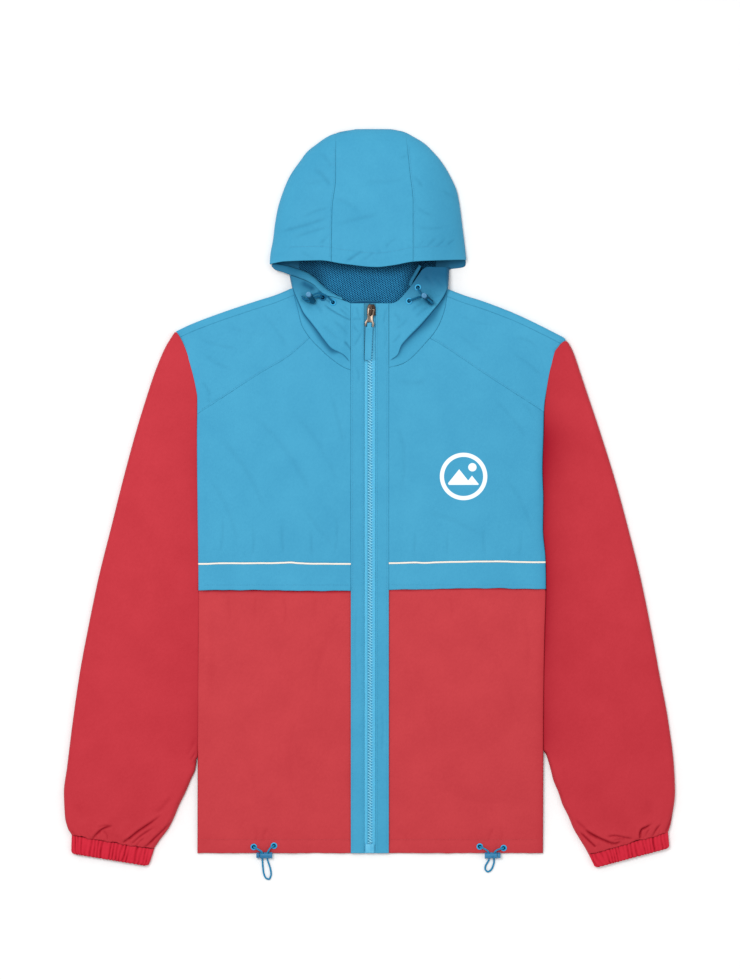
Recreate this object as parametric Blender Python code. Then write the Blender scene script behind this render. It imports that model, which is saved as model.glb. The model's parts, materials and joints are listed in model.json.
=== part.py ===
"""Hooded full-zip windbreaker, laid on its back on a flat surface.

Sizes are in millimetres in the tables below and are scaled to metres when a mesh is made.
X runs across the body (the wearer's right sleeve is at -X), Y towards the hood, Z up from
the surface. Distances called "out" are measured from the zip line towards a sleeve, so one
table serves both sides; side is -1 for the -X half and +1 for the +X half.

Each panel is a thin wall. Panels that face up are lids: they lie over the panel underneath
and roll down to it along the outline. Neighbours at a seam stand GAP apart.
"""

import math

import bmesh
import bpy
import numpy as np
from mathutils import Matrix, Vector

# ---------------------------------------------------------------- driving sizes, mm
MM = 0.001
GAP = 0.3  # between two pieces at a seam
CLOTH = 1.2  # wall of a cloth panel
MESH_CLOTH = 1.0  # wall of the hood's mesh lining
HEM_Y = -443.0  # front hem
ZIP_TOP_Y = 243.6  # top of the zip and of the collar's front edge
BACK_SPLIT_Y = -98.0  # seam between the blue back yoke and the red back body
PIPING_Y = -82.0  # seam that holds the piping and the storm flap
FLAP_DEPTH = 32.5  # from the piping down to the flap's free edge
PIPING_WIDTH = 2.1
LIFT = 1.6  # blue front pieces lie this much above the red ones
LID_BASE = 1.6  # a lid's rim stands here, just above the flat panel
ROLL = 6.0  # width of the rolled side edge
FLOOR = 1.5  # no lid reaches lower than this
FACING_IN = 7.6  # inner edge of the strip beside the zip
FACING_OUT = 23.7  # outer edge of that strip
CHAIN_HALF = 2.6  # half the width of the closed teeth
TAPE_OUT = 11.0  # the zip tape reaches this far under the facing
LAP_OUT = 19.0  # the red front reaches in under the facing to here
SHOULDER_FOLD = 3.8  # radius of the shoulder fold
SHOULDER_LAP = 10.0  # the back yoke wraps this far over the shoulder
CUFF_HEIGHT = 7.0
CUFF_WALL = 1.7
CUFF_GATHERS = 20
GATHER_RISE = 0.45
CORD_RADIUS = 1.1
LOCK_RADIUS = 3.6
LOCK_HOLE = 1.6  # radius
LOCK_BARREL = 15.5
LOCK_BUTTON = 4.0
LOCK_HOLE_STEP = 3.2  # each hole from the barrel's hole centre, along the barrel
EYELET_RADIUS = 4.1
EYELET_HOLE = 2.3
EYELET_RISE = 1.0
CLOTH_HOLE = 2.6  # hole through the cloth under an eyelet

# Places shared by neighbours, so that both sides of a seam have the same corners.
SEAM_LEVELS = (195, 183, 169, 155, 141, 127, 108, 84, 54, 18, -20, -56, -80.6, -83.4, -98.2,
               -114.5, -140, -170, -205, -240, -275, -310)  # y, down the armhole and the side
UNDER_LEVELS = (195, 183, 169, 155, 127, 108, 54, -20, -98.2, -205, -310)  # y, underneath
YOKE_SHARES = (0, 0.17, 0.34, 0.51, 0.68, 0.84, 0.957, 0.977, 0.9935, 1)  # from the neck out
NECK_OUTS = (31, 40, 49, 58, 67, 75)  # along the neck seam up to the yoke's seam
YOKE_ROWS = 6

# ---------------------------------------------------------------- outline tables, mm
# Side edge of the body: the armhole seam above y = -50 and the side fold below it.
BODY_EDGE = {  # rows of y, out
    -1: ((-443, 215.5), (-250, 215), (-114, 214), (-30, 215), (80, 216), (125, 215.5),
         (139.5, 217.5), (175, 226.5), (196.5, 234.5), (208.5, 241.5)),
    +1: ((-443, 216.5), (-250, 217.5), (-170, 218.8), (-113, 220.3), (-78, 219.8), (-33, 218),
         (27, 216), (80, 216.2), (112, 217.5), (134.5, 220.5), (156, 224), (184.5, 231.5),
         (197.5, 241)),
}
# The shoulder's fold, from the neck to the shoulder point.
SHOULDER = {  # rows of out, y
    -1: ((94, 264), (121, 253), (137.3, 248), (182.3, 233), (222.3, 218), (242.5, 208.5)),
    +1: ((94, 263), (120.3, 253), (136.5, 248), (176.5, 233), (209, 218), (237.8, 203),
         (243, 197.5)),
}
# Neck seam, from the zip facing to the neck point.
NECK_SEAM = {  # rows of out, y
    -1: ((24, 160.5), (30.3, 162.5), (48.5, 174.5), (62.3, 187), (75, 200.5), (85.3, 217.5),
         (90, 237), (96.8, 262)),
    +1: ((24, 163.5), (40, 167.5), (51, 174.5), (62.3, 185.6), (75, 200), (80.3, 206.3),
         (87.8, 219.4), (94.3, 239.4), (97.5, 261)),
}
NECK_PEAK = 75.0  # the front yoke's seam meets the neck seam this far out
# Slanting seam between the front yoke and the chest panel.
YOKE_SEAM = {  # rows of out, y
    -1: ((75, 200.5), (101, 178), (137.5, 156), (197.5, 117), (216, 105)),
    +1: ((75, 200), (87, 193.5), (117.8, 173.1), (137.8, 159.4), (217.5, 108)),
}
# Where the puffed collar folds over above the neck seam.
OVERHANG = {  # rows of out, y
    -1: ((24, 170), (32.3, 179.4), (48.5, 188.1), (56.6, 197.5), (65.4, 209.4), (74.1, 220.6),
         (82.3, 231), (87.6, 242.1), (98, 267)),
    +1: ((24, 172), (34, 179), (39.6, 191.1), (48, 200.6), (62.3, 215), (78.3, 233.4),
         (86.3, 243.1), (93, 253.4), (98.5, 267)),
}
# The collar's upper edge, which is the hood's front opening.
OPENING = {  # rows of out, y
    -1: ((24, 243.6), (31.5, 246.5), (43, 250.5), (56, 253.5), (62.3, 258.5), (68.5, 264.9),
         (78.1, 270.6), (86.4, 273.8), (100.4, 278.9)),
    +1: ((24, 243.3), (30, 244), (35.3, 246.9), (42.8, 254.6), (52.8, 266.9), (61, 279),
         (70, 290), (84, 297), (99.5, 299)),
}
# Heights of the collar along it: u is 0 at the zip and 1 at the side.
COLLAR_HEIGHT = {  # rows of u, over the fold, crown, upper edge
    -1: ((0, 11.6, 13.2, 14.1), (0.25, 14.5, 15.5, 14.6), (0.5, 16.5, 17, 16),
         (0.75, 17.5, 18, 17), (1, 16, 16, 15)),
    +1: ((0, 11.6, 13.2, 14.1), (0.2, 15, 15.5, 14.6), (0.45, 18, 17.5, 15),
         (0.75, 18, 17.5, 15), (1, 16, 16, 14)),
}
# The sleeve's outer edge, from the shoulder point to the cuff.
SLEEVE_OUTER = {  # rows of y, out
    -1: ((-419.4, 372.4), (-412, 377.3), (-397, 381), (-367, 382.3), (-337, 378.5),
         (-277, 371), (-217, 362.3), (-157, 351), (-97, 338.5), (-37, 323.5), (23, 308.5),
         (83, 292.3), (128, 278.5), (158, 268.5), (188, 256), (203, 247.3), (206, 244.5)),
    +1: ((-415.1, 372.6), (-408, 375.5), (-397, 377.8), (-367, 381.5), (-337, 380.3),
         (-277, 372.8), (-217, 361.5), (-157, 350.3), (-97, 337.8), (-37, 322.8),
         (23, 306.5), (83, 287.8), (128, 272.8), (158, 262.8), (188, 251.5), (195, 246.5)),
}
# The sleeve's inner edge where it has parted from the body.
SLEEVE_INNER = {  # rows of y, out
    -1: ((-436.9, 268.9), (-427, 262.3), (-412, 251), (-397, 243.5), (-382, 237.3),
         (-367, 229.8), (-352, 223.5), (-337, 217.3), (-322, 215.8)),
    +1: ((-443.8, 273.3), (-427, 262.8), (-412, 254), (-397, 247.8), (-382, 240.3),
         (-367, 235.3), (-352, 229), (-337, 225.3), (-316, 218.9)),
}
SLEEVE_TOP_Y = {-1: 205.0, +1: 194.0}
CREST_ALONG_SLEEVE = (  # rows of share of the length, height
    (0, 6.5), (0.03, 8.2), (0.08, 9.0), (0.3, 8.4), (0.8, 8.4), (0.93, 9.4), (1, 7.6))
# Cuff corners in plan: out and y of each.
CUFF = {  # top outer, top inner, bottom outer, bottom inner
    -1: ((372.4, -419.9), (268.9, -437.4), (373.0, -443.5), (276.5, -459.4)),
    +1: ((372.6, -415.6), (273.3, -444.3), (374.4, -436.5), (281.5, -461.4)),
}
# Height of the front at the zip, and over the middle of each half, along the body.
CENTRE_HEIGHT = ((-443, 4.2), (-400, 5.4), (-100, 5.6), (80, 6.2), (160, 8.5), (205, 11),
                 (244, 12.5))  # rows of y, height
CREST_HEIGHT = ((-443, 4.4), (-395, 6.8), (-100, 7.4), (80, 7.8), (160, 8.3), (262, 7.5))
# Half outlines of the hood in plan, and the height of its crown, along it.
HOOD = (  # rows of y, out at -X, out at +X, crown height
    (286, 123.5, 120.0, 31), (303, 123.5, 119, 31), (323, 121, 117.8, 30.5),
    (343, 118.5, 115.3, 29.5), (363, 114.8, 112.8, 28.5), (383, 108.5, 109, 27),
    (403, 99.8, 100.3, 24.8), (423, 86, 87.8, 22), (433, 78.5, 79, 20), (443, 66, 69, 17.2),
    (453, 51, 52.8, 12.5), (458, 37, 43, 9), (461.3, 18, 28, 5.2))
HOOD_EDGE_BASE = ((293, 8.0), (306, 4.0), (322, 1.6), (462, 1.6))  # rows of y, rim height
HOOD_SQUARENESS = 3.2
HOOD_SEAM = {  # rows of y, out: seam between the crown panel and a side panel
    -1: ((285, 47.8), (298, 47.8), (359.4, 46.9), (399.4, 42.5), (455, 42.5)),
    +1: ((285, 53.9), (295.6, 53.9), (368.1, 53.9), (403.1, 50.3), (455, 45.1)),
}
BRIM = (  # rows of x, y: the free front edge
    (-124, 292.5), (-106, 295.1), (-62.3, 296), (-32.3, 291.6), (8.4, 287.6), (29, 289.9),
    (55.3, 294.6), (90.3, 296.4), (120, 297.8))
BRIM_HEM = 17.0
HOOD_BACK = (  # rows of y, out at -X, out at +X: the hood's back on the surface
    (260.6, 93, 93), (266, 96, 96), (280, 99.5, 99.5), (289, 107, 105), (294, 119.5, 116.5),
    (303, 122.5, 118), (323, 120, 116.8), (343, 117.5, 114.3), (363, 113.5, 111.5),
    (383, 107, 107.5), (403, 98, 98.5), (423, 84, 86), (433, 76, 77), (443, 63, 66),
    (452, 49, 51), (457.5, 34, 40))
# Plain band inside the hood's opening: its outer fold and its edge on the mesh.
BAND_FOLD = {  # rows of out, y, height
    -1: ((34, 248.4, 13.6), (43, 251.3, 14.2), (56, 254.4, 15), (62.6, 259.4, 15.4),
         (68.8, 265.8, 15.6), (78.4, 271.5, 15.4), (86.7, 274.7, 15), (100.7, 280, 12),
         (109.8, 283.5, 10), (118.5, 286.4, 8.4), (122.5, 290.5, 7.4)),
    +1: ((51.8, 264.6, 13.4), (54.4, 271.5, 12), (58.5, 279, 11), (64.5, 290, 10.5)),
}
BAND_EDGE = {  # rows of out, y, height
    -1: ((34.5, 250.6, 11.5), (43.5, 255, 10), (52.5, 261, 8.5), (61, 268.6, 7.5),
         (69.8, 276.9, 7), (76.8, 281.9, 7), (91.5, 287.5, 7), (104, 291, 6.8),
         (113, 292.6, 6.6), (118, 293.4, 6.4), (121.5, 293.6, 6.2)),
    +1: ((48.3, 266.8, 11.2), (50.6, 274, 9), (54.8, 281, 8.4), (61, 292, 8)),
}
# Folds that show from a step away, as ridges (+) and troughs (-) laid on a panel's height.
SLEEVE_FOLDS = {  # rows of out 1, y 1, out 2, y 2, half width, rise
    -1: ((343.8, -424, 327, -408, 6, -1.4), (306.8, -431, 280, -407, 6, -1.8),
         (318, -424, 296, -402, 7, 1.1), (279, -436, 249, -407, 6, -1.6),
         (372, -150, 300, 40, 16, 0.7), (250, -140, 232, -60, 10, -0.8)),
    +1: ((269, -414, 307.4, -431, 6, -1.8), (336.8, -422, 353.3, -406, 6, -1.5),
         (258.9, -417, 281.9, -435, 6, -1.3), (368.6, -414, 380, -384, 6, -1.4),
         (297, -421, 328, -423, 6, 0.9), (345, -190, 290, 20, 16, 0.7)),
}
FRONT_FOLDS = {
    -1: ((60, -380, 95, -250, 16, 0.7), (120, -20, 150, 90, 18, 0.6),
         (205, -180, 170, -290, 15, -0.7)),
    +1: ((80, -390, 60, -240, 16, 0.6), (165, -40, 130, 100, 18, 0.7),
         (200, -210, 165, -320, 15, -0.7)),
}
# Puffed hollow under each cord lock, as a dent in the collar.
LOCK_DENT = {-1: (70.5, 246.5), +1: (75.0, 244.5)}  # out, y
LOCK_DENT_DEPTH = 5.6
LOCK_DENT_RADIUS = 13.0

# Eyelets: side, out, y, the panel that holds each.
EYELETS = {
    "eyelet_hood_left_lower": (-1, 45.9, 244.4, "collar_left"),
    "eyelet_hood_left_upper": (-1, 58.6, 250.6, "collar_left"),
    "eyelet_hood_right_upper": (+1, 60.0, 263.0, "collar_right"),
    "eyelet_hood_right_lower": (+1, 49.0, 246.0, "collar_right"),
    "eyelet_hem_left_outer": (-1, 144.9, -435.0, "lower_front_left"),
    "eyelet_hem_left_inner": (-1, 119.6, -433.5, "lower_front_left"),
    "eyelet_hem_right_inner": (+1, 137.3, -434.5, "lower_front_right"),
    "eyelet_hem_right_outer": (+1, 167.1, -436.4, "lower_front_right"),
}
# Cord locks: middle of the holes, direction of the button, side the cord comes in from.
LOCKS = {
    "hem_left": ((-131.0, -447.5, 3.9), (-1, 0, 0), (0, 0.87, 0.5)),
    "hem_right": ((152.0, -447.5, 3.9), (1, 0, 0), (0, 0.87, 0.5)),
    "hood_left": ((-73.1, 249.3, 22.4), (-0.305, 0.452, 0.839), (0.83, 0.56, 0)),
    "hood_right": ((71.9, 248.2, 22.4), (-0.462, 0.426, 0.777), (-0.57, 0.526, -0.629)),
}
# Drawcords: the lock, the two eyelets, and route points in between. Each comes out of the
# first eyelet, goes through the lock, turns in a loop and comes back to the second eyelet.
CORDS = {
    "cord_hem_left": {
        "lock": "hem_left", "eyelets": ("eyelet_hem_left_outer", "eyelet_hem_left_inner"),
        "there": ((-142.4, -436.3, 8.0), (-138.4, -438.5, 8.3), (-135.2, -440.8, 7.6)),
        "loop": ((-134.0, -455.0, 1.5), (-133.4, -462.5, 1.5), (-132.2, -469.5, 1.5),
                 (-129.4, -474.6, 1.5), (-125.8, -475.6, 1.5), (-123.7, -471.5, 1.5),
                 (-124.2, -463.0, 1.5), (-126.6, -455.2, 1.5)),
        "back": ((-127.0, -440.6, 7.9), (-125.2, -437.4, 8.6), (-122.0, -434.6, 8.2)),
    },
    "cord_hem_right": {
        "lock": "hem_right", "eyelets": ("eyelet_hem_right_outer", "eyelet_hem_right_inner"),
        "there": ((164.6, -436.8, 8.2), (160.4, -438.0, 8.5), (156.6, -440.4, 7.9)),
        "loop": ((155.2, -454.6, 1.5), (154.0, -459.0, 1.5), (151.4, -464.2, 1.5),
                 (147.4, -466.4, 1.5), (144.4, -463.6, 1.5), (144.6, -459.2, 1.5),
                 (147.2, -454.6, 1.5)),
        "back": ((147.6, -440.4, 7.8), (144.4, -437.8, 8.5), (139.8, -435.6, 8.2)),
    },
    "cord_hood_left": {
        "lock": "hood_left", "eyelets": ("eyelet_hood_left_lower", "eyelet_hood_left_upper"),
        "there": ((-49.0, 248.0, 20.4), (-54.5, 252.2, 23.4), (-60.5, 254.8, 24.8),
                  (-66.0, 255.0, 25.2)),
        "loop": ((-81.2, 248.2, 24.8), (-83.9, 250.7, 23.6), (-84.2, 251.4, 21.3),
                 (-82.2, 248.6, 19.8), (-79.2, 246.2, 19.6)),
        "back": ((-65.2, 251.6, 20.0), (-61.4, 251.4, 19.9)),
    },
    "cord_hood_right": {
        "lock": "hood_right", "eyelets": ("eyelet_hood_right_upper", "eyelet_hood_right_lower"),
        "there": ((60.6, 259.6, 20.4), (62.4, 256.2, 20.9), (64.8, 253.9, 20.8)),
        "loop": ((75.0, 245.7, 29.0), (77.5, 243.7, 28.4), (78.5, 242.6, 26.0)),
        "back": ((67.3, 251.7, 16.2), (62.0, 251.0, 17.8), (55.5, 249.0, 19.2),
                 (51.5, 247.2, 18.9)),
    },
}
CORD_POINT_STEP = 3.3
CORD_REACH = 4.6  # straight run on each side of a lock's hole centre

# ---------------------------------------------------------------- zip pull
PIVOT = (1.2, 235.5, 17.3)  # axis of the pull tab, along X
TAB_TILT = math.radians(5.2)
TAB_SKEW = math.radians(-1.6)
SLIDER_SIZE = (10.6, 14.0, 2.8)
SLIDER_BASE_Z = 12.95
BRIDGE_SIZE = (2.6, 12.0, 1.2)  # width, length, thickness of the strap over the pivot
BRIDGE_UNDER_Z = 18.6
FOOT_LENGTH = 1.5
CROSSBAR_RADIUS = 0.7
TAB_THICK = 1.2
PULLER_THICK = 1.8

# ---------------------------------------------------------------- finishes
FINISHES = {  # colour, roughness, metallic
    "blue_cloth": ((0.075, 0.41, 0.645), 0.62, 0.0),
    "red_cloth": ((0.58, 0.032, 0.048), 0.62, 0.0),
    "cuff_cloth": ((0.63, 0.03, 0.06), 0.65, 0.0),
    "mesh_lining": ((0.01, 0.13, 0.32), 0.75, 0.0),
    "piping": ((0.87, 0.83, 0.72), 0.6, 0.0),
    "zip_tape": ((0.13, 0.51, 0.76), 0.6, 0.0),
    "zip_teeth": ((0.18, 0.56, 0.8), 0.4, 0.0),
    "zip_metal": ((0.42, 0.35, 0.28), 0.35, 1.0),
    "cord": ((0.04, 0.3, 0.5), 0.6, 0.0),
    "lock_plastic": ((0.05, 0.29, 0.48), 0.4, 0.0),
    "eyelet": ((0.13, 0.6, 0.86), 0.35, 0.0),
}


# ---------------------------------------------------------------- arithmetic
def mix(low, high, share):
    """The value that lies share of the way from low to high."""
    return low + (high - low) * share


def smooth(share):
    """0 below 0, 1 above 1, and a soft step between."""
    share = min(max(share, 0.0), 1.0)
    return share * share * (3 - 2 * share)


def through(knots, values, at, snug=False):
    """A smooth curve through values at rising knots, read at one place and clamped.

    A snug curve never swings past its values, so a table can change quickly."""
    knots = [float(k) for k in knots]
    values = np.array(values, float)
    at = min(max(at, knots[0]), knots[-1])
    i = min(int(np.searchsorted(knots, at, side="right")) - 1, len(knots) - 2)
    steps = np.diff(knots)
    slopes = (values[1:] - values[:-1]) / (steps[:, None] if values.ndim > 1 else steps)

    def tangent(k):
        if k in (0, len(knots) - 1):
            return slopes[0 if k == 0 else -1]
        before, after = slopes[k - 1], slopes[k]
        if snug:
            return 2 * before * after / (before + after) if before * after > 0 else 0.0
        return (before * steps[k] + after * steps[k - 1]) / (steps[k - 1] + steps[k])

    h = steps[i]
    t = (at - knots[i]) / h
    return ((2 * t**3 - 3 * t**2 + 1) * values[i] + (t**3 - 2 * t**2 + t) * h * tangent(i)
            + (3 * t**2 - 2 * t**3) * values[i + 1] + (t**3 - t**2) * h * tangent(i + 1))


def column(table, at, which=1):
    """One column of a table of rows, read smoothly at a value of the first column."""
    return float(through([r[0] for r in table], [r[which] for r in table], at, snug=True))


def along(points, share):
    """The point that lies share of the way along a smooth curve through points."""
    points = np.array(points, float)
    knots = np.concatenate([[0], np.cumsum(np.linalg.norm(np.diff(points[:, :2], axis=0), axis=1))])
    return through(knots, points, share * knots[-1])


def shares(count):
    """count + 1 evenly spaced shares from 0 to 1."""
    return [i / count for i in range(count + 1)]


def roll_steps(width):
    """Distances in from a rolled edge that follow a quarter circle of that width."""
    return [width * (1 - math.cos(math.radians(a))) for a in (0, 32, 62, 90)]


def rolled(inward, width):
    """Share of the full height that a rolled edge has reached, inward from the outline."""
    left = 1 - min(max(inward / width, 0.0), 1.0)
    return math.sqrt(max(0.0, 1 - left * left))


def fold_rise(folds, out, y):
    """Sum of the ridges and troughs of a table of folds at one place."""
    total = 0.0
    for out1, y1, out2, y2, half, rise in folds:
        dx, dy = out2 - out1, y2 - y1
        length = math.hypot(dx, dy)
        t = ((out - out1) * dx + (y - y1) * dy) / length**2
        away = abs((out - out1) * dy - (y - y1) * dx) / length
        end = smooth((t + 0.25) / 0.4) * smooth((1.25 - t) / 0.4)
        total += rise * math.exp(-((away / half) ** 2)) * end
    return total


# ---------------------------------------------------------------- heights of the lids
def body_edge(side, y):
    """How far out the body's edge is at a height along the body."""
    return column(BODY_EDGE[side], y)


def front_height(side, out, y):
    """Height of the red front's face before its side edge rolls down."""
    swell = smooth(out / body_edge(side, y) / 0.5)
    height = mix(column(CENTRE_HEIGHT, y), column(CREST_HEIGHT, y), swell)
    return height + fold_rise(FRONT_FOLDS[side], out, y)


def front_face(side, out, y, lift=0.0, inset=0.0):
    """Height of a front piece's outer face, with the rolled edge along the armhole."""
    height = front_height(side, out, y) + lift
    base = mix(LID_BASE, height, smooth((y - 95) / 50))
    return mix(base, height, rolled(body_edge(side, y) - inset - out, ROLL))


def yoke_face(side, out, y):
    """Height of the front yoke, which sinks to the shoulder fold."""
    below = column(SHOULDER[side], out) - SHOULDER_LAP - y
    return mix(2 * SHOULDER_FOLD, front_face(side, out, y, LIFT), smooth(below / 35))


def hood_face(x, y):
    """Height of the hood's outer face."""
    left, right = column(HOOD, y, 1), column(HOOD, y, 2)
    middle, half = (right - left) / 2, (right + left) / 2
    across = min(abs(x - middle) / half, 1.0)
    base = column(HOOD_EDGE_BASE, y)
    return mix(base, column(HOOD, y, 3), math.sqrt(1 - across**HOOD_SQUARENESS))


# ---------------------------------------------------------------- mesh builders
def finish(name):
    """The material of one finish, made once."""
    if name in bpy.data.materials:
        return bpy.data.materials[name]
    colour, roughness, metallic = FINISHES[name]
    material = bpy.data.materials.new(name)
    material.use_nodes = True
    shader = material.node_tree.nodes["Principled BSDF"]
    shader.inputs["Base Color"].default_value = (*colour, 1)
    shader.inputs["Roughness"].default_value = roughness
    shader.inputs["Metallic"].default_value = metallic
    return material


def add_object(name, bm, finish_name, smooth_faces=True):
    """Link a mesh as an object of its own, in metres, with its faces pointing out."""
    bmesh.ops.recalc_face_normals(bm, faces=bm.faces)
    bmesh.ops.scale(bm, vec=(MM, MM, MM), verts=bm.verts)
    mesh = bpy.data.meshes.new(name)
    bm.to_mesh(mesh)
    bm.free()
    mesh.materials.append(finish(finish_name))
    if smooth_faces:
        mesh.shade_smooth()
        mesh.set_sharp_from_angle(angle=math.radians(40))
    obj = bpy.data.objects.new(name, mesh)
    bpy.context.scene.collection.objects.link(obj)
    return obj


def wall(name, outer, finish_name, thickness=CLOTH, up=True, keep=None, floor=None, level=False):
    """A cloth wall whose outer face is a grid of points.

    keep(i, j) says which cells it has, floor is the lowest its inner face may reach, and a
    level wall is thickened straight across the body, so its seams stay parallel."""
    outer = np.array(outer, float)
    rows, cols = outer.shape[:2]
    cells = [(i, j) for i in range(rows - 1) for j in range(cols - 1) if keep is None or keep(i, j)]
    normals = np.zeros_like(outer)
    for i, j in cells:
        a, b, c, d = outer[i, j], outer[i, j + 1], outer[i + 1, j + 1], outer[i + 1, j]
        facing = np.cross(c - a, d - b)
        facing /= max(np.linalg.norm(facing), 1e-9)
        for k in ((i, j), (i, j + 1), (i + 1, j + 1), (i + 1, j)):
            normals[k] += facing
    if level:
        normals[..., 1] = 0
    normals /= np.maximum(np.linalg.norm(normals, axis=2, keepdims=True), 1e-9)
    if (sum(normals[i, j][2] for i, j in cells) > 0) != up:
        normals = -normals
    inner = outer - normals * thickness
    if floor is not None:
        inner[..., 2] = np.maximum(inner[..., 2], floor)
    bm = bmesh.new()
    verts = {}

    def vert(i, j, layer):
        if (i, j, layer) not in verts:
            verts[i, j, layer] = bm.verts.new((outer, inner)[layer][i, j])
        return verts[i, j, layer]

    rim = {}
    for i, j in cells:
        loop = [(i, j), (i, j + 1), (i + 1, j + 1), (i + 1, j)]
        for corners in (loop[:3], [loop[0], *loop[2:]]):
            bm.faces.new([vert(*k, 0) for k in corners])
            bm.faces.new([vert(*k, 1) for k in reversed(corners)])
        for a, b in zip(loop, loop[1:] + loop[:1]):
            if (b, a) in rim:
                del rim[b, a]
            else:
                rim[a, b] = True
    for a, b in rim:
        bm.faces.new([vert(*b, 0), vert(*a, 0), vert(*a, 1), vert(*b, 1)])
    return add_object(name, bm, finish_name)


def box(bm, low, high):
    """Add a box between two corners to a mesh."""
    size = [h - l for l, h in zip(low, high)]
    middle = [(h + l) / 2 for l, h in zip(low, high)]
    matrix = Matrix.Translation(middle) @ Matrix.Diagonal((*size, 1))
    return bmesh.ops.create_cube(bm, size=1, matrix=matrix)["verts"]


def plate(outline, low, high):
    """A mesh extruded between two heights from an outline in plan."""
    bm = bmesh.new()
    face = bm.faces.new([bm.verts.new((x, y, low)) for x, y in outline])
    top = bmesh.ops.extrude_face_region(bm, geom=[face])
    verts = [v for v in top["geom"] if isinstance(v, bmesh.types.BMVert)]
    bmesh.ops.translate(bm, vec=(0, 0, high - low), verts=verts)
    return bm


def aim(place, axis, across=None):
    """A matrix that puts +Z along axis and, where given, +X near across."""
    z = Vector(axis).normalized()
    x = Vector(across if across is not None else ((1, 0, 0) if abs(z.x) < 0.9 else (0, 1, 0)))
    x = (x - z * x.dot(z)).normalized()
    turn = Matrix((x, z.cross(x), z)).transposed().to_4x4()
    return Matrix.Translation(Vector(place)) @ turn


def turned(bm, profile, matrix, sides):
    """Add a solid turned about +Z from a closed profile of radius and height."""
    rings = []
    for k in range(sides):
        a = 2 * math.pi * k / sides
        rings.append([bm.verts.new(matrix @ Vector((r * math.cos(a), r * math.sin(a), z)))
                      for r, z in profile])
    for one, two in zip(rings, rings[1:] + rings[:1]):
        for i in range(len(profile)):
            j = (i + 1) % len(profile)
            bm.faces.new([one[i], one[j], two[j], two[i]])


def cutter(name, place, axis, radius, length, sides=12):
    """A hidden cylinder that cuts a hole."""
    bm = bmesh.new()
    matrix = aim(place, axis)
    bmesh.ops.create_cone(bm, cap_ends=True, segments=sides, radius1=radius, radius2=radius,
                          depth=length, matrix=matrix)
    obj = add_object(name, bm, "eyelet", smooth_faces=False)
    obj.hide_render = True
    obj.display_type = "WIRE"
    return obj


def cut(obj, tool):
    """Cut a tool out of an object."""
    modifier = obj.modifiers.new("hole", "BOOLEAN")
    modifier.operation = "DIFFERENCE"
    modifier.object = tool


def seat(outer, x, y):
    """Point and upward normal of a lid's outer face above a place in plan."""
    outer = np.array(outer, float)
    for i in range(outer.shape[0] - 1):
        for j in range(outer.shape[1] - 1):
            corners = outer[i, j], outer[i, j + 1], outer[i + 1, j + 1], outer[i + 1, j]
            for a, b, c in ((0, 1, 2), (0, 2, 3)):
                p, q, r = corners[a], corners[b], corners[c]
                base = np.array([q[:2] - p[:2], r[:2] - p[:2]]).T
                if abs(np.linalg.det(base)) < 1e-9:
                    continue
                s, t = np.linalg.solve(base, np.array([x, y]) - p[:2])
                if s >= -1e-9 and t >= -1e-9 and s + t <= 1 + 1e-9:
                    normal = np.cross(q - p, r - p)
                    normal *= math.copysign(1 / np.linalg.norm(normal), normal[2])
                    return p + s * (q - p) + t * (r - p), normal
    raise ValueError(f"no cloth under {x}, {y}")


# ---------------------------------------------------------------- body panels
def chest_top(side, out):
    """Upper edge of the chest panel: the neck seam and then the yoke's slanting seam."""
    table = NECK_SEAM[side] if out < NECK_PEAK else YOKE_SEAM[side]
    return column(table, out)


def levels_between(low, high, levels=SEAM_LEVELS):
    """The shared levels that lie between two heights, from low to high."""
    return [y for y in reversed(levels) if low + 4 < y < high - 4]


def front_columns(side, y, first, count, inset=0.0):
    """Distances out of the columns of a front piece at one height."""
    edge = body_edge(side, y) - inset
    inner = [mix(first, edge - ROLL, s) for s in shares(count)]
    return inner + [edge - d for d in reversed(roll_steps(ROLL)[:-1])]


def chest(side):
    """Blue chest panel from the piping up to the neck and yoke seams."""
    low = PIPING_Y + PIPING_WIDTH / 2 + GAP
    high = YOKE_SEAM[side][-1][1] - GAP / 2
    rows = []
    for level in [low, *levels_between(low, high), high]:
        share = (level - low) / (high - low)
        edge = body_edge(side, level)
        outs = [FACING_OUT + GAP, *NECK_OUTS]
        outs += [mix(NECK_PEAK, edge, s) for s in YOKE_SHARES[1:]]
        row = []
        for out in outs:
            y = mix(low, chest_top(side, out) - GAP / 2, share)
            row.append((side * out, y, front_face(side, out, y, LIFT)))
        rows.append(row)
    return rows


def front_strip(side, low, high, first, rows, columns, lift=LIFT, inset=0.0):
    """Grid of a front piece between two heights along the body."""
    grid = []
    for share in shares(rows):
        y = mix(low, high, share)
        grid.append([(side * out, y, front_face(side, out, y, lift, inset))
                     for out in front_columns(side, y, first, columns, inset)])
    return grid


def lower_front(side):
    """Red lower front from the hem up to the piping seam, under the storm flap."""
    top = PIPING_Y - PIPING_WIDTH / 2 - GAP
    flap_end = PIPING_Y - FLAP_DEPTH
    grid = []
    for y in [HEM_Y, -424, -400, -375, -345, *levels_between(-320, top), top]:
        inset = (LIFT + 0.3) * smooth((y - flap_end + 16) / 12)
        edge = body_edge(side, y) - inset
        row = []
        for out in front_columns(side, y, LAP_OUT, 9, inset):
            ripple = 0.6 * math.sin(out / 11 + side) * smooth((HEM_Y + 40 - y) / 40)
            ripple *= smooth((out - FACING_OUT - 2) / 12)
            z = front_face(side, out, y, 0.0, inset) + ripple * rolled(edge - out, 2 * ROLL)
            row.append((side * out, y, max(z, LID_BASE)))
        grid.append(row)
    return grid


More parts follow.
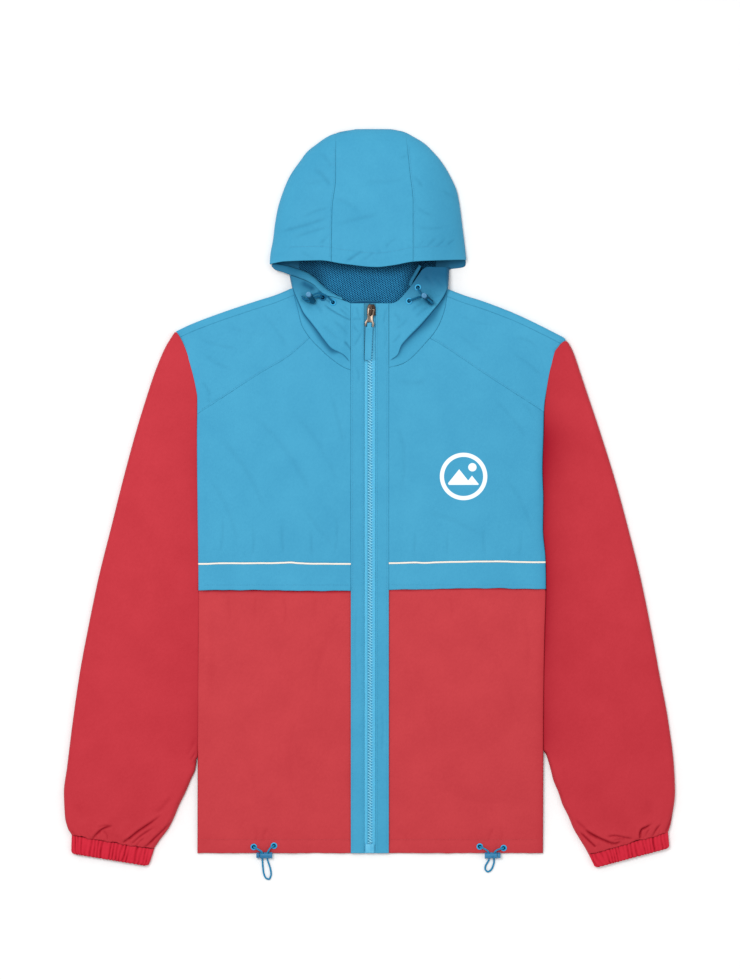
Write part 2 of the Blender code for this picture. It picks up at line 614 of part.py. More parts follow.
def yoke_neck(side):
    """Points of the neck seam beside the front yoke, from its seam up to the shoulder lap."""
    flipped = [(p[1], p[0]) for p in NECK_SEAM[side]]
    high = 250.0
    for _ in range(8):
        high = column(SHOULDER[side], column(flipped, high) + GAP) - SHOULDER_LAP
    low = NECK_SEAM[side][[p[0] for p in NECK_SEAM[side]].index(NECK_PEAK)][1]
    return [(column(flipped, mix(low, high, s)), mix(low, high, s)) for s in shares(YOKE_ROWS)]


def yoke_shoulder(side, outer_out):
    """Points of the shoulder lap's edge, from the neck to the armhole."""
    outs = [mix(yoke_neck(side)[-1][0] + GAP, outer_out, s) for s in YOKE_SHARES]
    return [(out, column(SHOULDER[side], out) - SHOULDER_LAP) for out in outs]


def lap_end(side):
    """The armhole end of the shoulder lap's edge."""
    out = body_edge(side, 185)
    for _ in range(8):
        out = body_edge(side, column(SHOULDER[side], out) - SHOULDER_LAP) - GAP / 2
    return out, column(SHOULDER[side], out) - SHOULDER_LAP


def front_yoke(side):
    """Blue front yoke between the slanting seam and the shoulder seam."""
    inner = [np.array(p) + (GAP, 0) for p in yoke_neck(side)]
    end = lap_end(side)
    low = YOKE_SEAM[side][-1][1]
    levels = [low, *levels_between(low, end[1]), end[1]]
    outer = [np.array([body_edge(side, y) - GAP / 2, y]) for y in levels]
    outs = [mix(NECK_PEAK, body_edge(side, low), s) for s in YOKE_SHARES]
    bottom = [np.array([out, column(YOKE_SEAM[side], out) + GAP / 2 + 0.9 * smooth(s * 3 - 1.9)])
              for s, out in zip(YOKE_SHARES, outs)]
    top = [np.array(p) for p in yoke_shoulder(side, end[0])]
    inner[0], outer[0] = bottom[0], bottom[-1]
    rows = []
    for k, level in enumerate(levels):
        v = (level - low) / (end[1] - low)
        at_neck = through([i / YOKE_ROWS for i in range(YOKE_ROWS + 1)], inner, v)
        row = []
        for i, u in enumerate(YOKE_SHARES):
            corners = mix(mix(bottom[0], bottom[-1], u), mix(top[0], top[-1], u), v)
            out, y = mix(bottom[i], top[i], v) + mix(at_neck, outer[k], u) - corners
            row.append((side * out, y, yoke_face(side, out, y)))
        rows.append(row)
    return rows


def back_yoke():
    """Blue back yoke on the surface, wrapped forward over each shoulder."""
    ends = {side: lap_end(side) for side in (-1, 1)}
    edges = {side: yoke_shoulder(side, ends[side][0]) for side in (-1, 1)}
    slots = [(-1, i) for i in reversed(range(len(YOKE_SHARES)))]
    slots += [(0, -0.5), (0, 0.5)] + [(1, i) for i in range(len(YOKE_SHARES))]
    skip = {7, 8}
    slots = [p for p in slots if p[0] == 0 or p[1] not in skip]
    flat = [BACK_SPLIT_Y + GAP, *levels_between(BACK_SPLIT_Y + 8, 174, UNDER_LEVELS)]
    wrap = (0, 45, 90, 135, 180)
    above = {side: (183, min(195, SLEEVE_TOP_Y[side] - 5.5), SLEEVE_TOP_Y[side] - 1)
             for side in (-1, 1)}
    last_flat = len(flat) + 3
    grid = []
    for r in range(last_flat + len(wrap) + 1):
        row = []
        for side, i in slots:
            if side == 0:
                lap = 259.0
                out, tip, sign = i * 60, 1.0, 1
            else:
                out, lap = edges[side][i]
                lap += SHOULDER_LAP - SHOULDER_FOLD
                tip, sign = ends[side][0], side
            level = flat[min(r, len(flat) - 1)]
            if r < len(flat):
                z = 0.0
                y = level
                out = out * (body_edge(side, y) - GAP) / tip if side else out
            elif r < last_flat:
                end = above[side or 1][r - len(flat)]
                end_lap = edges[side or 1][-1][1] + SHOULDER_LAP - SHOULDER_FOLD
                y, z = mix(flat[-1], lap, (end - flat[-1]) / (end_lap - flat[-1])), 0.0
                out = out * min((body_edge(side, end) - GAP) / tip, 1.0) if side else out
            elif r < last_flat + len(wrap):
                a = math.radians(wrap[r - last_flat])
                y, z = lap + SHOULDER_FOLD * math.sin(a), SHOULDER_FOLD * (1 - math.cos(a))
            else:
                y = lap + SHOULDER_FOLD - SHOULDER_LAP + 1.5 * GAP
                z = 2 * SHOULDER_FOLD
            if side and i == 0 and r > last_flat:
                out = 101.5
            row.append((sign * out, y, z))
        grid.append(row)
    middle = [k for k, p in enumerate(slots) if p[0] == 0]

    def keep(i, j):
        return i < last_flat or not {j, j + 1} & set(middle)

    return grid, keep


def back_body():
    """Red back body, flat on the surface."""
    grid = []
    for y in [HEM_Y, -380, *levels_between(-320, BACK_SPLIT_Y, UNDER_LEVELS), BACK_SPLIT_Y]:
        grid.append([(mix(-body_edge(-1, y) + GAP, body_edge(1, y) - GAP, s), y, 0.0)
                     for s in shares(3)])
    return grid


# ---------------------------------------------------------------- zip
def centre_face(y):
    """Height of the red fronts at the zip."""
    return column(CENTRE_HEIGHT, y)


def zip_strip(low_x, high_x, low_y, high_y, rise, rows, columns, crown=0.0):
    """Grid of a strip along the zip, rise above the fronts."""
    grid = []
    for share in shares(rows):
        y = mix(low_y, high_y, share)
        row = []
        for s in shares(columns):
            x = mix(low_x, high_x, s)
            side = -1 if x < 0 else 1
            height = front_height(side, abs(x), y) if abs(x) > CHAIN_HALF else centre_face(y)
            row.append((x, y, height + rise + crown * (1 - (2 * s - 1) ** 2)))
        grid.append(row)
    return grid


def make_zip():
    """Facings, tapes, teeth strip, box, inner guard and slider."""
    for side, word in ((-1, "left"), (1, "right")):
        facing = zip_strip(side * FACING_IN, side * FACING_OUT, HEM_Y, ZIP_TOP_Y, LIFT, 16, 1)
        wall(f"zip_facing_{word}", facing, "blue_cloth", level=True)
        tape = zip_strip(side * (CHAIN_HALF + GAP), side * TAPE_OUT, HEM_Y, ZIP_TOP_Y,
                         LIFT - CLOTH - GAP, 16, 1)
        wall(f"zip_tape_{word}", tape, "zip_tape", 1.0, level=True)
    chain_low, chain_high = HEM_Y + 12.0, PIVOT[1] - 9.6
    chain = zip_strip(-CHAIN_HALF, CHAIN_HALF, chain_low, chain_high, 0.3, 16, 2, 0.6)
    wall("zip_teeth", chain, "zip_teeth", 1.2)
    box_z = centre_face(HEM_Y + 5)
    bm = bmesh.new()
    box(bm, (-5.4, HEM_Y + 0.4, box_z + 0.6), (5.4, chain_low - GAP, box_z + 2.4))
    bmesh.ops.bevel(bm, geom=bm.edges[:], offset=0.5, segments=1, affect="EDGES")
    add_object("zip_box", bm, "zip_tape")
    guard = zip_strip(-22.5, 11.5, 226.0, 248.2, -1.5, 5, 4)
    wall("zip_guard", guard, "blue_cloth", 1.0)


def make_slider():
    """Slider body with the strap over the pull tab's axis."""
    x, y, _ = PIVOT
    width, length, thick = SLIDER_SIZE
    bm = plate([(x - width / 2, y - 7.5), (x + width / 2, y - 7.5),
                (x + width / 2, y + 1.5), (x + 3.4, y + length - 7.5),
                (x - 3.4, y + length - 7.5), (x - width / 2, y + 1.5)],
               SLIDER_BASE_Z, SLIDER_BASE_Z + thick)
    bmesh.ops.bevel(bm, geom=bm.edges[:], offset=0.5, segments=1, affect="EDGES")
    body = add_object("slider", bm, "zip_metal")
    top = SLIDER_BASE_Z + thick
    strap_w, strap_l, strap_t = BRIDGE_SIZE
    low_y, high_y = y - strap_l / 2 - 0.5, y + strap_l / 2 - 0.5
    strap_top = BRIDGE_UNDER_Z + strap_t
    outline = [(low_y, top - 0.6), (low_y, strap_top - 0.8), (low_y + 1.2, strap_top),
               (high_y - 1.2, strap_top), (high_y, strap_top - 0.8), (high_y, top - 0.6),
               (high_y - FOOT_LENGTH, top - 0.6), (high_y - FOOT_LENGTH, BRIDGE_UNDER_Z),
               (low_y + FOOT_LENGTH, BRIDGE_UNDER_Z), (low_y + FOOT_LENGTH, top - 0.6)]
    strap = plate(outline, x - strap_w / 2, x + strap_w / 2)
    upright = Matrix(((0, 0, 1, 0), (1, 0, 0, 0), (0, 1, 0, 0), (0, 0, 0, 1)))
    bmesh.ops.transform(strap, matrix=upright, verts=strap.verts)
    tool = add_object("slider_strap", strap, "zip_metal")
    tool.hide_render = True
    tool.display_type = "WIRE"
    union = body.modifiers.new("strap", "BOOLEAN")
    union.operation = "UNION"
    union.object = tool


def hang_on_pivot(obj):
    """Put a piece that is modelled about the pivot on it, tilted and a little skewed."""
    obj.location = Vector(PIVOT) * MM
    obj.rotation_euler = (TAB_TILT, 0, TAB_SKEW)


def make_pull():
    """Metal tab with its crossbar, and the cloth puller between its prongs."""
    half = TAB_THICK / 2
    outline = [(-3.3, 0.9), (-3.3, -7.6), (-2.5, -10.5), (-2.9, -13.5), (-5.9, -16.5),
               (-5.9, -21.4), (-3.7, -21.4), (-3.3, -16.6), (-2.0, -15.4),
               (2.0, -15.4), (3.3, -16.6), (3.7, -21.4), (5.9, -21.4), (5.9, -16.5),
               (2.9, -13.5), (2.5, -10.5), (3.3, -7.6), (3.3, 0.9), (1.9, 0.9),
               (1.9, -7.0), (1.2, -8.0), (-1.2, -8.0), (-1.9, -7.0), (-1.9, 0.9)]
    tab = add_object("pull_tab", plate(outline, -half, half), "zip_metal", smooth_faces=False)
    bar = bmesh.new()
    bmesh.ops.create_cone(bar, cap_ends=True, segments=10, radius1=CROSSBAR_RADIUS,
                          radius2=CROSSBAR_RADIUS, depth=5.2,
                          matrix=aim((0, 0, 0), (1, 0, 0)))
    tool = add_object("pull_crossbar", bar, "zip_metal")
    tool.hide_render = True
    tool.display_type = "WIRE"
    union = tab.modifiers.new("crossbar", "BOOLEAN")
    union.operation = "UNION"
    union.object = tool
    half = PULLER_THICK / 2
    strip = [(-2.6, -16.6), (-2.6, -21.9), (-4.8, -22.5), (-4.8, -62.0), (-4.0, -63.4),
             (4.0, -63.4), (4.8, -62.0), (4.8, -22.5), (2.6, -21.9), (2.6, -16.6)]
    puller = add_object("puller", plate(strip, -half, half), "blue_cloth", smooth_faces=False)
    for obj in (tab, tool, puller):
        hang_on_pivot(obj)


# ---------------------------------------------------------------- sleeves and cuffs
def sleeve_inner(side, y):
    """How far out the sleeve's inner edge is: the armhole seam, the body, then its own fold."""
    own = SLEEVE_INNER[side]
    if y > own[-1][0]:
        return body_edge(side, y) + GAP
    return column(own, y) + GAP


def sleeve_sections(side, extra, seam_levels):
    """Outer and inner ends in plan of each section of the sleeve, with its share of the length.

    Sections meet the armhole at shared levels; extra are shares near the cuff."""
    top, low = SLEEVE_TOP_Y[side], SLEEVE_INNER[side][0][0]
    levels = [top - 1, *[y for y in seam_levels if y < top - 4]]
    found = [(top - y) / (top - low) for y in levels] + list(extra)
    sections = []
    for share in found:
        outer_y = mix(top, SLEEVE_OUTER[side][0][0], share)
        inner_y = mix(top, low, share)
        sections.append((share, np.array([column(SLEEVE_OUTER[side], outer_y), outer_y]),
                         np.array([sleeve_inner(side, inner_y), inner_y])))
    return sections


def sleeve_top(side):
    """Upper half of the sleeve, from the armhole to the cuff."""
    grid = []
    thin = (-80.6, -98.2, -140)
    for share, outer, inner in sleeve_sections(side, (0.84, 0.88, 0.915, 0.945, 0.97, 0.987, 1),
                                                SEAM_LEVELS):
        if any(abs(inner[1] - y) < 0.5 for y in thin):
            continue
        width = float(np.linalg.norm(outer - inner))
        roll = min(ROLL, 0.3 * width)
        crest = column(CREST_ALONG_SLEEVE, share)
        steps = roll_steps(roll)
        places = (steps[:-1] + [mix(roll, width - roll, s) for s in shares(6)]
                  + [width - d for d in reversed(steps[:-1])])
        seam_y = inner[1]
        seam = front_face(side, body_edge(side, seam_y), seam_y, LIFT)
        inner_base = mix(LID_BASE, seam, smooth((seam_y - 95) / 50))
        row = []
        for place in places:
            out, y = mix(outer, inner, place / width)
            height = crest + fold_rise(SLEEVE_FOLDS[side], out, y)
            near_seam = smooth((seam_y - 110) / 60) * smooth(1 - (width - place) / 45)
            height = mix(height, max(seam, LID_BASE + 1), near_seam)
            z = mix(LID_BASE, height, rolled(place, roll))
            z = mix(min(inner_base, z), z, rolled(width - place, roll))
            row.append((side * out, y, z))
        grid.append(row)
    return grid


def sleeve_under(side):
    """Lower half of the sleeve, flat on the surface."""
    grid = []
    for _, outer, inner in sleeve_sections(side, (0.86, 0.92, 0.965, 1), UNDER_LEVELS):
        outer = outer - (GAP, 0)
        grid.append([(side * mix(outer[0], inner[0], s), mix(outer[1], inner[1], s), 0.0)
                     for s in shares(2)])
    return grid


def cuff(side, name):
    """Elastic cuff: a flattened tube whose upper face is gathered."""
    top_out, top_in, low_out, low_in = (np.array(p, float) for p in CUFF[side])
    bm = bmesh.new()
    loops = []
    for share in shares(2):
        outer, inner = mix(top_out, low_out, share), mix(top_in, low_in, share)
        width = float(np.linalg.norm(outer - inner))
        radius = CUFF_HEIGHT / 2
        section = []  # place across, height, and the inward direction
        count = CUFF_GATHERS * 2
        for k in range(count + 1):
            s = k / count
            calm = smooth(s * 8) * smooth((1 - s) * 8)
            wave = GATHER_RISE * (-1) ** k * calm
            section.append((mix(radius, width - radius, s), CUFF_HEIGHT - 0.5 + wave, 0, -1))
        for a in (45, 90, 135):
            t = math.radians(a)
            section.append((width - radius + radius * math.sin(t),
                            radius + (radius - 0.5 * (a < 90)) * math.cos(t), -math.sin(t),
                            -math.cos(t)))
        for s in shares(3):
            section.append((mix(width - radius, radius, s), 0.0, 0, 1))
        for a in (225, 270, 315):
            t = math.radians(a)
            section.append((radius + radius * math.sin(t),
                            radius + (radius - 0.5 * (a > 270)) * math.cos(t), -math.sin(t),
                            -math.cos(t)))
        pair = []
        for depth in (0.0, CUFF_WALL):
            ring = []
            for place, height, in_x, in_z in section:
                flat = depth > 0 and in_z == -1 and in_x == 0
                z = (CUFF_HEIGHT - CUFF_WALL - 1.0) if flat else height + in_z * depth
                plan = mix(outer, inner, (place + in_x * depth) / width)
                ring.append(bm.verts.new((side * plan[0], plan[1], z)))
            pair.append(ring)
        loops.append(pair)
    count = len(loops[0][0])
    for one, two in zip(loops, loops[1:]):
        for layer in (0, 1):
            for i in range(count):
                j = (i + 1) % count
                bm.faces.new([one[layer][i], one[layer][j], two[layer][j], two[layer][i]])
    for pair in (loops[0], loops[-1]):
        for i in range(count):
            j = (i + 1) % count
            bm.faces.new([pair[0][i], pair[0][j], pair[1][j], pair[1][i]])
    return add_object(name, bm, "cuff_cloth")


# ---------------------------------------------------------------- collar
def neck_stations(side):
    """Places of the neck seam that the collar shares with the chest and the yoke."""
    flipped = [(p[1], p[0]) for p in NECK_SEAM[side]]
    found = [(out, column(NECK_SEAM[side], out)) for out in (FACING_OUT + GAP, *NECK_OUTS)]
    found += yoke_neck(side)[1:]
    top = NECK_SEAM[side][-1][1]
    found += [(column(flipped, mix(found[-1][1], top, s)), mix(found[-1][1], top, s))
              for s in (0.6, 1)]
    return np.array(found)


def collar(side):
    """Stand collar between the neck seam and the hood's opening, folded over on itself."""
    fold, lip = OVERHANG[side], OPENING[side]
    seam = neck_stations(side)
    run = np.concatenate([[0], np.cumsum(np.linalg.norm(np.diff(seam, axis=0), axis=1))])
    roll = 0.07
    us = run / run[-1]
    dent_out, dent_y = LOCK_DENT[side]
    grid = []
    for part, t in ((0, 0.05), (0, 0.5), (0, 0.82), (1, 0), (1, 0.22), (1, 0.45), (1, 0.68),
                    (1, 0.86), (1, 1)):
        row = []
        for u, low in zip(us, seam):
            mid, high = (np.array(along(c, u)) for c in (fold, lip))
            out, y = mix(low, mid, t) if part == 0 else mix(mid, high, t)
            ground = yoke_face(side, low[0], low[1]) if low[0] > NECK_PEAK else front_face(
                side, low[0], low[1], LIFT)
            over, crown, edge = (column(COLLAR_HEIGHT[side], u, k) for k in (1, 2, 3))
            if part == 0:
                z = ground + 1.4 * smooth(t) * smooth(u * 8)
            elif t < 0.5:
                z = mix(over, crown, smooth(t * 2))
            else:
                z = mix(crown, edge, smooth(t * 2 - 1))
            away = math.hypot(out - dent_out, y - dent_y) / LOCK_DENT_RADIUS
            z -= LOCK_DENT_DEPTH * math.exp(-away * away) * (part == 1)
            row.append((side * out, y, mix(LID_BASE, z, rolled(1 - u, roll))))
        grid.append(row)
    return grid


def band(side):
    """Plain band that faces the inside of the hood's opening."""
    grid = []
    for t in (0, 0.35, 0.7, 1):
        row = []
        for u in shares(10 if side < 0 else 4):
            fold, edge = along(BAND_FOLD[side], u), along(BAND_EDGE[side], u)
            out, y, _ = mix(fold, edge, t)
            z = mix(edge[2], fold[2], math.sqrt(1 - t * t * 0.999))
            row.append((side * out, y, z))
        grid.append(row)
    return grid


# ---------------------------------------------------------------- hood
HOOD_ROWS = (461.3, 458, 453, 446, 437, 425, 409, 389, 365, 340, 318, 304)


def brim_y(x):
    """Where the free front edge of the hood lies."""
    return column(BRIM, x)


def hood_angle(side, y, at_seam):
    """Place across the hood at one height, as the angle round its elliptical section."""
    left, right = column(HOOD, y, 1), column(HOOD, y, 2)
    middle, half = (right - left) / 2, (right + left) / 2
    out = column(HOOD_SEAM[side], y) if at_seam else (left if side < 0 else right)
    return math.asin(min(max((side * out - middle) / half, -1), 1))


def hood_point(angle, y):
    """A point of the hood's outer face."""
    left, right = column(HOOD, y, 1), column(HOOD, y, 2)
    middle, half = (right - left) / 2, (right + left) / 2
    x = middle + half * math.sin(angle)
    return x, y, hood_face(x, y)


def hood_panel(side, columns):
    """Grid of a hood panel: side 0 is the crown, -1 and +1 are the sides."""
    grid = []
    for y in (*HOOD_ROWS, "brim"):
        row = []
        if side and y != "brim" and y > HOOD_SEAM[side][-1][0] - 3:
            continue
        for s in shares(columns):
            level = 293.0 if y == "brim" else y
            if side == 0:
                ends = [hood_angle(k, level, level < HOOD_SEAM[k][-1][0]) for k in (-1, 1)]
                shift = (GAP / 2 / 100) if level < HOOD_SEAM[1][-1][0] else 0
                angle = mix(ends[0] + shift, ends[1] - shift, s)
            else:
                seam_angle = hood_angle(side, level, True) + side * GAP / 2 / 100
                angle = mix(seam_angle, side * math.pi / 2, s)
            x, _, z = hood_point(angle, level)
            if y == "brim":
                level = brim_y(x)
                z = hood_face(x, level)
            row.append((x, level, z))
        grid.append(row)
    return grid


def brim_facing():
    """Turned-in hem under the brim, one strip across all three panels."""
    grid = []
    under = CLOTH + GAP + 0.3
    for t in shares(2):
        row = []
        for s in shares(16):
            x = mix(-106.0, 103.0, s)
            y = brim_y(x) + 0.5 + (BRIM_HEM - 0.5) * t
            steep = abs(x) / 106
            row.append((x * (1 - 0.008 * steep), y, hood_face(x, y) - under * (1 + 0.5 * steep**4)))
        grid.append(row)
    return grid


def lining():
    """Mesh lining: a pouch that lies on the hood's back and turns up under its crown."""
    under = CLOTH + GAP + 0.4
    columns = []
    for x in (-88, -68, -46, -23, 0, 23, 46, 66, 82):
        end = 431 - 46 * (x / 90) ** 2
        profile = [(y, LID_BASE) for y in (237, 262, 290, mix(290, end, 0.35), mix(290, end, 0.7))]
        high = hood_face(x, end) - under
        rise = (high - LID_BASE) / 2
        for a in (0, 45, 90, 135, 180):
            t = math.radians(a)
            profile.append((end + 9 * math.sin(t), LID_BASE + rise * (1 - math.cos(t))))
        last = brim_y(x) + BRIM_HEM + 1.5
        for y in (mix(last, end, 0.62), mix(last, end, 0.3), last):
            profile.append((y, hood_face(x, y) - under))
        columns.append([(x, y, z) for y, z in profile])
    return [list(row) for row in zip(*columns)]


# ---------------------------------------------------------------- hardware
def make_eyelet(name, grids):
    """A rolled ring on the cloth, and the hole under it; gives its place and direction."""
    side, out, y, panel = EYELETS[name]
    place, normal = seat(grids[panel], side * out, y)
    bm = bmesh.new()
    lift = GAP + (0.6 if name == "eyelet_hood_left_upper" else 0.15)
    profile = ((EYELET_HOLE, 0), (EYELET_HOLE, EYELET_RISE * 0.6),
               (mix(EYELET_HOLE, EYELET_RADIUS, 0.45), EYELET_RISE),
               (EYELET_RADIUS, EYELET_RISE * 0.35), (EYELET_RADIUS, 0))
    turned(bm, profile, aim(place + normal * lift, normal), 12)
    add_object(name, bm, "eyelet")
    hole = cutter(f"{name}_hole", place - normal * CLOTH / 2, normal, CLOTH_HOLE, 6 * CLOTH)
    cut(bpy.data.objects[panel], hole)
    return place, normal


def make_lock(name, middle, axis, hole_axis):
    """Barrel cord lock with two cord holes, and its spring button."""
    matrix = aim(middle, axis, hole_axis)
    low, high = -LOCK_BARREL * 0.55, LOCK_BARREL * 0.45
    bm = bmesh.new()
    bmesh.ops.create_cone(bm, cap_ends=True, segments=14, radius1=LOCK_RADIUS,
                          radius2=LOCK_RADIUS, depth=LOCK_BARREL,
                          matrix=matrix @ Matrix.Translation((0, 0, (low + high) / 2)))
    rims = [e for e in bm.edges if any(len(f.verts) > 4 for f in e.link_faces)]
    bmesh.ops.bevel(bm, geom=rims, offset=0.6, segments=1, affect="EDGES")
    body = add_object(f"lock_{name}", bm, "lock_plastic")
    for k, step in enumerate((-LOCK_HOLE_STEP, LOCK_HOLE_STEP)):
        place = Vector(middle) + Vector(axis).normalized() * step
        hole = cutter(f"lock_{name}_hole_{k}", place, hole_axis, LOCK_HOLE, 4 * LOCK_RADIUS, 10)
        cut(body, hole)
    bm = bmesh.new()
    start = high + GAP
    bmesh.ops.create_cone(bm, cap_ends=True, segments=12, radius1=LOCK_RADIUS * 0.86,
                          radius2=LOCK_RADIUS * 0.86, depth=LOCK_BUTTON,
                          matrix=matrix @ Matrix.Translation((0, 0, start + LOCK_BUTTON / 2)))
    rims = [e for e in bm.edges if any(len(f.verts) > 4 for f in e.link_faces)]
    bmesh.ops.bevel(bm, geom=rims, offset=0.5, segments=1, affect="EDGES")
    add_object(f"lock_button_{name}", bm, "lock_plastic")


def cord_route(row, seats):
    """Points along the middle of a drawcord, from one eyelet to the other."""
    middle, axis, comes_from = (np.array(v, float) for v in LOCKS[row["lock"]])
    axis, comes_from = axis / np.linalg.norm(axis), comes_from / np.linalg.norm(comes_from)
    ends = []
    for name, next_point in zip(row["eyelets"], (row["there"][0], row["back"][-1])):
        place, normal = seats[name]
        lean = np.array(next_point) - place
        lean -= normal * lean.dot(normal)
        lean /= np.linalg.norm(lean)
        ends.append([place - normal * 1.5, place + normal * 0.9,
                     place + normal * 2.5 + lean * 0.5])
    ways = []
    for step in (LOCK_HOLE_STEP, -LOCK_HOLE_STEP):
        centre = middle + axis * step
        ways.append([centre + comes_from * CORD_REACH, centre, centre - comes_from * CORD_REACH])
    return [*ends[0], *row["there"], *ways[0], *row["loop"], *reversed(ways[1]), *row["back"],
            *reversed(ends[1])]


def make_cord(name, seats):
    """A round drawcord along its route."""
    points = np.array(cord_route(CORDS[name], seats), float)
    steps = np.linalg.norm(np.diff(points, axis=0), axis=1)
    knots = np.concatenate([[0], np.cumsum(steps)])
    places = [0.0]
    for low, high, length in zip(knots, knots[1:], steps):
        parts = max(1, round(length / CORD_POINT_STEP))
        places += [mix(low, high, (k + 1) / parts) for k in range(parts)]
    line = [through(knots, points, place) for place in places]
    data = bpy.data.curves.new(name, "CURVE")
    data.dimensions = "3D"
    data.bevel_depth = CORD_RADIUS * MM
    data.bevel_resolution = 2
    data.use_fill_caps = True
    spline = data.splines.new("POLY")
    spline.points.add(len(line) - 1)
    for point, place in zip(spline.points, line):
        point.co = (*(place * MM), 1)
    data.materials.append(finish("cord"))
    obj = bpy.data.objects.new(name, data)
    bpy.context.scene.collection.objects.link(obj)


# ---------------------------------------------------------------- assembly
def main():
    """Build every piece of the jacket."""
    for obj in list(bpy.data.objects):
        bpy.data.objects.remove(obj, do_unlink=True)
    grids = {}
    grid, keep = back_yoke()
    wall("back_yoke", grid, "blue_cloth", up=False, keep=keep)
    wall("back_body", back_body(), "red_cloth", up=False)
    flap_top = PIPING_Y - PIPING_WIDTH / 2 - GAP
    flap_low = PIPING_Y - FLAP_DEPTH
    for side, word in ((-1, "left"), (1, "right")):
        wall(f"chest_{word}", chest(side), "blue_cloth", floor=FLOOR, level=True)
        wall(f"front_yoke_{word}", front_yoke(side), "blue_cloth", floor=FLOOR, level=True)
        first = FACING_OUT + GAP
        flap = front_strip(side, flap_low, flap_top, first, 2, 9)
        wall(f"storm_flap_{word}", flap, "blue_cloth", floor=FLOOR, level=True)
        piping = front_strip(side, PIPING_Y - PIPING_WIDTH / 2, PIPING_Y + PIPING_WIDTH / 2,
                             first, 1, 11, LIFT + 0.5)
        wall(f"piping_{word}", piping, "piping", 1.7, floor=FLOOR, level=True)
        grids[f"lower_front_{word}"] = lower_front(side)
        wall(f"lower_front_{word}", grids[f"lower_front_{word}"], "red_cloth", floor=FLOOR, level=True)
        wall(f"sleeve_top_{word}", sleeve_top(side), "red_cloth", floor=FLOOR)
        wall(f"sleeve_under_{word}", sleeve_under(side), "red_cloth", up=False)
        cuff(side, f"cuff_{word}")
        grids[f"collar_{word}"] = collar(side)
        wall(f"collar_{word}", grids[f"collar_{word}"], "blue_cloth", floor=FLOOR)
        wall(f"hood_band_{word}", band(side), "blue_cloth", 1.0, floor=FLOOR + CLOTH)
        wall(f"hood_side_{word}", hood_panel(side, 7), "blue_cloth", floor=FLOOR)
    wall("hood_crown", hood_panel(0, 8), "blue_cloth", floor=FLOOR)
    wall("brim_facing", brim_facing(), "blue_cloth", 1.0, floor=FLOOR)
    hood_rows = [[(mix(-left, right, s), y, 0.0) for s in shares(3)]
                 for y, left, right in HOOD_BACK]
    wall("hood_back", hood_rows, "blue_cloth", up=False)
    wall("hood_lining", lining(), "mesh_lining", MESH_CLOTH, up=False)
    make_zip()
    make_slider()
    make_pull()
    seats = {name: make_eyelet(name, grids) for name in EYELETS}
    for name, (middle, axis, comes_from) in LOCKS.items():
        make_lock(name, middle, axis, comes_from)
    for name in CORDS:
        make_cord(name, seats)


main()
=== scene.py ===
"""Looks of a hooded full-zip windbreaker that lies on its back on a pale floor.

Sizes in the tables are in millimetres. X runs across the body, with the left half at -X, Y towards
the hood, Z up from the floor. "Out" is the distance from the zip line towards a sleeve.
"""

from __future__ import annotations

import json
import logging
import math
from contextlib import contextmanager
from dataclasses import dataclass
from enum import Enum
from functools import lru_cache
from typing import Callable, Iterable, Iterator, Sequence

import bmesh
import bpy
import numpy as np
from mathutils import Matrix, Vector
from mathutils.bvhtree import BVHTree

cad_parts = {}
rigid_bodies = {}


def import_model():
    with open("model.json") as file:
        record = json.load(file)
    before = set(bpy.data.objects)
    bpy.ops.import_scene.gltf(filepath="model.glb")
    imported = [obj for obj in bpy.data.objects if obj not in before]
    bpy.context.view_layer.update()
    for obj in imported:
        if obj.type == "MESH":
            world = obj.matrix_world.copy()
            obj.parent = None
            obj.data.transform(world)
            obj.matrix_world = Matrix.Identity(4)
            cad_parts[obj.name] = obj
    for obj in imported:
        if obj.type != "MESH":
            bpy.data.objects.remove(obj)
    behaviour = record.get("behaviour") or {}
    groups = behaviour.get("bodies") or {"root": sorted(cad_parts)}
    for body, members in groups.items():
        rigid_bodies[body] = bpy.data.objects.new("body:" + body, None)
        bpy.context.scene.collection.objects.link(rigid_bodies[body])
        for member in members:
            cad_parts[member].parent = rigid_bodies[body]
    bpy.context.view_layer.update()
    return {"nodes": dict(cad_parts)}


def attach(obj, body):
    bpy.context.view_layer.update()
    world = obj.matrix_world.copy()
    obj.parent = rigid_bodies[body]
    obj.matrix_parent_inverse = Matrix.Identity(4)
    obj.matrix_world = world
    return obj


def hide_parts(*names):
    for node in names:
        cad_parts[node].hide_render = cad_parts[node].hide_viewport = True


LOG = logging.getLogger("windbreaker")
MM = 0.001
FINE = (0.5, 1.1, 1.9, 3.0, 4.4)
Rows = tuple[tuple[float, ...], ...]
Point = tuple[float, float, float]
Numbers = float | np.ndarray


# ---------------------------------------------------------------- arithmetic
def mix(low: Numbers, high: Numbers, share: Numbers) -> Numbers:
    """Return the value that lies share of the way from low to high."""
    return low + (high - low) * share


def lengths(points: np.ndarray) -> np.ndarray:
    """Return the length run along a line of points, from 0."""
    return np.concatenate([[0], np.cumsum(np.linalg.norm(np.diff(points, axis=0), axis=1))])


def grid_of(x: Numbers, y: Numbers, z: Numbers) -> np.ndarray:
    """Return a grid of points from places across, along and up."""
    return np.stack(np.broadcast_arrays(x, y, z), axis=-1)


def smooth(share: Numbers) -> np.ndarray:
    """Return 0 below 0, 1 above 1, and a soft step between."""
    share = np.clip(share, 0.0, 1.0)
    return share * share * (3 - 2 * share)


def bump_at(distance: Numbers, half: float) -> np.ndarray:
    """Return a soft bump of height 1 around distance 0."""
    return np.exp(-((np.asarray(distance) / half) ** 2))


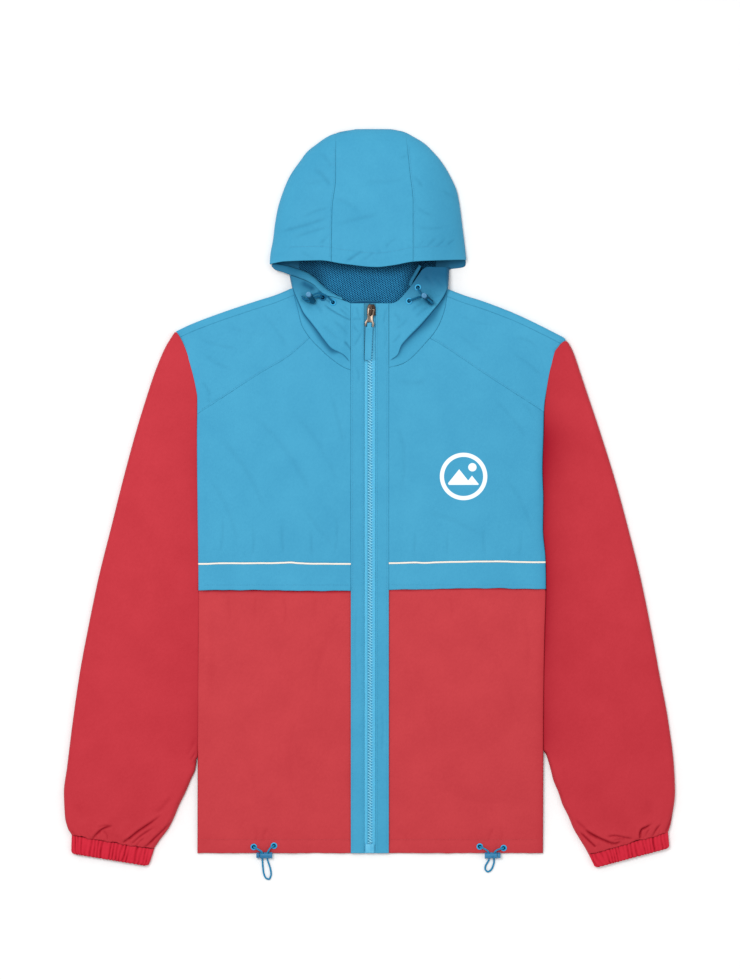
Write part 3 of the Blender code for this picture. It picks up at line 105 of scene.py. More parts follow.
class Smooth:
    """A smooth curve through values at rising knots, read at many places at once."""

    def __init__(self, knots: Sequence[float], values: Sequence, snug: bool = True) -> None:
        """Work out the slopes.

        Args:
            knots: Rising places.
            values: A number or a row of numbers for each place.
            snug: Never swing past the values, so that a table can change quickly.
        """
        self.knots = np.array(knots, float)
        self.values = np.array(values, float).reshape(len(knots), -1)
        steps = np.diff(self.knots)[:, None]
        slopes = np.diff(self.values, axis=0) / steps
        before, after = slopes[:-1], slopes[1:]
        if snug:
            same = before * after > 0
            total = np.where(same, before + after, 1.0)
            inner = np.where(same, 2 * before * after / total, 0.0)
        else:
            inner = (before * steps[1:] + after * steps[:-1]) / (steps[:-1] + steps[1:])
        self.slopes = np.concatenate([slopes[:1], inner, slopes[-1:]])

    def __call__(self, at: Numbers) -> np.ndarray:
        """Return the values at one or many places, clamped to the ends."""
        at = np.clip(np.asarray(at, float), self.knots[0], self.knots[-1])
        i = np.clip(np.searchsorted(self.knots, at, side="right") - 1, 0, len(self.knots) - 2)
        h = (self.knots[i + 1] - self.knots[i])[..., None]
        t = (at - self.knots[i])[..., None] / h
        low, high = self.values[i], self.values[i + 1]
        rise, fall = self.slopes[i] * h, self.slopes[i + 1] * h
        found = ((2 * t**3 - 3 * t**2 + 1) * low + (t**3 - 2 * t**2 + t) * rise
                 + (3 * t**2 - 2 * t**3) * high + (t**3 - t**2) * fall)
        return found[..., 0] if self.values.shape[1] == 1 else found


@lru_cache(maxsize=None)
def reading(rows: Rows, which: int = 1, key: int = 0) -> Smooth:
    """Return one column of a table as a smooth curve over another column."""
    ordered = sorted(rows, key=lambda row: row[key])
    return Smooth([row[key] for row in ordered], [row[which] for row in ordered])


def column(rows: Rows, at: Numbers, which: int = 1) -> np.ndarray:
    """Return one column of a table, read smoothly at values of its first column."""
    return reading(rows, which)(at)


@lru_cache(maxsize=None)
def path_through(points: Rows) -> tuple[Smooth, float]:
    """Return a smooth path through points over its length, and that length."""
    array = np.array(points, float)
    run = lengths(array[:, :2])
    return Smooth(run, array, snug=False), float(run[-1])


def along(points: Rows, share: Numbers) -> np.ndarray:
    """Return the points that lie share of the way along a smooth path."""
    path, length = path_through(points)
    return path(np.asarray(share, float) * length)


def spread(length: float, step: float, fine: Sequence[float] = FINE,
           ends: tuple[bool, bool] = (True, True)) -> np.ndarray:
    """Return shares from 0 to 1 that stand closer together near the ends.

    Args:
        length: Length that the shares divide, in mm.
        step: Usual spacing, in mm.
        fine: Distances from an end that get a share of their own.
        ends: Whether the first and the last end are fine.

    Returns:
        Rising shares.
    """
    low = list(fine) if ends[0] else []
    high = [length - d for d in reversed(fine)] if ends[1] else []
    start, stop = (low[-1] if low else 0.0), (high[0] if high else length)
    count = max(2, int(round((stop - start) / step)))
    middle = list(np.linspace(start, stop, count + 1))
    places = [0.0, *low[:-1], *middle, *high[1:], length] if low or high else middle
    places = sorted({round(p, 4) for p in places + [0.0, length]})
    return np.array(places) / length


class Crumple:
    """Seeded gradient noise in plan, for the cloth's own unevenness."""

    def __init__(self, seed: int) -> None:
        """Draw the lattice of directions."""
        turn = np.random.default_rng(seed).uniform(0, 2 * math.pi, (64, 64))
        self.ways = np.stack([np.cos(turn), np.sin(turn)], axis=-1)

    def __call__(self, x: Numbers, y: Numbers, across: float, lengthwise: float,
                 turn: float = 0.0) -> np.ndarray:
        """Return noise between about -0.7 and 0.7.

        Args:
            x: Places across, in mm.
            y: Places along, in mm.
            across: Size of a cell across the streaks, in mm.
            lengthwise: Size of a cell along the streaks, in mm.
            turn: Turn of the streaks from the Y axis, in degrees.
        """
        c, s = math.cos(math.radians(turn)), math.sin(math.radians(turn))
        px = (np.asarray(x) * c + np.asarray(y) * s) / across
        py = (-np.asarray(x) * s + np.asarray(y) * c) / lengthwise
        i, j = np.floor(px).astype(int), np.floor(py).astype(int)
        fx, fy = px - i, py - j

        def corner(di: int, dj: int) -> np.ndarray:
            """Return the noise at one corner of the cell."""
            way = self.ways[(i + di) % 64, (j + dj) % 64]
            return way[..., 0] * (fx - di) + way[..., 1] * (fy - dj)

        ease_x, ease_y = (f**3 * (f * (f * 6 - 15) + 10) for f in (fx, fy))
        return mix(mix(corner(0, 0), corner(1, 0), ease_x), mix(corner(0, 1), corner(1, 1), ease_x),
                   ease_y)


# ---------------------------------------------------------------- pattern
class Side(Enum):
    """Half of the jacket, by the sign of X."""

    LEFT = -1
    RIGHT = 1

    @property
    def word(self) -> str:
        """Return the word used in piece names."""
        return self.name.lower()


@dataclass(frozen=True)
class Cut:
    """Sizes shared by the pieces, in mm."""

    hem_y: float = -443.0
    zip_top_y: float = 243.6
    back_split_y: float = -98.0
    piping_y: float = -82.0
    piping_width: float = 2.1
    flap_depth: float = 32.5
    lift: float = 1.6
    base: float = 1.6
    roll: float = 6.0
    facing_in: float = 6.95
    facing_out: float = 23.7
    hem_channel: float = 17.0
    flap_stitch: float = 6.6
    brim_stitch: float = 17.5
    shoulder_fold: float = 3.8
    shoulder_lap: float = 10.0
    neck_peak: float = 75.0
    gap: float = 0.3
    hair: float = 0.04
    cloth: float = 0.5
    least: float = 1.5
    brim_hem: float = 17.0
    centre_height: Rows = ((-443, 4.2), (-400, 5.4), (-100, 5.6), (80, 6.2), (160, 8.5),
                           (205, 11), (244, 12.5))
    crest_height: Rows = ((-443, 4.4), (-395, 6.8), (-100, 7.4), (80, 7.8), (160, 8.3),
                          (262, 7.5))


CUT = Cut()


@dataclass(frozen=True)
class Fold:
    """A crease laid over a panel along a path in plan: a ridge, or a trough if its rise is
    negative. Crest piles the cloth up steeply beside it, on the right if positive, and dark
    is how deep the shade in it is."""

    path: Rows
    half: float
    rise: float
    crest: float = 0.0
    dark: float = 0.0
    start: float = 0.3
    stop: float = 0.3

    def around(self, x: np.ndarray, y: np.ndarray) -> tuple[np.ndarray, np.ndarray, np.ndarray]:
        """Return which places are near, how far right of the path they lie and its strength."""
        line = np.array(self.path, float)
        if len(line) > 2:
            line = along(self.path, np.linspace(0, 1, 4 * len(line)))
        reach = (9 if self.crest else 3.2) * self.half
        low, high = line.min(axis=0) - reach, line.max(axis=0) + reach
        near = (x > low[0]) & (x < high[0]) & (y > low[1]) & (y < high[1])
        at_x, at_y = x[near], y[near]
        run = lengths(line)
        best, side, place = np.full(at_x.shape, 1e9), np.zeros(at_x.shape), np.zeros(at_x.shape)
        for k, (a, b) in enumerate(zip(line, line[1:])):
            d = b - a
            length = float(np.hypot(*d))
            if length < 1e-6:
                continue
            t = np.clip(((at_x - a[0]) * d[0] + (at_y - a[1]) * d[1]) / length**2, 0, 1)
            away = np.hypot(at_x - a[0] - t * d[0], at_y - a[1] - t * d[1])
            closer = away < best
            best = np.where(closer, away, best)
            cross = (at_x - a[0]) * d[1] - (at_y - a[1]) * d[0]
            side = np.where(closer, np.sign(cross), side)
            place = np.where(closer, (run[k] + t * length) / run[-1], place)
        ends = smooth(place / self.start) * smooth((1 - place) / self.stop)
        return near, best * side, ends

    def __call__(self, x: np.ndarray, y: np.ndarray) -> tuple[np.ndarray, np.ndarray]:
        """Return the height and the shade that the crease adds at places in plan."""
        height, shade = np.zeros(x.shape), np.zeros(x.shape)
        near, away, ends = self.around(x, y)
        form = np.exp(-((away / self.half) ** 2))
        shade[near] = self.dark * np.exp(-((away / (0.62 * self.half)) ** 2)) * ends
        if self.crest:
            beside = away * math.copysign(1, self.crest)
            form = form - abs(self.crest) * smooth(beside / self.half) * np.exp(
                -np.maximum(beside - 0.6 * self.half, 0) / (2.8 * self.half))
        height[near] = self.rise * form * ends
        return height, shade


# Crease paths are counted in steps of this many mm, with the zip and the chest's middle at these
# counts from the upper left corner.
STEP, ZIP_COUNT, MIDDLE_COUNT = 1.25, 369.8, 498.5


def px(*points: tuple[float, float]) -> Rows:
    """Return places in mm for places counted in steps."""
    return tuple(((x - ZIP_COUNT) * STEP, (MIDDLE_COUNT - y) * STEP) for x, y in points)


def creased(folds: Iterable[Fold], x: Numbers, y: Numbers) -> tuple[np.ndarray, np.ndarray]:
    """Return the summed height and the deepest shade of several creases at places in plan."""
    x, y = np.broadcast_arrays(np.asarray(x, float), np.asarray(y, float))
    height, shade = np.zeros(x.shape), np.zeros(x.shape)
    for fold in folds:
        rise, dark = fold(x, y)
        height, shade = height + rise, np.maximum(shade, dark)
    return height, shade


def folds_at(folds: Iterable[Fold], x: Numbers, y: Numbers) -> np.ndarray:
    """Return the summed height of several creases at places in plan."""
    return creased(folds, x, y)[0]


def line(x1: float, y1: float, x2: float, y2: float) -> Rows:
    """Return a straight path."""
    return ((x1, y1), (x2, y2))


@dataclass(frozen=True)
class Half:
    """Cut lines of one half of the jacket, as rows of out and y unless they say otherwise."""

    side: Side
    body_edge: Rows
    shoulder: Rows
    neck_seam: Rows
    yoke_seam: Rows
    overhang: Rows
    opening: Rows
    collar_height: Rows
    sleeve_outer: Rows
    sleeve_inner: Rows
    sleeve_top_y: float
    cuff: Rows
    hood_seam: Rows
    band_fold: Rows
    band_edge: Rows
    lock_dent: tuple[float, float]
    # Width in mm of the painted shadow beside the collar's fold, by share along the collar.
    collar_shadow: Rows
    side_roll: float
    side_rise: float
    # Painted shadow that the body casts on the sleeve: rows of y, strength and reach in mm; then
    # the strength of its faint wide tail.
    sleeve_shadow: Rows
    shadow_tail: float
    sway: Rows
    # Strength of the painted shade on the body next to the sleeve.
    side_dark: float
    front_folds: tuple[Fold, ...] = ()
    sleeve_folds: tuple[Fold, ...] = ()
    collar_folds: tuple[Fold, ...] = ()

    @property
    def sign(self) -> int:
        """Return -1 for the left half and +1 for the right half."""
        return self.side.value

    def edge(self, y: Numbers) -> np.ndarray:
        """Return how far out the body's edge is."""
        return column(self.body_edge, y)

    def front_height(self, out: Numbers, y: Numbers) -> np.ndarray:
        """Return the height of the red front before its side edge rolls down."""
        swell = smooth(np.asarray(out) / self.edge(y) / 0.5)
        height = mix(column(CUT.centre_height, y), column(CUT.crest_height, y), swell)
        return height + folds_at(self.front_folds, self.sign * np.asarray(out), y)

    def front_face(self, out: Numbers, y: Numbers, lift: float = 0.0,
                   inset: Numbers = 0.0) -> np.ndarray:
        """Return the height of a front piece's face, rolled down along the armhole."""
        height = self.front_height(out, y) + lift
        base = mix(self.side_base(y), height, smooth((np.asarray(y) - 95) / 50))
        return mix(base, height, rolled(self.edge(y) - inset - out, self.side_roll))

    def side_base(self, y: Numbers) -> np.ndarray:
        """Return how high the body's side edge lies where the sleeve rests against it."""
        return CUT.base + self.side_rise * smooth((np.asarray(y) + 335) / 40)

    def yoke_face(self, out: Numbers, y: Numbers) -> np.ndarray:
        """Return the height of the front yoke, which sinks to the shoulder fold."""
        below = column(self.shoulder, out) - CUT.shoulder_lap - y
        return mix(2 * CUT.shoulder_fold, self.front_face(out, y, CUT.lift), smooth(below / 35))

    def chest_top(self, out: Numbers) -> np.ndarray:
        """Return the chest panel's upper edge: the neck seam, then the yoke's seam."""
        out = np.asarray(out, float)
        return np.where(out < CUT.neck_peak, column(self.neck_seam, out),
                        column(self.yoke_seam, out))

    def neck_out(self, y: Numbers) -> np.ndarray:
        """Return how far out the neck seam is at a height along the body."""
        return reading(self.neck_seam, 0, 1)(y)

    def hood_seam_out(self, y: Numbers) -> np.ndarray:
        """Return how far out the hood's crown seam is."""
        return reading(self.hood_seam, 0, 1)(y)

    def swayed(self, out: Numbers, y: Numbers) -> np.ndarray:
        """Return places along moved as the piping and the flap's edge wander across."""
        at_piping, at_edge = column(self.sway, out, 1), column(self.sway, out, 2)
        share = smooth((y - CUT.piping_y + CUT.flap_depth) / CUT.flap_depth)
        fade = np.exp(-(np.maximum(y - CUT.piping_y, 0) / 25) ** 2)
        return y + mix(at_edge, at_piping, share) * fade

    def beside_arm(self, out: Numbers, y: Numbers) -> np.ndarray:
        """Return the shade of the body close to the sleeve."""
        return self.side_dark * np.exp(-np.maximum(self.edge(y) - out, 0) / 5)

    def arm_out(self, below: float) -> float:
        """Return where a line this far below the shoulder meets the armhole."""
        low, high = 200.0, 250.0
        for _ in range(30):
            out = (low + high) / 2
            if float(self.edge(column(self.shoulder, out) - below)) > out:
                low = out
            else:
                high = out
        return low - CUT.gap / 2

    def lap_end(self) -> tuple[float, float]:
        """Return the armhole end of the shoulder lap's edge."""
        out = self.arm_out(CUT.shoulder_lap)
        return out, float(column(self.shoulder, out)) - CUT.shoulder_lap

    def neck_lap_y(self) -> float:
        """Return where the shoulder lap's edge meets the neck seam."""
        high = 250.0
        for _ in range(8):
            out = float(self.neck_out(high)) + CUT.gap
            high = float(column(self.shoulder, out)) - CUT.shoulder_lap
        return high


def rolled(inward: Numbers, width: float) -> np.ndarray:
    """Return the share of its height that a rolled edge has reached, inward from the edge."""
    left = 1 - np.clip(np.asarray(inward, float) / width, 0.0, 1.0)
    return np.sqrt(np.maximum(0.0, 1 - left * left))


LEFT = Half(
    side=Side.LEFT,
    body_edge=((-443, 215.5), (-250, 215), (-114, 214), (-30, 215), (80, 216), (125, 215.5),
               (139.5, 217.5), (175, 226.5), (190.3, 232), (200.3, 236.8), (204, 239.2),
               (208.6, 242.4)),
    shoulder=((94, 264), (121, 253), (137.3, 248), (182.3, 233), (222.3, 218), (242.5, 208.5)),
    neck_seam=((24, 160.5), (30.3, 162.5), (48.5, 174.5), (62.3, 187), (75, 200.5),
               (85.3, 217.5), (90, 237), (96.8, 262)),
    yoke_seam=((75, 200.5), (101, 178), (137.5, 156), (197.5, 117), (216, 105)),
    overhang=((24, 170), (32.3, 179.4), (48.5, 188.1), (56.6, 197.5), (65.4, 209.4),
              (74.1, 220.6), (82.3, 231), (87.6, 242.1), (98, 267)),
    opening=((24, 243.6), (31.5, 246.5), (43, 250.5), (56, 253.5), (62.3, 258.5), (68.5, 264.9),
             (78.1, 270.6), (86.4, 273.8), (100.4, 278.9)),
    collar_height=((0, 11.6, 13.2, 14.1), (0.25, 14.5, 15.5, 14.6), (0.5, 16.5, 17, 16),
                   (0.75, 17.5, 18, 17), (1, 16, 16, 15)),
    sleeve_outer=((372.4, -419.4), (377.3, -412), (381, -397), (382.3, -367), (378.5, -337),
                  (371, -277), (362.3, -217), (351, -157), (338.5, -97), (323.5, -37),
                  (308.5, 23), (292.3, 83), (278.5, 128), (268.5, 158), (256, 188),
                  (249.2, 199.6), (246.6, 203.6), (243.9, 207.2), (242.8, 208.4)),
    sleeve_inner=((268.9, -436.9), (262.3, -427), (251, -412), (243.5, -397), (237.3, -382),
                  (229.8, -367), (223.5, -352), (217.3, -337), (215.8, -322)),
    sleeve_top_y=208.4,
    cuff=((372.4, -419.9), (268.9, -437.4), (373.0, -443.5), (276.5, -459.4)),
    hood_seam=((47.8, 285), (47.8, 298), (46.9, 359.4), (42.5, 399.4), (42.5, 455)),
    band_fold=((34, 248.4, 13.6), (43, 251.3, 14.2), (56, 254.4, 15), (62.6, 259.4, 15.4),
               (68.8, 265.8, 15.6), (78.4, 271.5, 15.4), (86.7, 274.7, 15), (100.7, 280, 12),
               (109.8, 283.5, 10), (118.5, 286.4, 8.4), (122.5, 290.5, 7.4)),
    band_edge=((34.5, 250.6, 11.5), (43.5, 255, 10), (52.5, 261, 8.5), (61, 268.6, 7.5),
               (69.8, 276.9, 7), (76.8, 281.9, 7), (91.5, 287.5, 7), (104, 291, 6.8),
               (113, 292.6, 6.6), (118, 293.4, 6.4), (121.5, 293.6, 6.2)),
    lock_dent=(70.5, 246.5),
    collar_shadow=((0, 1.3), (0.14, 1.6), (0.24, 5.6), (0.4, 5.2), (0.55, 3.8), (0.7, 2.5),
                   (0.85, 1.5), (1, 1.2)),
    side_roll=2.0,
    side_rise=6.0,
    sleeve_shadow=((-340, 0.3, 7), (-314, 0.36, 7), (-277, 0.2, 7), (-227, 0.12, 7),
                   (-127, 0.05, 7), (0, 0.2, 7), (40, 0.26, 7), (73, 0.16, 7), (110, 0.03, 7),
                   (200, 0.02, 7)),
    shadow_tail=0.08,
    sway=((0, 0.2, -0.6), (30, 0.3, -0.6), (70, 0.6, -0.9), (90, 1.3, -0.7), (99, 2.2, -0.6),
          (108, 1.7, -0.3), (130, 1.2, 0.2), (188, 1.1, 0.2), (204, 0.4, 0.0), (212, 0.3, -0.4)),
    side_dark=0.0,
    # The last four lay painted shadow, with small dents, under the band's edge, around the lock and
    # under the cord.
    collar_folds=(
        Fold(px((322, 303), (330, 309.5), (340, 315.5), (350, 320), (363, 319.5)), 1.4, -0.7,
             0.0, 0.4, 0.2, 0.2),
        Fold(px((338, 307), (346, 314.5), (353.3, 322)), 2.2, -0.68, 0.5, 0.113),
        Fold(px((332, 320), (341, 327), (350, 337)), 3.0, -0.59, -0.5, 0.09),
        Fold(px((320, 324), (330, 332), (340, 342)), 3.4, -0.59, -0.4, 0.054),
        Fold(px((344, 341), (349, 347), (352.7, 353)), 2.2, -0.9, 0.5, 0.35, 0.2, 0.1),
        Fold(px((351, 337), (357, 330), (363, 324)), 2.2, -0.68, -0.5, 0.135),
        Fold(px((310, 300), (318, 306), (324, 316)), 3.2, -0.59, 0.4, 0.068),
        Fold(px((300, 290), (306, 300), (314, 312)), 3.6, -0.51, 0.3, 0.068),
        Fold(px((341, 306), (347, 309), (352, 316)), 2.0, -0.51, 0.4, 0.068),
        Fold(px((300, 281), (306, 285.5), (312, 289), (316, 293)), 6.0, -1.6, 0.0, 0.62, 0.35, 0.3),
        Fold(px((317, 291.5), (323, 294.6), (329, 298.5)), 3.4, -0.8, 0.0, 0.6, 0.2, 0.3),
        Fold(px((302, 297.5), (308, 301), (315, 305.5)), 5.0, -0.4, 0.0, 0.4, 0.2, 0.2),
        Fold(px((316, 298.6), (323, 299.2), (331, 303)), 2.2, 0.0, 0.0, 0.4, 0.1, 0.1)),
    front_folds=(
        Fold(line(-60, -380, -95, -250), 16, 0.7), Fold(line(-120, -20, -150, 90), 18, 0.6),
        Fold(line(-205, -180, -170, -290), 15, -0.7)),
    sleeve_folds=(
        Fold(px((92, 839.5), (97.5, 833), (102, 829), (106, 827), (114, 825.5)), 1.7, -2.2, -0.9,
             0.75, 0.15, 0.3),
        Fold(px((97, 829), (101, 826), (108, 824.8), (114, 826)), 1.5, -0.8, -0.6, 0.35),
        Fold(px((103, 829), (107, 834), (108.5, 839)), 1.6, -0.9, 0.6, 0.4, 0.2, 0.1),
        Fold(px((122, 843), (130.5, 837), (138, 831), (146, 825.6), (157, 818), (166, 811)),
             1.8, -2.3, -1.0, 0.8, 0.08, 0.5),
        Fold(px((131.5, 844), (139, 837), (146, 832), (158, 825)), 1.6, -1.3, -0.7, 0.55, 0.1,
             0.45),
        Fold(px((136, 846), (141, 840), (147, 836)), 1.5, -0.9, -0.6, 0.4, 0.1, 0.45),
        Fold(px((143.5, 848), (149, 843.5), (154, 838.5), (162, 831), (172.3, 820), (180, 811)),
             1.8, -2.0, -0.9, 0.7, 0.1, 0.5),
        Fold(px((155, 815), (165, 805), (173, 794)), 3.6, -1.1, -0.5, 0.12),
        Fold(px((190, 759.5), (197.5, 750)), 2.0, -1.1, -0.4, 0.5, 0.2),
        Fold(px((191, 763.5), (197.5, 759)), 1.8, -0.9, -0.4, 0.45, 0.2),
        Fold(px((186, 756), (192, 747), (196, 738)), 2.4, -0.8, -0.4, 0.25, 0.2),
        Fold(px((72, 830), (77, 836), (84, 840)), 1.8, -1.0, 0.6, 0.45, 0.1, 0.3),
        Fold(px((78, 801), (82, 813), (88, 822)), 7.0, -1.3, 0.0, 0.16, 0.4, 0.4),
        Fold(line(-318, -424, -296, -402), 7, 1.1), Fold(line(-372, -150, -300, 40), 16, 0.7),
        Fold(line(-250, -140, -232, -60), 10, -0.8)),
)

RIGHT = Half(
    side=Side.RIGHT,
    body_edge=((-443, 216.5), (-250, 217.5), (-170, 218.8), (-113, 220.3), (-78, 219.8),
               (-38, 216.6), (0, 217), (36, 215.9), (80, 217.2), (112, 218), (134.5, 220.5),
               (156, 224), (176, 229.4), (184, 231.8), (189, 235.6), (193, 238.8), (197.3, 244.6)),
    shoulder=((94, 263), (120.3, 253), (136.5, 248), (176.5, 233), (209, 218), (236.3, 204.1),
              (243, 200.4), (245, 197)),
    neck_seam=((24, 163.5), (40, 167.5), (51, 174.5), (62.3, 185.6), (75, 200), (80.3, 206.3),
               (87.8, 219.4), (94.3, 239.4), (97.5, 261)),
    yoke_seam=((75, 200), (87, 193.5), (117.8, 173.1), (137.8, 159.4), (217.5, 108)),
    overhang=((24, 172), (34, 179), (39.6, 191.1), (48, 200.6), (62.3, 215), (78.3, 233.4),
              (86.3, 243.1), (93, 253.4), (98.5, 267)),
    opening=((24, 243.3), (30, 244), (35.3, 246.9), (42.8, 254.6), (52.8, 266.9), (61, 279),
             (67, 286.6), (70, 288.2), (84, 288.5), (99.5, 288.7)),
    collar_height=((0, 11.6, 13.2, 14.1), (0.2, 15, 15.5, 14.6), (0.45, 18, 17.5, 15),
                   (0.75, 18, 17.5, 15), (1, 16, 16, 14)),
    sleeve_outer=((372.6, -415.1), (375.5, -408), (377.8, -397), (381.5, -367), (380.3, -337),
                  (372.8, -277), (361.5, -217), (350.3, -157), (337.8, -97), (322.8, -37),
                  (306.5, 23), (287.8, 83), (272.8, 128), (262.8, 158), (254.4, 182.5),
                  (250.3, 190.9), (246.6, 196), (245.4, 197.2)),
    sleeve_inner=((273.3, -443.8), (262.8, -427), (254, -412), (247.8, -397), (240.3, -382),
                  (235.3, -367), (229, -352), (225.3, -337), (218.9, -316)),
    sleeve_top_y=197.2,
    cuff=((372.6, -415.6), (273.3, -444.3), (374.4, -436.5), (281.5, -461.4)),
    hood_seam=((53.9, 285), (53.9, 295.6), (53.9, 368.1), (50.3, 403.1), (45.1, 455)),
    band_fold=((51.8, 264.6, 13.4), (54.4, 271.5, 12), (58.5, 279, 11), (64.5, 290, 10.5)),
    band_edge=((48.3, 266.8, 11.2), (50.6, 274, 9), (54.8, 281, 8.4), (61, 292, 8)),
    lock_dent=(75.0, 244.5),
    collar_shadow=((0, 0.8), (0.1, 2.4), (0.2, 4.6), (0.42, 5.4), (0.55, 8.0), (0.65, 9.0),
                   (0.76, 5.6), (0.9, 2.4), (1, 1.2)),
    side_roll=1.4,
    side_rise=1.6,
    sleeve_shadow=((-340, 0.45, 7), (-314, 0.5, 7), (-277, 0.45, 7), (-227, 0.34, 8),
                   (-177, 0.64, 7.5), (-127, 0.72, 8), (0, 0.76, 10), (40, 0.9, 17),
                   (66, 0.95, 22), (80, 0.85, 22), (95, 0.6, 18), (112, 0.34, 12),
                   (140, 0.15, 8), (200, 0.1, 6)),
    shadow_tail=0.15,
    sway=((0, 1.0, 0.5), (28, 1.2, 0.6), (58, 2.0, 1.0), (68, 1.6, 1.1), (88, 2.5, 1.6),
          (118, 3.0, 2.2), (138, 3.4, 2.4), (168, 3.4, 2.4), (178, 3.0, 1.9), (198, 2.5, 1.6),
          (212, 2.4, 1.3)),
    side_dark=0.34,
    # The last three lay painted shadow under the cords and the lock.
    collar_folds=(
        Fold(px((410, 313), (417, 307), (425, 301)), 3.0, -0.59, -0.4, 0.081),
        Fold(px((414, 319), (422, 312), (430, 305)), 2.6, -0.59, -0.4, 0.099),
        Fold(px((423, 275), (429, 281), (434, 289)), 4.0, -0.59, 0.4, 0.063),
        Fold(px((430, 276), (438, 282), (444, 292)), 4.0, -0.51, 0.4, 0.063),
        Fold(px((392, 312), (398, 318), (401, 327)), 2.8, -0.59, 0.4, 0.068),
        Fold(px((394, 330), (401, 326), (409, 318)), 3.0, -0.51, -0.4, 0.068),
        Fold(px((391, 344), (396, 340), (401, 333)), 2.4, -0.68, -0.4, 0.09),
        Fold(px((410, 303), (415, 301), (421, 299.6)), 2.6, 0.0, 0.0, 0.42, 0.1, 0.1),
        Fold(px((418, 289), (421, 293), (423.5, 296)), 2.6, 0.0, 0.0, 0.42, 0.1, 0.1),
        Fold(px((423, 298.5), (428, 303), (433.5, 306.5)), 4.2, -0.3, 0.0, 0.5, 0.15, 0.15)),
    front_folds=(
        Fold(line(80, -390, 60, -240), 16, 0.6), Fold(line(165, -40, 130, 100), 18, 0.7),
        Fold(line(200, -210, 165, -320), 15, -0.7)),
    sleeve_folds=(
        Fold(px((581, 826), (589, 832), (597, 836.5), (606, 840.5), (613, 843), (622, 841)),
             1.8, -2.3, -1.0, 0.85, 0.3, 0.12),
        Fold(px((573, 816), (579, 823), (588, 830)), 2.6, -1.0, -0.6, 0.3, 0.4, 0.3),
        Fold(px((577, 829), (586, 837.5), (596, 847)), 1.7, -1.8, -0.8, 0.75, 0.35, 0.08),
        Fold(px((584, 828), (592, 834), (600, 838.5)), 1.6, -0.9, -0.6, 0.4),
        Fold(px((604, 836.5), (614, 835), (625, 837), (633, 838.5)), 1.6, -1.4, -0.8, 0.6, 0.3,
             0.12),
        Fold(px((611, 840.5), (618, 838.5), (628, 839.5)), 1.5, -0.8, -0.6, 0.4),
        Fold(px((640, 839), (639.6, 833), (641.3, 829), (646, 826.5), (653, 822.5)), 1.8, -2.2,
             -0.9, 0.85, 0.1, 0.4),
        Fold(px((645, 837), (647, 831), (651, 827)), 1.5, -0.9, 0.6, 0.45, 0.1, 0.4),
        Fold(px((652, 836), (655.5, 829.5), (661.5, 822)), 1.7, -1.4, -0.7, 0.6, 0.08, 0.4),
        Fold(px((664.5, 833.5), (668.5, 824), (673, 811), (676, 800)), 1.9, -1.8, 0.7, 0.75,
             0.1, 0.4),
        Fold(px((668.5, 832), (671.5, 823), (675, 814)), 1.5, -1.0, 0.5, 0.5, 0.1, 0.4),
        Fold(px((648, 797), (649.5, 808), (648, 820)), 7.0, -1.2, 0.0, 0.15, 0.4, 0.4),
        Fold(line(297, -421, 328, -423), 6, 0.9), Fold(line(345, -190, 290, 20), 16, 0.7)),
)
HALVES = (LEFT, RIGHT)


@dataclass(frozen=True)
class HoodShape:
    """Form of the hood: rows of y, out at -X, out at +X and height of the crown."""

    form: Rows = (
        (286, 125.2, 121.0, 31), (303, 124.4, 119.6, 31), (323, 121, 117.8, 30.5),
        (343, 118.5, 115.3, 29.5), (363, 114.8, 112.8, 28.5), (383, 108.5, 109, 27),
        (403, 99.8, 100.3, 24.8), (423, 86, 87.8, 22), (433, 78.5, 79, 20), (443, 66, 69, 17.2),
        (453, 51, 52.8, 12.5), (458, 37, 43, 9), (461.3, 18, 28, 5.2))
    rim: Rows = ((293, 8.0), (306, 4.0), (322, 1.6), (462, 1.6))
    squareness: float = 3.2
    brim: Rows = ((-124, 292.5), (-106, 295.1), (-62.3, 296), (-32.3, 291.6), (8.4, 287.6),
                  (29, 289.9), (55.3, 294.6), (90.3, 296.4), (120, 297.8))
    back: Rows = (
        (260.6, 93, 93), (266, 96, 96), (280, 99.5, 98.5), (286.4, 104.2, 99.8),
        (288.6, 106.6, 115.5), (291, 112, 119.4), (294, 120.5, 120.0), (303, 123, 118.8),
        (323, 120, 116.8), (343, 117.5, 114.3), (363, 113.5, 111.5), (383, 107, 107.5),
        (403, 98, 98.5), (423, 84, 86), (433, 76, 77), (443, 63, 66), (452, 50, 52),
        (457.5, 37, 43), (461.2, 18, 28))

    def out(self, half: Half, y: Numbers) -> np.ndarray:
        """Return how far out the hood's edge is on one side."""
        return column(self.form, y, 1 if half.sign < 0 else 2)

    def middle_and_half(self, y: Numbers) -> tuple[np.ndarray, np.ndarray]:
        """Return the middle and half the width of the hood's section."""
        left, right = self.out(LEFT, y), self.out(RIGHT, y)
        return (right - left) / 2, (right + left) / 2

    def face(self, x: Numbers, y: Numbers) -> np.ndarray:
        """Return the height of the hood's outer face."""
        middle, half = self.middle_and_half(y)
        across = np.minimum(np.abs((x - middle) / half), 1.0)
        base = column(self.rim, y)
        lift = np.sqrt(np.maximum(0, 1 - across**self.squareness))
        return mix(base, column(self.form, y, 3), lift)

    def seam_angle(self, half: Half, y: Numbers) -> np.ndarray:
        """Return the place of a crown seam as the angle round the hood's section."""
        middle, width = self.middle_and_half(y)
        return np.arcsin(np.clip((half.sign * half.hood_seam_out(y) - middle) / width, -1, 1))

    def across(self, angle: Numbers, y: Numbers) -> np.ndarray:
        """Return the place across the hood that belongs to an angle."""
        middle, width = self.middle_and_half(y)
        return middle + width * np.sin(angle)

    def brim_y(self, x: Numbers) -> np.ndarray:
        """Return where the free front edge of the hood lies."""
        return column(self.brim, x)


HOOD = HoodShape()


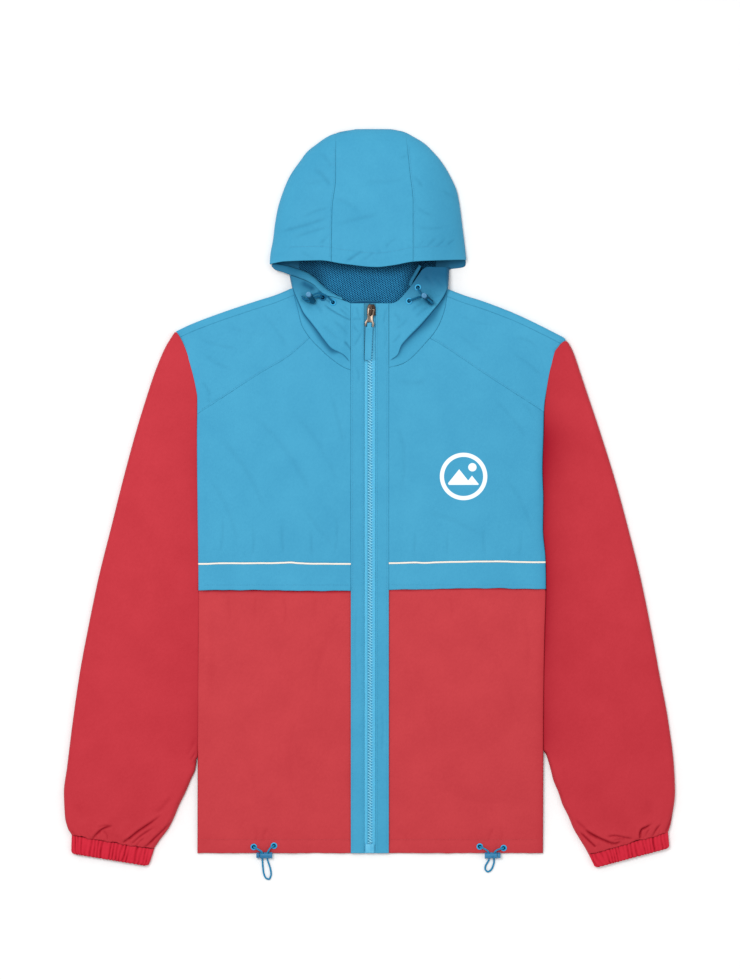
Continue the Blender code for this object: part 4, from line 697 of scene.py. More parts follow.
# ---------------------------------------------------------------- shader maths
def srgb(red: float, green: float, blue: float) -> tuple[float, float, float]:
    """Return a linear colour for one counted from 0 to 255 on a screen."""
    return tuple(
        c / 12.92 if c <= 0.04045 else ((c + 0.055) / 1.055) ** 2.4
        for c in (red / 255, green / 255, blue / 255))


class Wire:
    """An output socket whose arithmetic adds Math or Vector Math nodes."""

    def __init__(self, sheet: "Shading", socket: bpy.types.NodeSocket) -> None:
        """Keep the socket and the shading that it belongs to."""
        self.sheet, self.socket = sheet, socket

    def _math(self, operation: str, one: Wire | float, two: Wire | float) -> "Wire":
        """Return one operation on numbers or, for a vector, on each of its parts."""
        wires = [w for w in (one, two) if isinstance(w, Wire)]
        if any(w.socket.type == "VECTOR" for w in wires):
            return self.sheet.vector(operation, one, two)
        return self.sheet.add("ShaderNodeMath", {"operation": operation}, {0: one, 1: two})

    def __add__(self, other: Wire | float) -> "Wire":
        """Add."""
        return self._math("ADD", self, other)

    def __radd__(self, other: Wire | float) -> "Wire":
        """Add, from the right."""
        return self._math("ADD", other, self)

    def __sub__(self, other: Wire | float) -> "Wire":
        """Subtract."""
        return self._math("SUBTRACT", self, other)

    def __rsub__(self, other: Wire | float) -> "Wire":
        """Subtract from a number."""
        return self._math("SUBTRACT", other, self)

    def __mul__(self, other: Wire | float) -> "Wire":
        """Multiply."""
        return self._math("MULTIPLY", self, other)

    def __rmul__(self, other: Wire | float) -> "Wire":
        """Multiply, from the right."""
        return self._math("MULTIPLY", other, self)

    def __truediv__(self, other: Wire | float) -> "Wire":
        """Divide."""
        return self._math("DIVIDE", self, other)

    def __pow__(self, other: Wire | float) -> "Wire":
        """Raise to a power."""
        return self._math("POWER", self, other)

    def _alone(self, operation: str) -> "Wire":
        """Return one operation on this value alone."""
        return self.sheet.add("ShaderNodeMath", {"operation": operation}, {0: self})

    def sine(self) -> "Wire":
        """Return the sine."""
        return self._alone("SINE")

    def absolute(self) -> "Wire":
        """Return the value without its sign."""
        return self._alone("ABSOLUTE")

    def floor(self) -> "Wire":
        """Return the whole part."""
        return self._alone("FLOOR")

    def part(self) -> "Wire":
        """Return the part after the point."""
        return self._alone("FRACT")

    def most(self, other: Wire | float) -> "Wire":
        """Return the larger of two values."""
        return self._math("MAXIMUM", self, other)

    def ramp(self, low: float, high: float, out_low: float = 0.0, out_high: float = 1.0) -> "Wire":
        """Return the value mapped smoothly from one range to another, and kept in it."""
        return self.sheet.add("ShaderNodeMapRange", {"interpolation_type": "SMOOTHSTEP"},
                              {"Value": self, "From Min": low, "From Max": high,
                               "To Min": out_low, "To Max": out_high})


class Shading:
    """One material and the nodes in it."""

    def __init__(self, name: str) -> None:
        """Make the material with its shader."""
        self.material = bpy.data.materials.new(name)
        self.material.use_nodes = True
        self.tree = self.material.node_tree
        self.shader = self.tree.nodes["Principled BSDF"]

    def add(self, kind: str, settings: dict | None = None, inputs: dict | None = None,
            output: int | str = 0) -> Wire:
        """Add any node.

        Args:
            kind: The node's type.
            settings: Its settings.
            inputs: Values or wires for its sockets, by name or number.
            output: The output that is wanted.

        Returns:
            The wire that leaves it.
        """
        node = self.tree.nodes.new(kind)
        for key, value in (settings or {}).items():
            setattr(node, key, value)
        for key, value in (inputs or {}).items():
            self.feed(node.inputs[key], value)
        return Wire(self, node.outputs[output])

    def feed(self, socket: bpy.types.NodeSocket, value: Wire | float | Sequence[float]) -> None:
        """Give a socket a wire or a constant."""
        if isinstance(value, Wire):
            self.tree.links.new(value.socket, socket)
        elif socket.type == "RGBA" and len(value) == 3:
            socket.default_value = (*value, 1)
        else:
            socket.default_value = value

    def vector(self, operation: str, one: Wire | float, two: Wire | float) -> Wire:
        """Return an operation on vectors; a bare number or wire of numbers is used thrice."""
        values = [(v,) * 3 if isinstance(v, (int, float)) else v for v in (one, two)]
        return self.add("ShaderNodeVectorMath", {"operation": operation}, dict(enumerate(values)))

    def blend(self, share: Wire | float, low: Wire | Sequence[float],
              high: Wire | Sequence[float]) -> Wire:
        """Return a mix of two colours by a share."""
        return self.add("ShaderNodeMix", {"data_type": "RGBA"}, {0: share, 6: low, 7: high}, 2)

    def place(self) -> Wire:
        """Return the place on the object, in metres."""
        return self.add("ShaderNodeTexCoord", output="Object")

    def uv(self) -> Wire:
        """Return the place on the cloth, in metres."""
        return self.add("ShaderNodeUVMap", {"uv_map": "cloth"})

    def turned(self, degrees: float) -> Wire:
        """Return the place on the object, turned in plan."""
        return self.add("ShaderNodeVectorRotate", {}, {
            "Vector": self.place(), "Axis": (0.0, 0.0, 1.0), "Angle": math.radians(degrees)})

    def parts(self, wire: Wire) -> tuple[Wire, Wire, Wire]:
        """Return the three numbers of a vector."""
        node = self.tree.nodes.new("ShaderNodeSeparateXYZ")
        self.tree.links.new(wire.socket, node.inputs[0])
        return tuple(Wire(self, node.outputs[k]) for k in range(3))

    def attribute(self, name: str) -> Wire:
        """Return a number that the mesh carries."""
        return self.add("ShaderNodeAttribute", {"attribute_name": name}, output="Fac")

    def noise(self, vector: Wire, scale: float, detail: float = 2.0,
              roughness: float = 0.5) -> Wire:
        """Return noise between 0 and 1."""
        return self.add("ShaderNodeTexNoise", {}, {"Vector": vector, "Scale": scale,
                                                   "Detail": detail, "Roughness": roughness})

    def bumped(self, height: Wire, distance: float, strength: float,
               normal: Wire | None = None) -> Wire:
        """Return the normal that a height gives the surface."""
        inputs = {"Height": height, "Distance": distance, "Strength": strength}
        if normal is not None:
            inputs["Normal"] = normal
        return self.add("ShaderNodeBump", {}, inputs)

    def done(self, **sockets: Wire | float | Sequence[float]) -> bpy.types.Material:
        """Give the shader its sockets, named with _ for a space, and return the material."""
        for key, value in sockets.items():
            self.feed(self.shader.inputs[key.replace("_", " ")], value)
        return self.material


# ---------------------------------------------------------------- finishes
@dataclass(frozen=True)
class Badge:
    """A plain printed emblem: a ring with two peaks and a sun."""

    middle: tuple[float, float] = (117.0, 27.5)
    radius: float = 27.0
    ring: float = 2.6
    gap: float = 3.2
    slope: float = 1.25
    tall: tuple[float, float] = (-5.5, 9.0)
    short: tuple[float, float] = (10.5, 1.0)
    slit: tuple[float, float, float] = (3.2, 0.78, 0.62)
    ground: float = 10.5
    sun: tuple[float, float, float] = (11.0, 11.5, 5.2)
    soft: float = 0.25
    ink: tuple[float, float, float] = srgb(238, 247, 250)

    def inside(self, value: Wire) -> Wire:
        """Return 1 where a distance past an edge is below 0."""
        return value.ramp(-self.soft, self.soft, 1.0, 0.0)

    def peak(self, x: Wire, y: Wire, at: tuple[float, float]) -> Wire:
        """Return 1 inside a peak whose top is at a place."""
        return self.inside(((x - at[0]).absolute() * self.slope + y) - at[1])

    def mask(self, sheet: Shading) -> Wire:
        """Return 1 where the ink is."""
        x, y, _ = sheet.parts(sheet.place())
        x, y = x * 1000 - self.middle[0], y * 1000 - self.middle[1]
        away = (x * x + y * y) ** 0.5
        ring = self.inside((away - self.radius).absolute() - self.ring)
        disc = self.inside(away - (self.radius - self.ring - self.gap))
        at, run, rise = self.slit
        slit = 1 - self.inside(((x - at) * run + y * rise).absolute())
        ground = self.inside((y * -1) - self.ground)
        sun_x, sun_y = x - self.sun[0], y - self.sun[1]
        sun = self.inside((sun_x * sun_x + sun_y * sun_y) ** 0.5 - self.sun[2])
        peaks = self.peak(x, y, self.tall).most(self.peak(x, y, self.short)) * disc * ground
        return peaks.most(ring).most(sun) * slit.most(ring)


@dataclass(frozen=True)
class Nylon:
    """Crisp plain-woven nylon with a dull crinkled face, and painted shade mixed in by the mesh's
    seam number.
    """

    name: str
    colour: tuple[float, float, float]
    deep: tuple[float, float, float]
    # Colour that painted shade mixes the face towards.
    shade: tuple[float, float, float]
    roughness: float = 0.55
    sheen: float = 0.01
    crinkle: float = 0.5
    badge: Badge | None = None
    thread: float = 0.42

    def material(self) -> bpy.types.Material:
        """Return the finish as a material."""
        sheet = Shading(self.name)
        cloth = sheet.uv()
        u, v, _ = sheet.parts(cloth)
        per_metre = math.pi * 1000 / self.thread
        warp, weft = (u * per_metre).sine(), (v * per_metre).sine()
        weave = warp * weft * 0.5 + 0.5
        slub = sheet.noise(cloth * (1.0, 0.14, 1.0), 1500, 2.0)
        slub_across = sheet.noise(cloth * (0.14, 1.0, 1.0), 1500, 2.0)
        cloud = sheet.noise(sheet.place(), 26, 3.0, 0.55)
        fleck = sheet.noise(sheet.place(), 320, 3.0, 0.6)
        # The seam number holds painted shade: seam lines, creases, hollows and cast shadows.
        seam = sheet.attribute("seam")
        tone = (cloud - 0.5) * 0.55 + (fleck - 0.5) * 0.35 + 0.5 + (slub - 0.5) * 0.26
        face = sheet.blend(tone.ramp(0.15, 0.85), self.deep, self.colour)
        face = sheet.blend(seam, face, self.shade)
        rough = tone * 0.12 + (self.roughness - 0.06)
        if self.badge is not None:
            ink = self.badge.mask(sheet)
            face = sheet.blend(ink, face, self.badge.ink)
            rough = rough - ink * 0.12
        height = weave * 0.35 + (slub + slub_across) * 0.45
        fine = sheet.bumped(height, 0.00006, 0.7)
        crinkle = sheet.noise(sheet.place(), 170, 4.0, 0.64)
        streak = sheet.noise(cloth * (1.0, 0.17, 1.0), 330, 3.0, 0.55)
        slant = sheet.noise(sheet.turned(38) * (1.0, 0.22, 1.0), 250, 2.0, 0.5)
        form = crinkle * 0.6 + streak * 0.28 + slant * 0.24
        normal = sheet.bumped(form, 0.0014 * self.crinkle, 0.8, fine)
        return sheet.done(Base_Color=face, Roughness=rough, Normal=normal,
                          Sheen_Weight=self.sheen, Sheen_Roughness=0.45,
                          Specular_IOR_Level=0.08)


@dataclass(frozen=True)
class Mesh:
    """Knitted lining with rows of small holes on the slant, and painted shade from the mesh's seam
    number.
    """

    name: str
    ground: tuple[float, float, float] = srgb(4, 82, 140)
    light: tuple[float, float, float] = srgb(72, 192, 244)
    dark: tuple[float, float, float] = srgb(0, 16, 56)
    pitch: float = 2.3

    def material(self) -> bpy.types.Material:
        """Return the finish as a material."""
        sheet = Shading(self.name)
        u, v, _ = sheet.parts(sheet.uv())
        a = (u * 0.80 - v * 0.60) * (1000 / self.pitch)
        b = (v * 0.95 + u * 0.71) * (1000 / self.pitch)
        row = b.floor()
        across = (a + row * 0.5).part() - 0.5
        up = b.part() - 0.5
        away = (across * across + up * up) ** 0.5
        hole = away.ramp(0.26, 0.4, 1.0, 0.0)
        knot = away.ramp(0.36, 0.6)
        cloud = sheet.noise(sheet.place(), 40, 2.0)
        face = sheet.blend(knot, self.ground, self.light)
        face = sheet.blend(hole, face, self.dark)
        face = sheet.blend(cloud.ramp(0.3, 0.8) * 0.15, face, self.dark)
        # Painted shade: darker towards the lining's sides and under the brim.
        face = sheet.blend(sheet.attribute("seam"), face, srgb(0, 22, 44))
        normal = sheet.bumped(knot - hole, 0.0004, 0.8)
        return sheet.done(Base_Color=face, Roughness=0.7 - knot * 0.1, Normal=normal,
                          Sheen_Weight=0.01, Specular_IOR_Level=0.08)


@dataclass(frozen=True)
class Ribbed:
    """Woven tape or piping: fine ribs on the slant across a narrow strip, with painted shade from
    the mesh's seam number.
    """

    name: str
    colour: tuple[float, float, float]
    deep: tuple[float, float, float]
    pitch: float = 0.9
    slant: float = 0.7
    roughness: float = 0.6

    def material(self) -> bpy.types.Material:
        """Return the finish as a material."""
        sheet = Shading(self.name)
        u, v, _ = sheet.parts(sheet.uv())
        rib = ((v + (u.absolute() * self.slant)) * (2000 * math.pi / self.pitch)).sine()
        rib = rib * 0.5 + 0.5
        fleck = sheet.noise(sheet.place(), 600, 2.0)
        seam = sheet.attribute("seam")
        face = sheet.blend(rib * 0.6 + fleck * 0.4, self.deep, self.colour)
        # Painted shade: under the teeth, the facing's edge, the puller and the guard, and in
        # hollows.
        face = sheet.blend(seam * 0.8, face, tuple(c * 0.4 for c in self.deep))
        return sheet.done(Base_Color=face, Roughness=self.roughness - rib * 0.08,
                          Normal=sheet.bumped(rib + fleck * 0.4, 0.00012, 0.7),
                          Sheen_Weight=0.02, Specular_IOR_Level=0.15)


@dataclass(frozen=True)
class Braid:
    """Round braided cord: two sets of strands that cross."""

    name: str
    colour: tuple[float, float, float] = srgb(44, 156, 202)
    deep: tuple[float, float, float] = srgb(2, 74, 118)
    pitch: float = 1.5
    strands: int = 8

    def material(self) -> bpy.types.Material:
        """Return the finish as a material."""
        sheet = Shading(self.name)
        u, v, _ = sheet.parts(sheet.uv())
        turn = u * (self.strands * math.pi)
        run = v * (2000 * math.pi / self.pitch)
        one, two = (run + turn).sine(), (run - turn).sine()
        plait = one.most(two) * 0.5 + 0.5
        fuzz = sheet.noise(sheet.place(), 900, 2.0)
        face = sheet.blend(plait.ramp(0.25, 0.95) * 0.8 + fuzz * 0.2, self.deep, self.colour)
        return sheet.done(Base_Color=face, Roughness=0.6 - plait * 0.1,
                          Normal=sheet.bumped(plait, 0.0002, 0.9), Sheen_Weight=0.02,
                          Specular_IOR_Level=0.15)


@dataclass(frozen=True)
class Moulded:
    """Moulded plastic, enamel or metal with a slightly uneven face."""

    name: str
    colour: tuple[float, float, float]
    deep: tuple[float, float, float]
    roughness: float = 0.4
    metallic: float = 0.0
    grain: float = 700.0
    brushed: bool = False
    specular: float = 0.35

    def material(self) -> bpy.types.Material:
        """Return the finish as a material."""
        sheet = Shading(self.name)
        place = sheet.place()
        if self.brushed:
            place = place * (1.0, 0.08, 1.0)
        grain = sheet.noise(place, self.grain, 3.0, 0.6)
        cloud = sheet.noise(sheet.place(), 120, 2.0)
        face = sheet.blend((grain * 0.5 + cloud * 0.5).ramp(0.3, 0.75), self.deep, self.colour)
        rough = grain * 0.16 + (self.roughness - 0.08)
        return sheet.done(Base_Color=face, Roughness=rough, Metallic=self.metallic,
                          Specular_IOR_Level=self.specular,
                          Normal=sheet.bumped(grain, 0.00005, 0.6))


@dataclass(frozen=True)
class Thread:
    """Sewing thread with the twist of its ply."""

    name: str
    colour: tuple[float, float, float]
    pitch: float = 0.5

    def material(self) -> bpy.types.Material:
        """Return the finish as a material."""
        sheet = Shading(self.name)
        x, y, _ = sheet.parts(sheet.place())
        ply = ((x + y) * (2000 * math.pi / self.pitch)).sine() * 0.5 + 0.5
        face = sheet.blend(ply, tuple(c * 0.7 for c in self.colour), self.colour)
        return sheet.done(Base_Color=face, Roughness=0.5 + ply * 0.1,
                          Normal=sheet.bumped(ply, 0.00005, 0.6), Sheen_Weight=0.2)


SKY = srgb(71, 161, 197)
SKY_DEEP = srgb(61, 149, 187)
SKY_SHADE = srgb(0, 70, 108)
CHERRY = srgb(197, 64, 70)
CHERRY_DEEP = srgb(185, 55, 62)
CHERRY_SHADE = srgb(150, 8, 32)


class Finish(Enum):
    """Finishes of the pieces; each holds the record's slot and the material's recipe."""

    BLUE = ("blue_cloth", Nylon("blue_nylon", SKY, SKY_DEEP, SKY_SHADE))
    BADGED = ("blue_cloth", Nylon("blue_nylon_printed", SKY, SKY_DEEP, SKY_SHADE, badge=Badge()))
    PULLER = ("blue_cloth", Nylon("puller_webbing", srgb(76, 164, 200), srgb(64, 152, 190),
                                  SKY_SHADE, 0.5, 0.01, 0.3))
    RED = ("red_cloth", Nylon("red_nylon", CHERRY, CHERRY_DEEP, CHERRY_SHADE))
    SLEEVE = ("red_cloth", Nylon("red_nylon_sleeve", srgb(196, 56, 66), srgb(184, 47, 57),
                                 CHERRY_SHADE))
    CUFF = ("cuff_cloth", Nylon("cuff_rib", srgb(210, 42, 62), srgb(196, 33, 53), srgb(150, 6, 28),
                                crinkle=0.8))
    MESH = ("mesh_lining", Mesh("hood_mesh"))
    PIPING = ("piping", Ribbed("piping_twill", srgb(252, 246, 236), srgb(238, 228, 212), 0.8, 0.5))
    TAPE = ("zip_tape", Ribbed("tape_weave", srgb(98, 194, 228), srgb(74, 172, 212), 0.9, 1.0))
    TEETH = ("zip_teeth", Moulded("teeth_resin", srgb(138, 218, 244), srgb(108, 198, 234), 0.34))
    BOX = ("zip_tape", Moulded("box_resin", srgb(104, 192, 226), srgb(74, 170, 210), 0.45))
    METAL = ("zip_metal", Moulded("brushed_metal", srgb(172, 156, 140), srgb(120, 104, 90), 0.36,
                                  1.0, brushed=True))
    METAL_DARK = ("zip_metal", Moulded("slider_metal", srgb(92, 78, 68), srgb(50, 42, 38), 0.4,
                                       1.0, brushed=True))
    CORD = ("cord", Braid("cord_braid"))
    # Painted shade: a darker copy of the cord for the hood's cords, which lie in shadow.
    CORD_SHADED = ("cord", Braid("cord_braid_deep", srgb(10, 112, 156), srgb(0, 56, 92)))
    LOCK = ("lock_plastic", Moulded("lock_resin", srgb(58, 140, 182), srgb(34, 110, 156), 0.4))
    # Painted shade: a darker copy of the lock plastic for the hood's locks, which lie in shadow.
    LOCK_SHADED = ("lock_plastic", Moulded("lock_resin_deep", srgb(14, 88, 122),
                                           srgb(2, 52, 80), 0.5, specular=0.15))
    # Painted highlight: a lighter copy of the lock plastic for the hood locks' upturned buttons.
    BUTTON = ("lock_plastic", Moulded("button_resin", srgb(98, 156, 194), srgb(78, 138, 180),
                                      0.4))
    EYELET = ("eyelet", Moulded("eyelet_enamel", srgb(48, 176, 222), srgb(24, 146, 198), 0.4))
    # Painted shade: a near-black disc inside each eyelet stands for the shadowed hole.
    HOLE = ("eyelet", Moulded("eyelet_dark", srgb(6, 20, 44), srgb(1, 8, 22), 0.9,
                              specular=0.03))
    # Painted shade: a darker copy of the eyelet for the one that lies in the band's shadow.
    EYELET_SHADED = ("eyelet", Moulded("eyelet_enamel_deep", srgb(22, 110, 152),
                                       srgb(8, 84, 126), 0.5, specular=0.1))
    THREAD_BLUE = ("blue_cloth", Thread("thread_blue", srgb(50, 146, 188)))
    THREAD_RED = ("red_cloth", Thread("thread_red", srgb(184, 44, 56)))

    def material(self) -> bpy.types.Material:
        """Return the finish's material, made once."""
        recipe = self.value[1]
        return bpy.data.materials.get(recipe.name) or recipe.material()

    @property
    def slot(self) -> str:
        """Return the record's slot that the finish belongs to."""
        return self.value[0]


# ---------------------------------------------------------------- workshop
BODY, PULL = "jacket", "zip_pull"
NARROWEST = 10.1  # the least width in mm counted for a sheet's size
EYELETS = ("hood_left_lower", "hood_left_upper", "hood_right_upper", "hood_right_lower",
           "hem_left_outer", "hem_left_inner", "hem_right_inner", "hem_right_outer")
CRUMPLES = [Crumple(seed) for seed in (11, 23, 37, 41, 53, 67, 79, 83)]


def deselect() -> None:
    """Leave nothing selected."""
    bpy.ops.object.select_all(action="DESELECT")


def select(obj: bpy.types.Object) -> None:
    """Select one object alone and make it active."""
    deselect()
    bpy.context.view_layer.objects.active = obj
    obj.select_set(True)


def placed(name: str, data: bpy.types.ID) -> bpy.types.Object:
    """Return a new object with its data, linked into the scene."""
    obj = bpy.data.objects.new(name, data)
    bpy.context.scene.collection.objects.link(obj)
    return obj


def apply_all(obj: bpy.types.Object) -> None:
    """Apply every modifier of an object."""
    select(obj)
    for modifier in list(obj.modifiers):
        bpy.ops.object.modifier_apply(modifier=modifier.name)
    obj.select_set(False)


def thicken(obj: bpy.types.Object, thickness: float) -> None:
    """Give a face of cloth its thickness in mm, behind it."""
    wall = obj.modifiers.new("wall", "SOLIDIFY")
    wall.thickness, wall.offset = thickness * MM, -1.0
    apply_all(obj)


@contextmanager
def editing(mesh: bpy.types.Mesh) -> Iterator[bmesh.types.BMesh]:
    """Open a mesh for editing and write it back."""
    bm = bmesh.new()
    bm.from_mesh(mesh)
    yield bm
    bm.to_mesh(mesh)
    bm.free()


def settle(obj: bpy.types.Object, matrix: Matrix | None = None) -> bpy.types.Object:
    """Move an object's place into its mesh, and turn its faces outwards.

    Args:
        obj: A closed hard piece.
        matrix: A further move, in metres.

    Returns:
        The piece.
    """
    obj.data.transform((matrix or Matrix.Identity(4)) @ obj.matrix_basis)
    obj.matrix_basis = Matrix.Identity(4)
    with editing(obj.data) as bm:
        bmesh.ops.remove_doubles(bm, verts=bm.verts, dist=1e-6)
        bmesh.ops.recalc_face_normals(bm, faces=bm.faces)
    return obj


def dress(obj: bpy.types.Object, finish: Finish, *nodes: str, body: str = BODY) -> bpy.types.Object:
    """Give a piece its finish, its body and the nodes that it stands for.

    Args:
        obj: The piece.
        finish: Its finish.
        nodes: CAD nodes that it replaces.
        body: The body that it moves with.

    Returns:
        The piece.
    """
    obj.data.materials.clear()
    obj.data.materials.append(finish.material())
    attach(obj, body)
    if nodes:
        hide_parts(*nodes)
    LOG.info("%s: %s, %d faces", obj.name, finish.slot, len(obj.data.polygons))
    return obj


def new_mesh(name: str, verts: np.ndarray, faces: np.ndarray, uvs: np.ndarray | None = None,
             seam: np.ndarray | None = None) -> bpy.types.Object:
    """Make an object from points and faces, without the points that no face uses.

    Args:
        name: Its name.
        verts: Points, in mm.
        faces: Four corners for each face.
        uvs: Place on the cloth for each point, in mm.
        seam: Painted shade at each point, 0 to 1, for seams, creases and cast shadows.

    Returns:
        The object.
    """
    a, b, c, d = (verts[faces[:, k]] for k in range(4))
    faces = faces[np.linalg.norm(np.cross(c - a, d - b), axis=1) > 1e-4]
    used, faces = np.unique(faces, return_inverse=True)
    faces = faces.reshape(-1, 4)
    verts = verts[used]
    uvs = None if uvs is None else uvs[used]
    seam = None if seam is None else seam.ravel()[used]
    mesh = bpy.data.meshes.new(name)
    mesh.from_pydata((verts * MM).tolist(), [], faces.tolist())
    if uvs is not None:
        layer = mesh.uv_layers.new(name="cloth")
        layer.data.foreach_set("uv", (uvs[faces.ravel()] * MM).ravel())
    # The seam number carries the painted shade to the finishes.
    if seam is not None:
        shade = mesh.attributes.new("seam", "FLOAT", "POINT")
        shade.data.foreach_set("value", seam.ravel())
    mesh.shade_smooth()
    return placed(name, mesh)


def grid_faces(rows: int, cols: int, around: bool = False) -> np.ndarray:
    """Return the quads of a grid of points, closed from the last column to the first if asked."""
    i, j = np.meshgrid(np.arange(rows - 1), np.arange(cols if around else cols - 1), indexing="ij")
    k = (j + 1) % cols
    return np.stack([i * cols + j, i * cols + k, (i + 1) * cols + k, (i + 1) * cols + j],
                    axis=-1).reshape(-1, 4)


def run_along(grid: np.ndarray, axis: int) -> np.ndarray:
    """Return the length run along each line of a grid of points."""
    steps = np.linalg.norm(np.diff(grid, axis=axis), axis=2)
    zero = np.zeros_like(np.take(steps, [0], axis=axis))
    return np.concatenate([zero, np.cumsum(steps, axis=axis)], axis=axis)


def area_of(grid: np.ndarray) -> float:
    """Return the area of a grid of points in mm2."""
    a, b, c, d = grid[:-1, :-1], grid[:-1, 1:], grid[1:, 1:], grid[1:, :-1]
    return float(np.linalg.norm(np.cross(c - a, d - b), axis=2).sum() / 2)


def piece_name(node: str) -> str:
    """Return the name of the piece that dresses a cloth node."""
    return node + ("_mesh" if node == "hood_lining" else "_cloth")


def cloth_piece(node: str, grid: np.ndarray, finish: Finish, rests_on: str = "floor",
                seam: np.ndarray | None = None, up: bool = True,
                thickness: float = CUT.cloth) -> None:
    """Make a thin cloth shell whose outer face is a grid of points.

    Args:
        node: CAD node that it stands for.
        grid: Rows and columns of points, in mm.
        finish: Its finish.
        rests_on: The floor or the cloth node that it lies on.
        seam: Painted shade at each point, 0 to 1, for seams, creases and cast shadows.
        up: Whether the outer face looks up.
        thickness: Thickness of the cloth.
    """
    name = piece_name(node)
    u, v = run_along(grid, 1), run_along(grid, 0)
    u = u - u[:, [grid.shape[1] // 2]]
    faces = grid_faces(*grid.shape[:2])
    verts = grid.reshape(-1, 3)
    corners = verts[faces]
    facing = np.cross(corners[:, 2] - corners[:, 0], corners[:, 3] - corners[:, 1])[:, 2].sum()
    if (facing > 0) != up:
        faces = faces[:, ::-1]
    seam = np.zeros(grid.shape[:2]) if seam is None else seam
    # Painted shade in hollows is added to every piece whose outer face looks up.
    seam = np.clip(seam + 0.3 * cavities(grid[..., 2]), 0, 1) if up else seam
    obj = new_mesh(name, verts, faces, np.stack([u, v], axis=-1).reshape(-1, 2), seam)
    thicken(obj, thickness)
    for vertex in obj.data.vertices:
        vertex.co.z = max(vertex.co.z, 0.0)
    dress(obj, finish, node)
    wide = max(float(u.max() - u.min()), NARROWEST)
    long = max(float(v.max()), NARROWEST)
    min(area_of(grid), wide * long) * 1e-6


def seam_dip(distance: Numbers, depth: float = 0.9, width: float = 1.1) -> np.ndarray:
    """Return how far cloth sinks towards a seam that is this far away."""
    return -0.5 * depth * np.exp(-np.maximum(np.asarray(distance), 0) / (0.75 * width))


def in_seam(*distances: Numbers, width: float = 0.7, depth: float = 0.3) -> np.ndarray:
    """Return painted shade for places close to the nearest of several seams.

    Args:
        distances: Distances from each seam, in mm.
        width: Width of the shade, in mm.
        depth: Painted shade in the seam itself, 0 to 1.

    Returns:
        Painted shades from 0 to depth.
    """
    nearest = np.minimum.reduce([np.abs(np.asarray(d)) + 0 * np.asarray(distances[0])
                                 for d in distances])
    return depth * np.exp(-((nearest / width) ** 2))


def cavities(height: np.ndarray, reach: int = 3) -> np.ndarray:
    """Return painted shade for places that lie below what is around them.

    Args:
        height: Heights of a grid, in mm.
        reach: How many places on each side count as around.

    Returns:
        Painted shades from 0 to 1.
    """
    around = height
    for axis in (0, 1):
        if around.shape[axis] < 4 * reach:
            return np.zeros(height.shape)
        pad = [(reach, reach) if k == axis else (0, 0) for k in (0, 1)]
        run = np.cumsum(np.insert(np.pad(around, pad, mode="edge"), 0, 0, axis=axis), axis=axis)
        ends = [np.take(run, range(k, run.shape[axis] - 2 * reach - 1 + k), axis=axis)
                for k in (0, 2 * reach + 1)]
        around = (ends[1] - ends[0]) / (2 * reach + 1)
    inner = np.zeros(height.shape)
    inner[2 * reach:-2 * reach, 2 * reach:-2 * reach] = 1
    return np.clip((around - height - 0.04) / 1.3, 0, 1) * inner


def pucker(distance: Numbers, along_it: Numbers, seed: int, height: float = 0.35,
           reach: float = 7.0, pitch: float = 5.0) -> np.ndarray:
    """Return the small ripples that a seam draws into the cloth beside it.

    Args:
        distance: Distance from the seam, in mm.
        along_it: Place along the seam, in mm.
        seed: Which of the noises is used.
        height: Height of the ripples, in mm.
        reach: How far they reach from the seam, in mm.
        pitch: Distance between them, in mm.

    Returns:
        Heights to add.
    """
    ripple = CRUMPLES[seed % 8](np.asarray(along_it) + 13.7 * seed, np.asarray(distance) * 0.35,
                                pitch, 9.0)
    return 1.5 * height * ripple * np.exp(-np.maximum(np.asarray(distance), 0) / reach)


def life(x: Numbers, y: Numbers, seed: int, amount: float = 1.0, turn: float = 0.0) -> np.ndarray:
    """Return the slight unevenness of nylon that lies loose: broad swells and fine creases.

    Args:
        x: Places across, in mm.
        y: Places along, in mm.
        seed: Which of the noises are used.
        amount: Strength.
        turn: Turn of the streaks from the Y axis, in degrees.

    Returns:
        Heights to add.
    """
    broad = CRUMPLES[seed % 8](x, y, 46, 110, turn)
    middle = CRUMPLES[(seed + 1) % 8](x, y, 17, 46, turn + 14)
    fine = CRUMPLES[(seed + 2) % 8](x, y, 7, 17, turn - 20)
    crease = CRUMPLES[(seed + 3) % 8](x, y, 30, 60, turn + 38)
    ridge = np.maximum(0.0, 1 - np.abs(crease) / 0.09) ** 1.6
    patch = smooth(CRUMPLES[(seed + 4) % 8](x, y, 60, 60) * 1.6 + 0.35)
    return amount * (0.9 * broad + 0.3 * middle + 0.09 * fine + 0.16 * ridge * patch)


class Surface:
    """The finished face of a piece, to set other things on."""

    def __init__(self, *objects: bpy.types.Object) -> None:
        """Gather the faces of some pieces."""
        verts: list[Vector] = []
        faces: list[tuple[int, ...]] = []
        for obj in objects:
            start = len(verts)
            verts += [v.co.copy() for v in obj.data.vertices]
            faces += [tuple(start + i for i in p.vertices) for p in obj.data.polygons]
        self.tree = BVHTree.FromPolygons(verts, faces)

    def drop(self, x: float, y: float, high: float = 60.0) -> tuple[np.ndarray, np.ndarray]:
        """Return the point in mm and the normal of the face that is met from above."""
        found, normal, _, _ = self.tree.ray_cast(Vector((x, y, high)) * MM, Vector((0, 0, -1)))
        if found is None:
            found, normal, _, _ = self.tree.find_nearest(Vector((x, y, 5.0)) * MM)
        if normal.z < 0:
            normal = -normal
        return np.array(found) / MM, np.array(normal)


